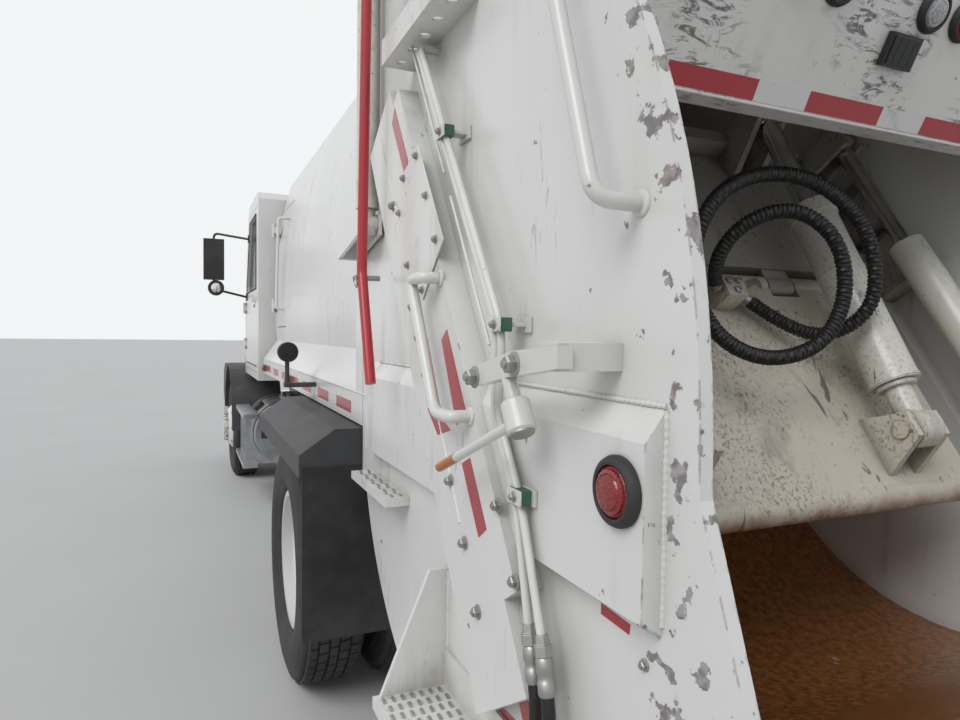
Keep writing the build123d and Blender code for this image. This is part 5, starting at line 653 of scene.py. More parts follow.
class Shape:
    """Mesh of one piece, made of simple solids in a movable local frame."""

    def __init__(self, name: str) -> None:
        """Starts an empty mesh.

        Args:
            name: the piece's name.
        """
        self.name = name
        self.mesh = bmesh.new()
        self.place = Matrix.Identity(4)

    def at(self, origin: Point, ahead: Point = (1, 0, 0), up: Point = (0, 0, 1)) -> None:
        """Moves the local frame.

        Args:
            origin: its new origin.
            ahead: direction of its x axis.
            up: direction of its z axis, as near as x allows.
        """
        x = Vector(ahead).normalized()
        z = Vector(up)
        z = (z - x * z.dot(x)).normalized()
        turn = Matrix((x, z.cross(x), z)).transposed()
        self.place = Matrix.Translation(Vector(origin)) @ turn.to_4x4()

    def skin(self, rings: Sequence[Sequence[Any]], looped: bool = False) -> None:
        """Skins rings of points that have as many points each.

        Args:
            rings: the rings in order.
            looped: joins the last ring to the first, instead of closing both with a face.
        """
        made = [[self.mesh.verts.new(self.place @ Vector(p)) for p in ring] for ring in rings]
        for a, b in zip(made, made[1:] + made[:1] if looped else made[1:]):
            for k, _ in enumerate(a):
                n = (k + 1) % len(a)
                self.mesh.faces.new((a[k], a[n], b[n], b[k]))
        if not looped:
            self.mesh.faces.new(list(reversed(made[0])))
            self.mesh.faces.new(made[-1])

    def box(self, low: Point, high: Point) -> None:
        """Adds a box between two corners."""
        (a, b, c), (d, e, f) = low, high
        self.skin([[(a, b, z), (d, b, z), (d, e, z), (a, e, z)] for z in (c, f)])

    def slab(self, outline: Sequence[tuple[float, float]], y0: float, y1: float) -> None:
        """Adds a plate whose outline is in x and z, between two y."""
        self.skin([[(x, y, z) for x, z in outline] for y in (y0, y1)])

    def turned(self, profile: Sequence[tuple[float, float]], start: Point, along: Point,
               steps: int = 24, looped: bool = False) -> None:
        """Revolves a profile.

        Args:
            profile: rows of distance along the axis and radius.
            start: origin of the axis.
            along: direction of the axis.
            steps: faces round the axis.
            looped: joins the last row to the first, for a ring with a hole.
        """
        axis = Vector(along).normalized()
        side = axis.orthogonal().normalized()
        other = axis.cross(side)
        turns = [2 * math.pi * k / steps for k in range(steps)]
        self.skin([
            [Vector(start) + axis * t + (side * math.cos(a) + other * math.sin(a)) * max(r, 1e-5)
             for a in turns] for t, r in profile
        ], looped=looped)

    def rod(self, a: Point, b: Point, radius: float, steps: int = 20) -> None:
        """Adds a round bar between two points, its ends chamfered."""
        along = Vector(b) - Vector(a)
        cut = min(radius * 0.15, along.length * 0.2)
        rows = ((0, radius - cut), (cut, radius), (along.length - cut, radius),
                (along.length, radius - cut))
        self.turned(rows, a, along, steps)

    def tube(self, path: Sequence[Vector], radius: float | Sequence[float],
             steps: int = 14) -> None:
        """Sweeps a circle along a path without twist.

        Args:
            path: points of the path.
            radius: one radius, or one for each point.
            steps: faces round the tube.
        """
        sizes = [radius] * len(path) if isinstance(radius, float) else radius
        self.skin(collars(path, [[r] * steps for r in sizes]))

    def bead(self, a: Point, b: Point, radius: float = 0.0045) -> None:
        """Adds a weld bead with its ripples between two points."""
        start, run = Vector(a), Vector(b) - Vector(a)
        count = max(4, int(run.length / 0.004))
        path = [start + run * (k / count) for k in range(count + 1)]
        sizes = [radius * (1.0 + 0.22 * math.sin(2.1 * k) + 0.08 * math.sin(0.37 * k))
                 for k in range(count + 1)]
        self.tube(path, sizes, 8)

    def bolt(self, foot: Point, along: Point, across: float = 0.019) -> None:
        """Adds a hexagon bolt's washer, head and shank end.

        Args:
            foot: the point where the washer seats.
            along: direction out of the face.
            across: width of the head across its flats.
        """
        r = across * 0.577
        out = Vector(along).normalized()
        self.turned(((0, r * 1.35), (r * 0.16, r * 1.35), (r * 0.22, r * 1.25)), foot, out, 20)
        seat = Vector(foot) + out * r * 0.2
        rows = ((0, r), (r * 0.78, r), (r * 0.98, r * 0.80))
        self.turned(rows, seat, out, 6)
        self.turned(((0, r * 0.5), (r * 0.32, r * 0.46)), seat + out * r * 0.95, out, 10)

    def make(self, body: Body, slot: Slot, finish: Finish, soften: float = 0.0) -> Any:
        """Makes the piece and sets what it rides on and its finish.

        Args:
            body: the rigid body that it rides on.
            slot: the record's slot of its finish; not used.
            finish: its finish.
            soften: width of the rounding on its sharp edges.

        Returns:
            The piece.
        """
        bmesh.ops.recalc_face_normals(self.mesh, faces=self.mesh.faces)
        data = bpy.data.meshes.new(self.name)
        self.mesh.to_mesh(data)
        self.mesh.free()
        piece = placed(self.name, data)
        data.materials.append(finish.material())
        data.polygons.foreach_set("use_smooth", [True] * len(data.polygons))
        data.set_sharp_from_angle(angle=SHARP_ANGLE)
        if soften:
            bevel = piece.modifiers.new("soften", "BEVEL")
            bevel.width = soften
            bevel.segments = 2
            bevel.limit_method = "ANGLE"
            bevel.angle_limit = SHARP_ANGLE
            bevel.harden_normals = True
        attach(piece, body.value)
        LOG.info("made %s, %d faces", self.name, len(data.polygons))
        return piece


# ---------------------------------------------------------------- running gear


@dataclass
class Tyre:
    """One radial truck tyre about a wheel's axis."""

    x: float
    y: float
    drive: bool
    radius: float = 0.525
    base: float = 0.507
    blocks: int = 58
    ribs: Pairs = (
        (-0.100, -0.067), (-0.058, -0.024), (-0.015, 0.015), (0.024, 0.058), (0.067, 0.100),
    )
    sidewall: Pairs = (
        (-0.096, 0.2865), (-0.096, 0.3025), (-0.106, 0.312), (-0.116, 0.320), (-0.119, 0.328),
        (-0.120, 0.336), (-0.1265, 0.345), (-0.1345, 0.368), (-0.138, 0.392), (-0.1395, 0.402),
        (-0.1385, 0.418), (-0.1395, 0.420), (-0.1375, 0.430), (-0.134, 0.448), (-0.1345, 0.451),
        (-0.1285, 0.470), (-0.1225, 0.490), (-0.118, 0.500), (-0.110, 0.5065), (-0.099, 0.507),
    )

    def build(self, shape: Shape) -> None:
        """Adds the carcass and the tread to a shape.

        Args:
            shape: the piece that takes the mesh.
        """
        rows = list(self.sidewall) + [(-t, r) for t, r in reversed(self.sidewall)]
        shape.turned(rows, (self.x, self.y, AXLE_Z), (0, 1, 0), 96, looped=True)
        for row, (left, right) in enumerate(self.ribs):
            self.rib(shape, row, left, right)

    def rib(self, shape: Shape, row: int, left: float, right: float) -> None:
        """Adds one ring of tread blocks.

        Args:
            shape: the piece that takes the mesh.
            row: number of the ring, which sets its stagger.
            left: its lower edge along the axle.
            right: its upper edge along the axle.
        """
        pitch = 2 * math.pi / self.blocks
        gap = 0.0045 if self.drive else 0.0016
        lean = (0.10 if self.drive else 0.22) * pitch
        for k in range(self.blocks):
            a0 = (k + (0.5 if row % 2 else 0.0)) * pitch
            a1 = a0 + pitch - gap / self.radius * (2.2 if self.drive else 1.0)
            rings = []
            for r, inset in ((self.base - 0.004, 0.0), (self.radius - 0.0015, 0.0005),
                             (self.radius - 0.0001, 0.0022)):
                cut = inset / self.radius
                corners = ((a0 + cut, left + inset), (a1 - cut, left + inset),
                           (a1 - cut + lean, right - inset), (a0 + cut + lean, right - inset))
                rings.append([(self.x + r * math.cos(a), self.y + t, AXLE_Z + r * math.sin(a))
                              for a, t in corners])
            shape.skin(rings)


@dataclass
class RunningGear:
    """Treaded tyres, wheel nuts and hub caps on the four wheel groups."""

    front_y: float = 1.035
    twin_outer_y: float = 1.080
    twin_inner_y: float = 0.740
    stud_circle: float = 0.142
    front_face: float = 1.203
    rear_face: float = 0.918
    front_hub: float = 1.2435
    rear_hub: float = 1.062
    hub_circle: float = 0.0825
    nut: tuple[tuple[int, Pairs], ...] = (
        (18, ((0, 0.024), (0.004, 0.0235), (0.007, 0.019))),
        (6, ((0.006, 0.0185), (0.026, 0.0185), (0.030, 0.015))),
        (12, ((0.028, 0.0105), (0.039, 0.0095))),
    )
    cap: Pairs = (
        (-0.045, 0.070), (-0.040, 0.0745), (-0.018, 0.0745), (-0.012, 0.066), (-0.004, 0.058),
        (0.0, 0.040), (0.0, 0.0),
    )

    def nuts(self, shape: Shape, x: float, y: float, side: int) -> None:
        """Adds ten flanged wheel nuts with stud ends.

        Args:
            shape: the piece that takes the mesh.
            x: the wheel's axis.
            y: the face that they seat on.
            side: 1 for left, -1 for right.
        """
        for k in range(10):
            a = 2 * math.pi * k / 10
            foot = (x + self.stud_circle * math.cos(a), y, AXLE_Z + self.stud_circle * math.sin(a))
            for steps, rows in self.nut:
                shape.turned(rows, foot, (0, side, 0), steps)

    def hub(self, shape: Shape, x: float, reach: float, side: int) -> None:
        """Adds a hub cap with its ring of bolts.

        Args:
            shape: the piece that takes the mesh.
            x: the wheel's axis.
            reach: the cap's face, from the middle plane.
            side: 1 for left, -1 for right.
        """
        shape.turned(self.cap, (x, side * reach, AXLE_Z), (0, side, 0), 40)
        r, y = self.hub_circle, side * (reach - 0.044)
        for k in range(8):
            a = 2 * math.pi * (k + 0.5) / 8
            shape.bolt((x + r * math.cos(a), y, AXLE_Z + r * math.sin(a)), (0, side, 0), 0.014)

    def build(self) -> None:
        """Makes all wheels' pieces."""
        for place, side, tyre, body in (
            ("left_front", 1, "left_front_tyre", Body.LEFT_FRONT_WHEEL),
            ("right_front", -1, "right_front_tyre", Body.RIGHT_FRONT_WHEEL),
            ("left_rear", 1, "left_rear_tyres", Body.LEFT_REAR_WHEELS),
            ("right_rear", -1, "right_rear_tyres", Body.RIGHT_REAR_WHEELS),
        ):
            twin = "rear" in place
            x = REAR_AXLE_X if twin else FRONT_AXLE_X
            tread = Shape(place + "_treads")
            for y in (self.twin_outer_y, self.twin_inner_y) if twin else (self.front_y,):
                Tyre(x, side * y, drive=twin).build(tread)
            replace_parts(tread.make(body, Slot.TYRE, Looks.TYRE), tyre)
            nuts = Shape(place + "_wheel_nuts")
            self.nuts(nuts, x, side * (self.rear_face if twin else self.front_face), side)
            nuts.make(body, Slot.STEEL, Looks.STEEL)
            cap = Shape(place + "_hub_cap")
            self.hub(cap, x, self.rear_hub if twin else self.front_hub, side)
            cap.make(body, Slot.ALUMINIUM, Looks.ALUMINIUM)


# ---------------------------------------------------------------- tape


@dataclass(frozen=True)
class Beam:
    """The sloped face of the tailgate's crossbeam, between two points in x and z."""

    low: tuple[float, float] = (-1.770, 2.130)
    high: tuple[float, float] = (-1.931, 2.450)

    def point(self, y: float, z: float) -> Point:
        """Returns the point of the face at a width and a height."""
        (x0, z0), (x1, z1) = self.low, self.high
        share = (z - z0) / (z1 - z0)
        return (rel(x0 + (x1 - x0) * share), y, z)

    def axes(self) -> tuple[Point, Point]:
        """Returns the direction out of the face and the one up along it."""
        (x0, z0), (x1, z1) = self.low, self.high
        up = Vector((x1 - x0, 0, z1 - z0)).normalized()
        return (-up.z, 0.0, up.x), tuple(up)


@dataclass
class ReflectiveTape:
    """Red and white conspicuity tape on the body's rails, the tailgate and its crossbeam."""

    thick: float = 0.0007
    rail_y: float = WALL_Y
    rail_z: tuple[float, float] = (1.222, 1.270)
    rail_x: tuple[float, float] = (-0.42, 2.80)
    red_run: float = 0.2794
    white_run: float = 0.1778
    beam: Beam = Beam()
    beam_start: float = 0.604
    beam_end: float = 0.978
    beam_z: tuple[float, float] = (0.006, 0.056)
    lift: float = 0.0003
    cover: tuple[Pairs, ...] = (
        ((-1.169, 2.142), (-1.193, 2.182), (-1.324, 2.001), (-1.296, 1.968)),
        ((-1.594, 1.527), (-1.628, 1.552), (-1.750, 1.372), (-1.694, 1.340)),
        ((-1.500, 1.357), (-1.556, 1.362), (-1.658, 1.324), (-1.575, 1.302)),
        ((-1.728, 1.262), (-1.772, 1.282), (-1.860, 1.154), (-1.822, 1.127)),
    )
    wall: tuple[Pairs, ...] = (
        ((-1.819, 0.949), (-1.856, 0.967), (-2.010, 0.730), (-1.972, 0.706)),
        ((-1.740, 0.757), (-1.905, 0.772), (-1.935, 0.735), (-1.735, 0.722)),
        ((-2.179, 1.118), (-2.254, 1.114), (-2.252, 1.098), (-2.179, 1.101)),
    )

    def strips(self, red: Shape, white: Shape) -> None:
        """Adds the tape along the body's side rails.

        Args:
            red: the piece of red tape.
            white: the piece of white tape.
        """
        z0, z1 = self.rail_z
        for side in SIDES:
            x, k = self.rail_x[0], 0
            while x < self.rail_x[1]:
                run = self.white_run if k % 2 else self.red_run
                shape = white if k % 2 else red
                end = min(x + run, self.rail_x[1])
                outline = ((rel(x), z0), (rel(end), z0), (rel(end), z1), (rel(x), z1))
                y = side * self.rail_y
                shape.slab(outline, y, y + side * self.thick)
                x, k = end, k + 1

    def across(self, red: Shape, white: Shape) -> None:
        """Adds the tape along the crossbeam's lower edge.

        Args:
            red: the piece of red tape.
            white: the piece of white tape.
        """
        out, up = self.beam.axes()
        first = self.beam_start + self.white_run
        pieces: list[tuple[float, float, int]] = []
        y, k = self.beam_start, 0
        while y > 0.003 - self.beam_end:
            end = max(y - (self.white_run if k % 2 else self.red_run), -self.beam_end)
            pieces.append((y, end, k % 2))
            y, k = end, k + 1
        pieces += [(first, self.beam_start, 1), (self.beam_end, first, 0)]
        z0, z1 = self.beam_z
        for start, end, pale in pieces:
            shape = white if pale else red
            shape.at(self.beam.point(0, self.beam.low[1]), out, up)
            shape.box((self.lift, end, z0), (self.lift + self.thick, start, z1))
            shape.at((0, 0, 0))

    def build(self) -> None:
        """Makes the tape pieces."""
        red, white = Shape("rail_tape_red"), Shape("rail_tape_white")
        self.strips(red, white)
        red.make(Body.CHASSIS, Slot.RED_LENS, Looks.TAPE_RED)
        white.make(Body.CHASSIS, Slot.RED_LENS, Looks.TAPE_WHITE)
        red, white = Shape("tailgate_tape_red"), Shape("tailgate_tape_white")
        self.across(red, white)
        for outlines, y in ((self.cover, COVER_Y), (self.wall, WALL_Y)):
            for outline in outlines:
                for side in SIDES:
                    points = [(rel(x), z) for x, z in outline]
                    red.slab(points, side * y, side * (y + self.thick))
        red.make(Body.TAILGATE, Slot.RED_LENS, Looks.TAPE_RED)
        white.make(Body.TAILGATE, Slot.RED_LENS, Looks.TAPE_WHITE)


# ---------------------------------------------------------------- tailgate


@dataclass
class GuideFittings:
    """Bolts, inspection plates and weld beads on the covers over the blade's guides."""

    face_y: float = COVER_Y
    bolts: Pairs = (
        (-1.664, 1.211), (-1.913, 1.215), (-1.751, 1.095), (-1.991, 1.095), (-1.824, 0.974),
        (-1.500, 1.440), (-1.440, 1.530), (-1.385, 1.610), (-1.190, 1.905),
    )
    plate: Pairs = (
        (-1.415, 2.021), (-1.606, 1.758), (-1.463, 1.625), (-1.348, 1.689), (-1.240, 1.870),
        (-1.262, 1.965),
    )
    plate_bolts: Pairs = (
        (-1.407, 1.995), (-1.486, 1.880), (-1.558, 1.764), (-1.262, 1.873), (-1.345, 1.722),
        (-1.463, 1.650), (-1.300, 1.960),
    )
    plate_t: float = 0.004
    seams: tuple[tuple[float, float, float, float], ...] = (
        (-1.03, 2.16, -1.72, 1.13), (-1.30, 2.36, -1.60, 1.91), (-1.64, 1.85, -1.86, 1.52),
    )

    def build(self) -> None:
        """Makes the fittings of both sides."""
        plates, bolts, beads = Shape("guide_plates"), Shape("guide_bolts"), Shape("guide_seams")
        for side in SIDES:
            face, out = side * self.face_y, (0, side, 0)
            top = side * (self.face_y + self.plate_t)
            plates.slab([(rel(x), z) for x, z in self.plate], face, top)
            for x, z in self.plate_bolts:
                bolts.bolt((rel(x), top, z), out, 0.014)
            for x, z in self.bolts:
                bolts.bolt((rel(x), face, z), out)
            y = side * (self.face_y - 0.001)
            for x0, z0, x1, z1 in self.seams:
                beads.bead((rel(x0), y, z0), (rel(x1), y, z1), 0.0035)
        plates.make(Body.TAILGATE, Slot.WHITE, Looks.GUIDES, 0.0015)
        bolts.make(Body.TAILGATE, Slot.STEEL, Looks.STEEL)
        beads.make(Body.TAILGATE, Slot.WHITE, Looks.GUIDES)


@dataclass
class TailLamps:
    """Round stop lamps in rubber grommets, the crossbeam's lamp row and its work lamp."""

    ledge_x: float = -2.270
    ledge_z: float = 1.320
    beam: Beam = Beam()
    row_z: float = 2.395
    square: tuple[float, float] = (-0.105, 2.300)
    radius: float = 0.0385
    lens_rows: Pairs = (
        (0.0, 1.0), (0.010, 1.0), (0.0135, 0.97), (0.0155, 0.90), (0.0150, 0.87), (0.0185, 0.84),
        (0.0205, 0.70), (0.0195, 0.67), (0.0220, 0.62), (0.0232, 0.40), (0.0238, 0.20),
        (0.0240, 0.0),
    )
    grommet_rows: Pairs = (
        (0.0, 1.34), (0.006, 1.36), (0.013, 1.28), (0.017, 1.12), (0.0165, 1.01), (0.0, 1.005),
    )

    def lamp(self, lens: Shape, rubber: Shape, at: Point, out: Point) -> None:
        """Adds a moulded lens with stepped rings and the rubber grommet round it.

        Args:
            lens: the piece that takes the lens.
            rubber: the piece that takes the grommet.
            at: centre of its seat.
            out: direction that it faces.
        """
        lens.turned([(t, self.radius * r) for t, r in self.lens_rows], at, out, 40)
        rows = [(t, self.radius * r) for t, r in self.grommet_rows]
        rubber.turned(rows, at, out, 40, looped=True)

    def build(self) -> None:
        """Makes the lamps."""
        red, amber = Shape("stop_lamps"), Shape("marker_lamps")
        rubber, clear = Shape("lamp_grommets"), Shape("reverse_lamps")
        for side in SIDES:
            self.lamp(red, rubber, (rel(self.ledge_x), side * LEDGE_Y, self.ledge_z),
                      (0, side, 0))
        out, up = self.beam.axes()
        for y, lens in ((-0.300, red), (-0.170, clear), (0.170, clear), (0.300, amber)):
            self.lamp(lens, rubber, self.beam.point(y, self.row_z), out)
        house, glass = Shape("square_lamp_housing"), Shape("square_lamp_lens")
        for shape in (house, glass):
            shape.at(self.beam.point(*self.square), out, up)
        house.box((0.0003, -0.056, -0.041), (0.020, 0.056, 0.041))
        glass.box((0.018, -0.049, -0.034), (0.0235, 0.049, 0.034))
        for y in (-0.028, 0.0, 0.028):
            house.box((0.0220, y - 0.0015, -0.033), (0.0250, y + 0.0015, 0.033))
        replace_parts(red.make(Body.TAILGATE, Slot.RED_LENS, Looks.RED_LENS), "tailgate_lamps")
        amber.make(Body.TAILGATE, Slot.AMBER, Looks.AMBER)
        rubber.make(Body.TAILGATE, Slot.RUBBER, Looks.RUBBER)
        clear.make(Body.TAILGATE, Slot.HEADLAMP, Looks.CLEAR_LENS)
        house.make(Body.TAILGATE, Slot.PLASTIC, Looks.GLOSS_BLACK, 0.002)
        glass.make(Body.TAILGATE, Slot.HEADLAMP, Looks.BLACK_LENS, 0.0015)


@dataclass
class HydraulicLines:
    """Two painted steel tubes down the wall with their clamps, crimped ends and hoses."""

    pipe_y: float = 1.062
    pipe_r: float = 0.008
    shifts: Pairs = ((0.0, 0.0), (-0.020, -0.046))
    clamps: tuple[tuple[float, float, float], ...] = (
        (-1.586, 2.005, WALL_Y), (-1.896, 1.560, WALL_Y), (-1.990, 1.252, LEDGE_Y),
    )
    nut: Pairs = ((0, 0.0125), (0.014, 0.0135), (0.016, 0.0165), (0.034, 0.0165), (0.036, 0.0135))
    crimp: Pairs = (
        (0.034, 0.0120), (0.040, 0.0150), (0.060, 0.0150), (0.062, 0.0135), (0.072, 0.0135),
        (0.074, 0.0150), (0.094, 0.0150), (0.098, 0.0125),
    )

    def build(self) -> None:
        """Makes the lines of the left side."""
        tubes, steel = Shape("hydraulic_tubes"), Shape("hydraulic_couplings")
        hoses, green = Shape("hydraulic_hose_ends"), Shape("clamp_inserts")
        plates = Shape("clamp_plates")
        y, w = self.pipe_y, WALL_Y
        for top, end in self.shifts:
            run = [(rel(x), depth, z) for x, depth, z in (
                (-1.385 + top, w, 2.27), (-1.385 + top, y, 2.27), (-1.890 + top, y, 1.55),
                (-1.878 + top, y, 1.385), (-1.980 + top, y, 1.238), (-2.034 + end, y, 1.030))]
            tubes.tube(rounded(run, 0.045), self.pipe_r, 16)
            foot, down = (rel(-2.034 + end), y, 1.034), (-0.24, 0, -0.97)
            steel.turned(self.nut, foot, down, 6)
            steel.turned(self.crimp, foot, down, 24)
            run = [(rel(x + end), depth, z) for x, depth, z in (
                (-2.056, y, 0.945), (-2.064, y, 0.915), (-2.064, y, 0.840), (-2.064, w, 0.840))]
            hoses.tube(rounded(run, 0.03), 0.0115, 16)
        for ahead, z, face in self.clamps:
            x = rel(ahead)
            green.box((x - 0.030, y - 0.014, z - 0.0135), (x + 0.018, y + 0.012, z + 0.0135))
            if y - face > 0.025:
                plates.box((x - 0.024, face + 0.005, z - 0.004), (x + 0.012, y - 0.013, z + 0.004))
            plates.box((x - 0.040, face, z - 0.015), (x + 0.028, face + 0.006, z + 0.015))
            plates.box((x - 0.033, y + 0.0115, z - 0.014), (x + 0.021, y + 0.0145, z + 0.014))
            steel.bolt((x - 0.008, y + 0.0145, z), (0, 1, 0), 0.013)
        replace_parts(tubes.make(Body.TAILGATE, Slot.STEEL, Looks.RAILS), "hydraulic_lines")
        steel.make(Body.TAILGATE, Slot.STEEL, Looks.STEEL, 0.0006)
        hoses.make(Body.TAILGATE, Slot.RUBBER, Looks.HOSE)
        green.make(Body.TAILGATE, Slot.PLASTIC, Looks.GREEN, 0.002)
        plates.make(Body.TAILGATE, Slot.STEEL, Looks.RAILS, 0.001)


@dataclass
class HopperHose:
    """Guarded hose that hangs in two loops from the manifold block on the blade."""

    radius: float = 0.012
    guard: float = 0.0205
    pitch: float = 0.013
    strip: float = 0.62
    ridge: float = 0.0019
    sides: int = 18
    step: float = 0.0036
    crimp: Pairs = (
        (-0.004, 0.013), (0.006, 0.0165), (0.016, 0.0165), (0.018, 0.0135), (0.024, 0.0135),
        (0.026, 0.0168), (0.050, 0.0168), (0.055, 0.0140),
    )
    route: tuple[Point, ...] = (
        (-1.361, -0.0696, 1.690), (-1.433, -0.161, 1.598), (-1.539, -0.261, 1.540),
        (-1.644, -0.336, 1.621), (-1.658, -0.337, 1.776), (-1.632, -0.280, 1.926),
        (-1.611, -0.101, 2.023), (-1.587, 0.097, 2.023), (-1.598, 0.276, 1.931),
        (-1.588, 0.342, 1.753), (-1.614, 0.287, 1.556), (-1.637, 0.101, 1.470),
        (-1.678, -0.085, 1.516), (-1.684, -0.177, 1.668), (-1.661, -0.159, 1.845),
        (-1.607, -0.029, 1.935), (-1.546, 0.119, 1.877), (-1.455, 0.135, 1.759),
        (-1.368, 0.0284, 1.699),
    )

    def spline(self) -> Any:
        """Makes the hose as one open NURBS spline along its route."""
        data = bpy.data.curves.new("hopper_hose_line", "CURVE")
        data.dimensions = "3D"
        line = data.splines.new("NURBS")
        line.points.add(len(self.route) - 1)
        for point, (x, y, z) in zip(line.points, self.route):
            point.co = (rel(x), y, z, 1.0)
        line.order_u = 3
        line.use_endpoint_u = True
        line.resolution_u = 16
        return placed("hopper_hose_line", data)

    def followed(self, piece: Any) -> tuple[list[Vector], float]:
        """Reads even points from the spline.

        Args:
            piece: the hose's curve with no bevel.

        Returns:
            Points a step apart, and the line's length.
        """
        bpy.context.view_layer.update()
        depsgraph = bpy.context.evaluated_depsgraph_get()
        read = bpy.data.meshes.new_from_object(piece.evaluated_get(depsgraph))
        points = [v.co.copy() for v in read.vertices]
        bpy.data.meshes.remove(read)
        total = sum((b - a).length for a, b in zip(points, points[1:]))
        count = int(total / self.step)
        even, walked, k = [points[0]], 0.0, 0
        for n in range(1, count):
            goal = total * n / count
            while walked + (points[k + 1] - points[k]).length < goal:
                walked += (points[k + 1] - points[k]).length
                k += 1
            run = points[k + 1] - points[k]
            even.append(points[k] + run.normalized() * (goal - walked))
        return even + [points[-1]], total

    def sleeve(self, points: Sequence[Vector]) -> Any:
        """Makes the spiral guard round the hose, stopping short of its couplings."""
        shape = Shape("hose_guard")
        skip = int(0.05 / self.step)
        path = points[skip:-skip]
        radii = []
        for k in range(len(path)):
            phases = ((k * self.step / self.pitch + j / self.sides) % 1.0
                      for j in range(self.sides))
            radii.append([self.guard + (self.ridge if phase < self.strip else -self.ridge)
                          for phase in phases])
        shape.skin(collars(path, radii))
        return shape.make(Body.BLADE, Slot.RUBBER, Looks.HOSE)

    def build(self) -> None:
        """Makes the hose, its guard, its couplings and the block's fittings."""
        piece = self.spline()
        points, total = self.followed(piece)
        piece.data.bevel_depth = self.radius
        piece.data.bevel_resolution = 4
        piece.data.materials.append(Looks.HOSE.material())
        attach(piece, Body.BLADE.value)
        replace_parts(piece, "hopper_hose")
        guard = self.sleeve(points)
        ends = Shape("hose_couplings")
        for first, second, block_y in ((points[0], points[8], -0.0603),
                                       (points[-1], points[-9], 0.0203)):
            out = (second - first).normalized()
            ends.turned(self.crimp, first, out, 20)
            ends.turned(((0.004, 0.019), (0.017, 0.019)), first, out, 6)
            ends.rod((first.x, block_y, first.z), tuple(first + out * 0.004), 0.0115)
        ends.at((rel(-1.398), -0.02, 1.711), (-0.831, 0, 0.556), (0.556, 0, 0.831))
        for y, z in ((-0.020, 0.018), (0.020, 0.018), (0.0, -0.020)):
            ends.turned(((0, 0.013), (0.010, 0.013), (0.013, 0.010)), (0.0, y, z), (1, 0, 0), 6)
        couplings = ends.make(Body.BLADE, Slot.STEEL, Looks.STEEL, 0.0005)
        LOG.info("hose is %.3f m long", total)


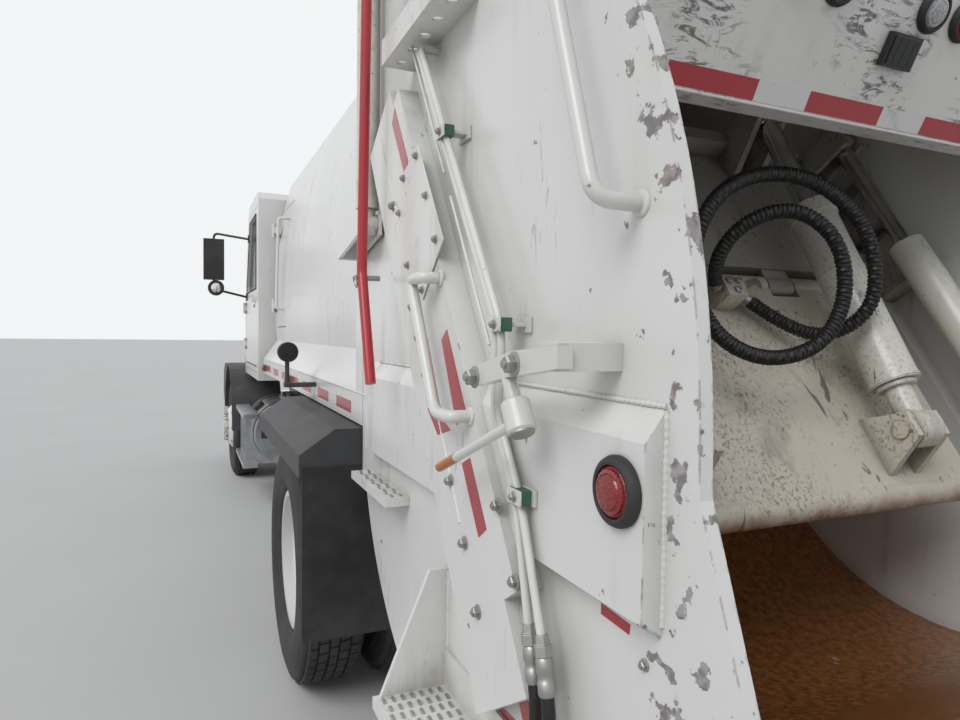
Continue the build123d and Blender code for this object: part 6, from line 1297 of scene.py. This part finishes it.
@dataclass
class TailgateFittings:
    """Step treads, handles, the arm with its lever, bolts, the latch pin and weld beads.

    Points are in x ahead of the rear axle and z; handles' points have y between them.
    """

    arm_y: float = 1.118
    low_handle: tuple[Point, ...] = (
        (-1.582, COVER_Y, 1.671), (-1.582, 1.112, 1.671), (-1.499, 1.112, 1.671),
        (-1.680, 1.112, 1.369), (-1.770, 1.112, 1.369), (-1.770, COVER_Y, 1.369),
    )
    high_handle: tuple[Point, ...] = (
        (-2.095, WALL_Y, 2.200), (-2.095, 1.092, 2.200), (-2.258, 1.092, 1.732),
        (-2.258, WALL_Y, 1.732),
    )
    handle_foot: Pairs = ((0, 0.021), (0.003, 0.020), (0.006, 0.015))
    treads_xyz: tuple[tuple[float, ...], ...] = (
        (-1.885, -1.515, 1.020, 1.192, 0.660), (-1.180, -0.770, 1.016, 1.078, 1.060),
    )
    tooth: tuple[tuple[float, float, float], ...] = (
        (0.013, 0.005, -0.0005), (0.009, 0.0018, 0.0045),
    )
    arm: Pairs = (
        (-2.232, 1.493), (-2.232, 1.526), (-2.090, 1.515), (-1.925, 1.481), (-1.910, 1.463),
        (-1.925, 1.445), (-2.090, 1.474),
    )
    stand_off: Pairs = (
        (-2.222, 1.488), (-2.222, 1.530), (-2.174, 1.532), (-2.174, 1.490),
    )
    prop_pin: tuple[tuple[float, float, float], ...] = (
        (WALL_Y, 1.120, 0.024), (1.119, 1.164, 0.012), (1.157, 1.167, 0.022),
    )
    wall_bolts: Pairs = (
        (-1.36, 1.20), (-1.30, 1.28), (-2.18, 1.52), (-2.29, 1.07),
    )
    seams: tuple[tuple[float, float, float, float], ...] = (
        (-1.72, 1.4455, -2.325, 1.4455), (-0.86, 1.4455, -1.34, 1.4455),
        (-2.3255, 1.14, -2.3255, 1.44), (-1.96, 1.1245, -2.32, 1.1245),
        (-1.500, 0.672, -1.500, 0.95), (-1.514, 0.672, -1.514, 0.95),
    )

    def treads(self) -> None:
        """Makes the toothed plates on the riding steps and pads."""
        teeth = Shape("step_treads")
        for side in SIDES:
            for x0, x1, y0, y1, z in self.treads_xyz:
                columns, rows = int((x1 - x0) / 0.036), int((y1 - y0) / 0.024)
                for i in range(columns):
                    for j in range(rows):
                        x = rel(x0 + (i + 0.5) * (x1 - x0) / columns)
                        y = side * (y0 + (j + 0.5 + 0.25 * (i % 2)) * (y1 - y0) / (rows + 0.25))
                        teeth.at((x, y, z))
                        teeth.skin([[(-a, -b, t), (a, -b, t), (a, b, t), (-a, b, t)]
                                    for a, b, t in self.tooth])
        teeth.make(Body.TAILGATE, Slot.STEEL, Looks.STEEL)

    def hardware(self) -> None:
        """Makes the arm's bolts, the hub's cap, the lever's tip, the latch pin and wall bolts."""
        bolts = Shape("tailgate_bolts")
        tip, ring = Shape("lever_tip"), Shape("latch_pin")
        for side in SIDES:
            y = side * (self.arm_y + 0.012)
            for x, z in ((-2.098, 1.494), (-1.940, 1.463)):
                bolts.bolt((rel(x), y, z), (0, side, 0), 0.026)
            bolts.turned(((0, 0.021), (0.004, 0.021), (0.006, 0.018)),
                         (rel(-2.1055), side * self.arm_y, 1.385), (-0.52, 0, -0.86), 24)
            for x, z in self.wall_bolts:
                bolts.bolt((rel(x), side * WALL_Y, z), (0, side, 0), 0.012)
            a = Vector((rel(-1.862), side * (self.arm_y + 0.0153), 1.3027))
            b = Vector((rel(-1.777), side * (self.arm_y + 0.018), 1.2676))
            tip.tube([a, a * 0.6 + b * 0.4, b], [0.0096, 0.0099, 0.0096], 18)
            x = rel(-1.115)
            ring.rod((x, side * 1.085, 1.702), (x, side * 1.160, 1.702), 0.008)
            loop = [Vector((x + 0.016 * math.cos(a), side * 1.158 + 0.004 * math.sin(a),
                            1.690 + 0.016 * math.sin(a)))
                    for a in (math.pi * k / 12 for k in range(24))]
            ring.tube(loop, 0.002, 8)
        bolts.make(Body.TAILGATE, Slot.STEEL, Looks.STEEL)
        tip.make(Body.TAILGATE, Slot.RAIL, Looks.ORANGE)
        ring.make(Body.TAILGATE, Slot.STEEL, Looks.STEEL)

    def welds(self) -> None:
        """Makes the beads where the ledges, the gussets and the crossbeam meet the walls."""
        beads = Shape("tailgate_welds")
        for side in SIDES:
            y = side * WALL_Y
            for x0, z0, x1, z1 in self.seams:
                beads.bead((rel(x0), y, z0), (rel(x1), y, z1))
        beads.bead((rel(-1.772), -0.984, 2.128), (rel(-1.772), 0.984, 2.128), 0.004)
        beads.make(Body.TAILGATE, Slot.WHITE, Looks.GUIDES)

    def rails(self) -> None:
        """Makes the handles, the arm on its stand-off, its hub and lever, and the prop's pin."""
        rails = Shape("tailgate_rails")
        for side in SIDES:
            for handle, bend, radius in ((self.low_handle, 0.030, 0.014),
                                         (self.high_handle, 0.034, 0.013)):
                run = [(rel(x), side * y, z) for x, y, z in handle]
                rails.tube(rounded(run, bend, 8), radius, 20)
                for foot in (run[0], run[-1]):
                    rails.turned(self.handle_foot, foot, (0, side, 0), 24)
            for outline, near, far in ((self.arm, self.arm_y - 0.014, self.arm_y + 0.012),
                                       (self.stand_off, WALL_Y, self.arm_y + 0.006)):
                rails.slab([(rel(x), z) for x, z in outline], *sorted((side * near, side * far)))
            y = side * self.arm_y
            rails.rod((rel(-2.048), y, 1.480), (rel(-2.078), y, 1.430), 0.013)
            rails.rod((rel(-2.077), y, 1.432), (rel(-2.106), y, 1.384), 0.025, 32)
            rails.rod((rel(-2.088), y + side * 0.008, 1.396),
                      (rel(-1.778), y + side * 0.018, 1.268), 0.009)
        for y0, y1, radius in self.prop_pin:
            rails.rod((rel(-1.160), y0, 2.600), (rel(-1.160), y1, 2.600), radius, 32)
        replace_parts(rails.make(Body.TAILGATE, Slot.RAIL, Looks.RAILS, 0.0015), "grab_rails")

    def build(self) -> None:
        """Makes all fittings."""
        self.treads()
        self.rails()
        self.hardware()
        self.welds()


@dataclass
class SweepCylinders:
    """Bands and pin caps on the packer's two sweep cylinders."""

    foot: tuple[float, float] = (-1.7235, 1.2696)
    head: tuple[float, float] = (-1.0838, 2.4055)
    y: float = 0.450
    radius: float = 0.075
    bands: tuple[tuple[float, float, float], ...] = (
        (0.152, 0.003, 0.012), (0.795, 0.006, 0.054), (0.560, 0.002, 0.010),
    )
    cap: Pairs = ((0, 0.0595), (0.001, 0.0595), (0.0035, 0.050))
    cap_y: float = 0.0402

    def build(self) -> None:
        """Makes the bands and the caps of both cylinders."""
        shape, caps = Shape("sweep_cylinder_bands"), Shape("sweep_pin_caps")
        a = Vector((rel(self.foot[0]), 0, self.foot[1]))
        along = (Vector((rel(self.head[0]), 0, self.head[1])) - a).normalized()
        for side in SIDES:
            base = a + Vector((0, side * self.y, 0))
            for t, grow, long in self.bands:
                r = self.radius
                rows = ((0, r - 0.001), (0.002, r + grow), (long - 0.002, r + grow),
                        (long, r - 0.001))
                shape.turned(rows, base + along * t, along, 48)
            for way in (-1, 1):
                seat = (base.x, base.y + way * self.cap_y, base.z)
                caps.turned(self.cap, seat, (0, way, 0), 36)
            caps.rod(base + along * 0.135, base + along * 0.150, 0.060, 30)
        shape.make(Body.SWEEP_BARRELS, Slot.CYLINDER, Looks.CYLINDERS)
        caps.make(Body.SWEEP_BARRELS, Slot.CYLINDER, Looks.CYLINDERS)


# ---------------------------------------------------------------- body and cab


@dataclass
class BodyFittings:
    """Work lamps, side markers and the weld seams on the body's rails."""

    lamp_x: float = 0.380
    lamp_y: float = 1.150
    lamp_z: float = 1.442
    lamp_r: float = 0.050
    foot_z: float = 1.288
    marker_xs: tuple[float, float] = (2.690, 1.300)
    marker_y: float = 1.030
    house: Pairs = (
        (-0.040, 0.96), (-0.036, 1.0), (-0.012, 1.0), (0.000, 0.90), (0.004, 0.98), (0.008, 0.86),
        (0.012, 0.92), (0.016, 0.74), (0.020, 0.80), (0.024, 0.55), (0.030, 0.30),
    )
    lens: Pairs = ((-0.0415, 0.45), (-0.0415, 0.90), (-0.036, 0.95))
    marker: Pairs = ((0.0, 0.021), (0.010, 0.020), (0.015, 0.014), (0.017, 0.0))

    def lamps(self) -> None:
        """Makes the work lamps' ribbed housings and lenses, and the side markers."""
        house, lens, amber = Shape("work_lamps"), Shape("work_lamp_lenses"), Shape("side_markers")
        r = self.lamp_r
        for side in SIDES:
            seat = (rel(self.lamp_x), side * self.lamp_y, self.lamp_z)
            for shape, rows in ((house, self.house), (lens, self.lens)):
                shape.turned([(t, r * share) for t, share in rows], seat, (1, 0, 0), 36)
            x, z = seat[0], seat[2]
            foot = (x, seat[1], self.foot_z)
            house.rod((x, seat[1], z - r + 0.004), foot, 0.011)
            y0, y1 = sorted((side * WALL_Y, side * 1.165))
            house.box((x - 0.025, y0, 1.266), (x + 0.025, y1, self.foot_z))
            house.bolt(foot, (0, 0, 1), 0.022)
            for mark in self.marker_xs:
                y0, y1 = sorted((side * WALL_Y, side * self.marker_y))
                house.box((rel(mark) - 0.056, y0, 1.218), (rel(mark) + 0.056, y1, 1.268))
                seat = (rel(mark), side * self.marker_y, 1.243)
                amber.turned(self.marker, seat, (0, side, 0), 28)
        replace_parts(house.make(Body.CHASSIS, Slot.PLASTIC, Looks.PLASTIC, 0.0012), "body_lamps")
        lens.make(Body.CHASSIS, Slot.HEADLAMP, Looks.BLACK_LENS)
        amber.make(Body.CHASSIS, Slot.AMBER, Looks.AMBER)

    def seams(self) -> None:
        """Makes the weld beads along the body's rails."""
        beads = Shape("body_welds")
        for y in (WALL_Y, -WALL_Y):
            beads.bead((rel(-0.85), y, 1.3135), (rel(2.84), y, 1.3135), 0.0035)
        beads.make(Body.CHASSIS, Slot.WHITE, Looks.BODY)

    def build(self) -> None:
        """Makes all fittings."""
        self.lamps()
        self.seams()


@dataclass
class Cushion:
    """One pad of a cab seat, blown up from a slab by a short cloth run."""

    name: str
    outline: Pairs
    y: float
    half_width: float
    channels: tuple[float, ...] = (-0.11, 0.0, 0.11)
    voxel: float = 0.011
    pressure: float = 4.0
    cap: float = 0.014
    frames: int = 14

    def build(self) -> Any:
        """Makes the pad.

        Returns:
            The pad's object.
        """
        middle = [sum(p[k] for p in self.outline) / len(self.outline) for k in (0, 1)]
        points = [(middle[0] + (x - middle[0]) * 0.93, middle[1] + (z - middle[1]) * 0.90)
                  for x, z in self.outline]
        shape = Shape(self.name)
        shape.slab(points, self.y - self.half_width * 0.95, self.y + self.half_width * 0.95)
        piece = shape.make(Body.CHASSIS, Slot.SEAT, Looks.SEAT)
        self.apply(piece, "BEVEL", width=0.030, segments=3)
        self.apply(piece, "REMESH", mode="VOXEL", voxel_size=self.voxel)
        self.blow(piece)
        self.sew(piece, points)
        self.apply(piece, "SUBSURF", levels=1)
        piece.data.polygons.foreach_set("use_smooth", [True] * len(piece.data.polygons))
        return piece

    def apply(self, piece: Any, kind: str, **settings: Any) -> None:
        """Adds one modifier and applies it.

        Args:
            piece: the pad.
            kind: the modifier's type.
            settings: the modifier's own properties.
        """
        modifier = piece.modifiers.new("step", kind)
        for key, value in settings.items():
            setattr(modifier, key, value)
        self.freeze(piece)

    def freeze(self, piece: Any) -> None:
        """Replaces the pad's mesh by what its modifiers make of it."""
        depsgraph = bpy.context.evaluated_depsgraph_get()
        made = bpy.data.meshes.new_from_object(piece.evaluated_get(depsgraph))
        piece.modifiers.clear()
        piece.data = made

    def blow(self, piece: Any) -> None:
        """Runs cloth pressure on the pad and caps how far each point moves."""
        before = [v.co.copy() for v in piece.data.vertices]
        cloth = piece.modifiers.new("cloth", "CLOTH")
        cloth.settings.use_pressure = True
        cloth.settings.uniform_pressure_force = self.pressure
        cloth.settings.quality = 4
        cloth.settings.effector_weights.gravity = 0.0
        scene = bpy.context.scene
        cloth.point_cache.frame_start = 1
        cloth.point_cache.frame_end = self.frames
        for step in range(1, self.frames + 1):
            scene.frame_set(step)
        self.freeze(piece)
        scene.frame_set(1)
        for vertex, old in zip(piece.data.vertices, before):
            move = vertex.co - old
            if move.length > self.cap:
                vertex.co = old + move.normalized() * self.cap

    def sew(self, piece: Any, points: Sequence[tuple[float, float]]) -> None:
        """Presses the sewn channels and the edge seam into the pad.

        Args:
            piece: the pad.
            points: its outline before the cloth run; not used.
        """
        for vertex in piece.data.vertices:
            near = min(abs(vertex.co.y - self.y - c) for c in self.channels)
            edge = abs(abs(vertex.co.y - self.y) - self.half_width * 0.80)
            depth = 0.007 * math.exp(-(near / 0.008) ** 2) + 0.006 * math.exp(-(edge / 0.008) ** 2)
            vertex.co -= vertex.normal * depth


@dataclass
class CabSeats:
    """Two cloth seats on pedestals with ribbed boots and slides."""

    seat_y: float = 0.520
    seat_x: float = 1.670
    floor_z: float = 1.165
    cushion_z: float = 1.495
    boot_folds: int = 7
    fold_height: float = 0.040

    def build(self) -> None:
        """Makes the cushions, the backs and the pedestals."""
        stand = Shape("seat_pedestals")
        x, z = self.seat_x, self.cushion_z
        for side, y in (("left", self.seat_y), ("right", -self.seat_y)):
            Cushion(side + "_seat_cushion", ((x - 0.218, z + 0.004), (x + 0.268, z + 0.004),
                    (x + 0.268, z + 0.128), (x - 0.218, z + 0.118)), y, 0.248).build()
            back = Cushion(side + "_seat_back", ((x - 0.215, z + 0.150), (x - 0.098, z + 0.150),
                           (x - 0.152, z + 0.795), (x - 0.255, z + 0.795)), y, 0.238).build()
            if side == "left":
                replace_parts(back, "cab_seats")
            for n in range(self.boot_folds):
                grow = 0.012 if n % 2 else 0.0
                low = self.floor_z + 0.03 + n * self.fold_height
                stand.box((x - 0.150 - grow, y - 0.165 - grow, low),
                          (x + 0.185 + grow, y + 0.165 + grow, low + 0.042))
            stand.box((x - 0.160, y - 0.180, self.floor_z),
                      (x + 0.200, y + 0.180, self.floor_z + 0.032))
            stand.box((x - 0.200, y - 0.215, z - 0.038), (x + 0.240, y + 0.215, z + 0.006))
        stand.make(Body.CHASSIS, Slot.PLASTIC, Looks.PLASTIC, 0.004)


@dataclass
class CabFittings:
    """Wipers, roof markers, mirrors, door trim, lamps' rims, latches, ribs and tank straps."""

    doors_by_side: tuple[tuple[int, Body, str], ...] = (
        (1, Body.LEFT_DOOR, "left"), (-1, Body.RIGHT_DOOR, "right"),
    )
    roof_z: float = 2.740
    cowl: tuple[float, float] = (2.690, 1.860)
    head: tuple[float, float] = (2.320, 2.670)
    wipers_y: Pairs = ((0.52, 0.16), (-0.30, -0.66))
    half_w: float = 1.045
    marker_x: float = 2.17
    marker_ys: tuple[float, ...] = (-0.88, -0.18, 0.0, 0.18, 0.88)
    mirror_y: float = 1.360
    mirror_x: float = 2.434
    convex: Point = (2.4335, 1.340, 1.970)
    window: Pairs = (
        (1.532, 1.922), (1.532, 2.578), (2.135, 2.578), (2.460, 1.990), (2.460, 1.922),
    )
    headlamp: Point = (3.873, 1.090, 0.960)
    bulb_offset: float = 0.04125
    latch_x: tuple[float, float] = (2.735, 2.775)
    rib_x: tuple[float, float] = (1.37, 2.21)
    rib_zs: tuple[float, float] = (0.400, 0.830)
    strap_xs: tuple[float, float] = (1.52, 2.06)
    wiper_hub: Pairs = ((0, 0.018), (0.012, 0.017), (0.018, 0.010))
    marker_foot: Pairs = ((-0.001, 0.045), (0.004, 0.044), (0.007, 0.036))
    marker_lens: Pairs = (
        (0.0, 0.034), (0.012, 0.033), (0.024, 0.026), (0.030, 0.014), (0.032, 0.0),
    )
    convex_face: Pairs = (
        (0.0, 0.066), (0.004, 0.064), (0.008, 0.050), (0.011, 0.030), (0.012, 0.0),
    )
    convex_rim: Pairs = (
        (0.0, 0.0755), (0.006, 0.0750), (0.008, 0.0700), (0.0035, 0.0665), (0.0, 0.066),
    )
    lock: Pairs = ((0, 0.013), (0.004, 0.013), (0.005, 0.009))
    headlamp_rim: Pairs = ((0.0, 0.040), (0.004, 0.040), (0.004, 0.034), (0.0, 0.033))
    reflector: Pairs = (
        (-0.012, 0.008), (-0.010, 0.020), (-0.003, 0.032), (0.0005, 0.034), (-0.002, 0.031),
    )
    strap: Pairs = ((0.0, 0.2705), (0.0, 0.2745), (0.04, 0.2745), (0.04, 0.2705))
    tank_lid: Pairs = ((0, 0.048), (0.030, 0.048), (0.034, 0.042), (0.034, 0.0))

    def screen_point(self, share: float, y: float, off: float) -> Vector:
        """Gives a point on the windscreen's plane.

        Args:
            share: 0 at the cowl and 1 at the roof.
            y: the width.
            off: distance out of the plane.

        Returns:
            The point.
        """
        (x0, z0), (x1, z1) = self.cowl, self.head
        up = Vector((x1 - x0, 0, z1 - z0))
        out = Vector((up.z, 0, -up.x)).normalized()
        return Vector((x0, y, z0)) + up * share + out * off

    def wipers(self) -> None:
        """Makes both wipers on the windscreen."""
        arms, blades = Shape("wiper_arms"), Shape("wiper_blades")
        for pivot, tip in self.wipers_y:
            foot = self.screen_point(0.03, pivot, 0.004)
            mid = self.screen_point(0.28, (pivot + tip) / 2, 0.020)
            end = self.screen_point(0.46, tip, 0.013)
            out = self.screen_point(0.03, pivot, 1.0) - self.screen_point(0.03, pivot, 0.0)
            arms.turned(self.wiper_hub, foot, out, 20)
            arms.tube(rounded([foot, mid, end], 0.10), 0.0045, 8)
            low = self.screen_point(0.12, tip + 0.05, 0.008)
            high = self.screen_point(0.84, tip - 0.03, 0.008)
            blades.tube([low, low * 0.5 + high * 0.5, high], 0.0055, 8)
        arms.make(Body.CHASSIS, Slot.PLASTIC, Looks.GLOSS_BLACK)
        blades.make(Body.CHASSIS, Slot.RUBBER, Looks.RUBBER)

    def markers(self) -> None:
        """Makes the five amber marker lamps on the roof."""
        base, lens = Shape("roof_marker_bases"), Shape("roof_markers")
        x = self.marker_x
        for y in self.marker_ys:
            base.turned(self.marker_foot, (x, y, self.roof_z - 0.001), (0, 0, 1), 28)
            lens.turned(self.marker_lens, (x, y, self.roof_z + 0.004), (0, 0, 1), 28)
        base.make(Body.CHASSIS, Slot.PLASTIC, Looks.PLASTIC)
        lens.make(Body.CHASSIS, Slot.AMBER, Looks.AMBER)

    def mirrors(self) -> None:
        """Makes each door's mirror glass, convex mirror and bracket bolts."""
        for side, body, place in self.doors_by_side:
            y, back = side * self.mirror_y, self.mirror_x
            round_at = (self.convex[0], side * self.convex[1], self.convex[2])
            face = Shape(place + "_mirror_glass")
            face.box((back - 0.0022, y - 0.080, 2.066), (back - 0.0002, y + 0.080, 2.434))
            face.turned(self.convex_face, round_at, (-1, 0, 0), 36)
            face.make(body, Slot.MIRROR, Looks.MIRROR_FACE, 0.001)
            rim = Shape(place + "_mirror_rim")
            for y0, y1, z0, z1 in (
                (-0.0945, -0.080, 2.051, 2.449), (0.080, 0.0945, 2.051, 2.449),
                (-0.0945, 0.0945, 2.051, 2.066), (-0.0945, 0.0945, 2.434, 2.449),
            ):
                rim.box((back - 0.006, y + y0, z0), (back - 0.0002, y + y1, z1))
            rim.turned(self.convex_rim, round_at, (-1, 0, 0), 36)
            for z in (2.12, 2.38):
                rim.bolt((2.502, y, z), (1, 0, 0), 0.013)
            rim.make(body, Slot.MIRROR, Looks.GLOSS_BLACK, 0.001)

    def doors(self) -> None:
        """Makes the windows' seals, the key locks and the lower seams of the doors."""
        for side, body, place in self.doors_by_side:
            y = side * (self.half_w + 0.001)
            trim = Shape(place + "_door_trim")
            corners = [(x, y, z) for x, z in self.window]
            trim.tube(rounded(corners + corners[:1], 0.02), 0.006, 8)
            trim.turned(self.lock, (1.71, y, 1.775), (0, side, 0), 20)
            trim.bead((1.50, y, 1.235), (2.55, y, 1.235), 0.004)
            trim.make(body, Slot.RUBBER, Looks.RUBBER)

    def front(self) -> None:
        """Makes the headlamps' reflectors and rims and the hood's latches."""
        shine, rim = Shape("headlamp_reflectors"), Shape("headlamp_rims")
        x, y, z = self.headlamp
        for side in SIDES:
            for dy in (-self.bulb_offset, self.bulb_offset):
                centre = (x, side * y + dy, z)
                rim.turned(self.headlamp_rim, centre, (1, 0, 0), 32, looped=True)
                shine.turned(self.reflector, centre, (1, 0, 0), 32)
        shine.make(Body.HOOD, Slot.CHROME, Looks.CHROME)
        rim.make(Body.HOOD, Slot.PLASTIC, Looks.GLOSS_BLACK)
        latch = Shape("hood_latches")
        x0, x1 = self.latch_x
        for side in SIDES:
            y0, y1 = sorted((side * 1.030, side * 1.036))
            latch.box((x0, y0, 1.180), (x1, y1, 1.300))
            x, y = (x0 + x1) / 2, side * 1.036
            latch.rod((x, y, 1.200), (x, y, 1.285), 0.006)
        latch.make(Body.HOOD, Slot.RUBBER, Looks.RUBBER, 0.003)

    def steps(self) -> None:
        """Makes the bright ribs on the cab steps and the tanks' straps."""
        ribs, straps = Shape("cab_step_ribs"), Shape("tank_straps")
        x0, x1 = self.rib_x
        for side in SIDES:
            for z in self.rib_zs:
                for k in range(5):
                    y = side * (1.060 + k * 0.022)
                    ribs.box((x0, y - 0.004, z - 0.0005), (x1, y + 0.004, z + 0.004))
            for x in self.strap_xs:
                centre = (x - 0.02, side * 0.800, 0.650)
                straps.turned(self.strap, centre, (1, 0, 0), 64, looped=True)
            lid = (1.79, side * 0.985, 0.845)
            straps.turned(self.tank_lid, lid, (0, side * 0.72, 0.72), 28)
        ribs.make(Body.CHASSIS, Slot.ALUMINIUM, Looks.ALUMINIUM)
        straps.make(Body.CHASSIS, Slot.RUBBER, Looks.RUBBER)

    def build(self) -> None:
        """Makes all fittings of the cab."""
        self.wipers()
        self.markers()
        self.mirrors()
        self.doors()
        self.front()
        self.steps()


# ---------------------------------------------------------------- studio


@dataclass
class Studio:
    """The camera at the photograph's angle, the floor, the lamps and the world."""

    eye: Point = (REAR_AXLE_X - 3.05, 1.61, 1.54)
    yaw: float = 23.8
    pitch: float = 2.17
    roll: float = 0.745
    lens: float = 24.975
    floor_half: float = 120.0
    floor_colour: Colour = (0.60, 0.60, 0.60)
    sky: float = 0.50
    sun: float = 1.45

    def camera(self) -> None:
        """Places the camera by its eye point, yaw, pitch and roll."""
        yaw, pitch, roll = (math.radians(v) for v in (self.yaw, self.pitch, self.roll))
        ahead = Vector((math.cos(yaw) * math.cos(pitch), -math.sin(yaw) * math.cos(pitch),
                        -math.sin(pitch)))
        right = ahead.cross(Vector((0, 0, 1))).normalized()
        up = right.cross(ahead)
        tilted_right = right * math.cos(roll) + up * math.sin(roll)
        tilted_up = up * math.cos(roll) - right * math.sin(roll)
        data = bpy.data.cameras.new("photo_camera")
        data.sensor_width = 36.0
        data.lens = self.lens
        data.clip_start = 0.02
        data.clip_end = 400.0
        camera = placed("photo_camera", data)
        turn = Matrix((tilted_right, tilted_up, -ahead)).transposed()
        camera.matrix_world = Matrix.Translation(self.eye) @ turn.to_4x4()
        bpy.context.scene.camera = camera

    def floor(self) -> None:
        """Lays the plain pale floor."""
        mesh = bpy.data.meshes.new("floor")
        s = self.floor_half
        mesh.from_pydata([(-s, -s, 0), (s, -s, 0), (s, s, 0), (-s, s, 0)], [], [(0, 1, 2, 3)])
        floor = placed("floor", mesh)
        g = Graph("floor")
        shade = g.mix(g.span(g.noise(0.8, 4.0), 0.3, 0.7),
                      tuple(c * 0.97 for c in self.floor_colour), self.floor_colour)
        mesh.materials.append(g.finish(Base_Color=shade, Roughness=0.85))

    def lights(self) -> None:
        """Sets the soft sky and one broad lamp."""
        world = bpy.data.worlds.new("studio")
        bpy.context.scene.world = world
        world.use_nodes = True
        tree = world.node_tree
        tree.nodes.clear()
        out, seen, soft, mix, path, either, both = (
            tree.nodes.new("ShaderNode" + kind) for kind in
            ("OutputWorld", "Background", "Background", "MixShader", "LightPath", "Math", "Math")
        )
        either.operation = both.operation = "MAXIMUM"
        seen.inputs[0].default_value = (0.90, 0.91, 0.92, 1.0)
        soft.inputs[0].default_value = (0.96, 0.98, 1.0, 1.0)
        soft.inputs[1].default_value = self.sky
        for output, target in (
            (path.outputs["Is Camera Ray"], either.inputs[0]),
            (path.outputs["Is Glossy Ray"], either.inputs[1]),
            (either.outputs[0], both.inputs[0]),
            (path.outputs["Is Transmission Ray"], both.inputs[1]),
            (both.outputs[0], mix.inputs[0]),
            (soft.outputs[0], mix.inputs[1]),
            (seen.outputs[0], mix.inputs[2]),
            (mix.outputs[0], out.inputs[0]),
        ):
            tree.links.new(output, target)
        lamp = bpy.data.lights.new("broad_lamp", "SUN")
        lamp.energy = self.sun
        lamp.angle = math.radians(35)
        holder = placed("broad_lamp", lamp)
        holder.rotation_euler = (math.radians(-38), math.radians(-28), 0)

    def build(self) -> None:
        """Makes the whole studio."""
        self.camera()
        self.floor()
        self.lights()
        bpy.context.scene.view_settings.view_transform = "Standard"


def main() -> None:
    """Builds the studio and every sub-assembly in order."""
    logging.basicConfig(level=logging.INFO, format="%(message)s")
    Studio().build()
    HopperHose().build()
    dress_nodes()
    makers = (RunningGear(), ReflectiveTape(), GuideFittings(), TailLamps(), HydraulicLines(),
              TailgateFittings(), SweepCylinders(), BodyFittings(), CabSeats(), CabFittings())
    for maker in makers:
        LOG.info("building %s", type(maker).__name__)
        maker.build()


if __name__ == "__main__":
    main()
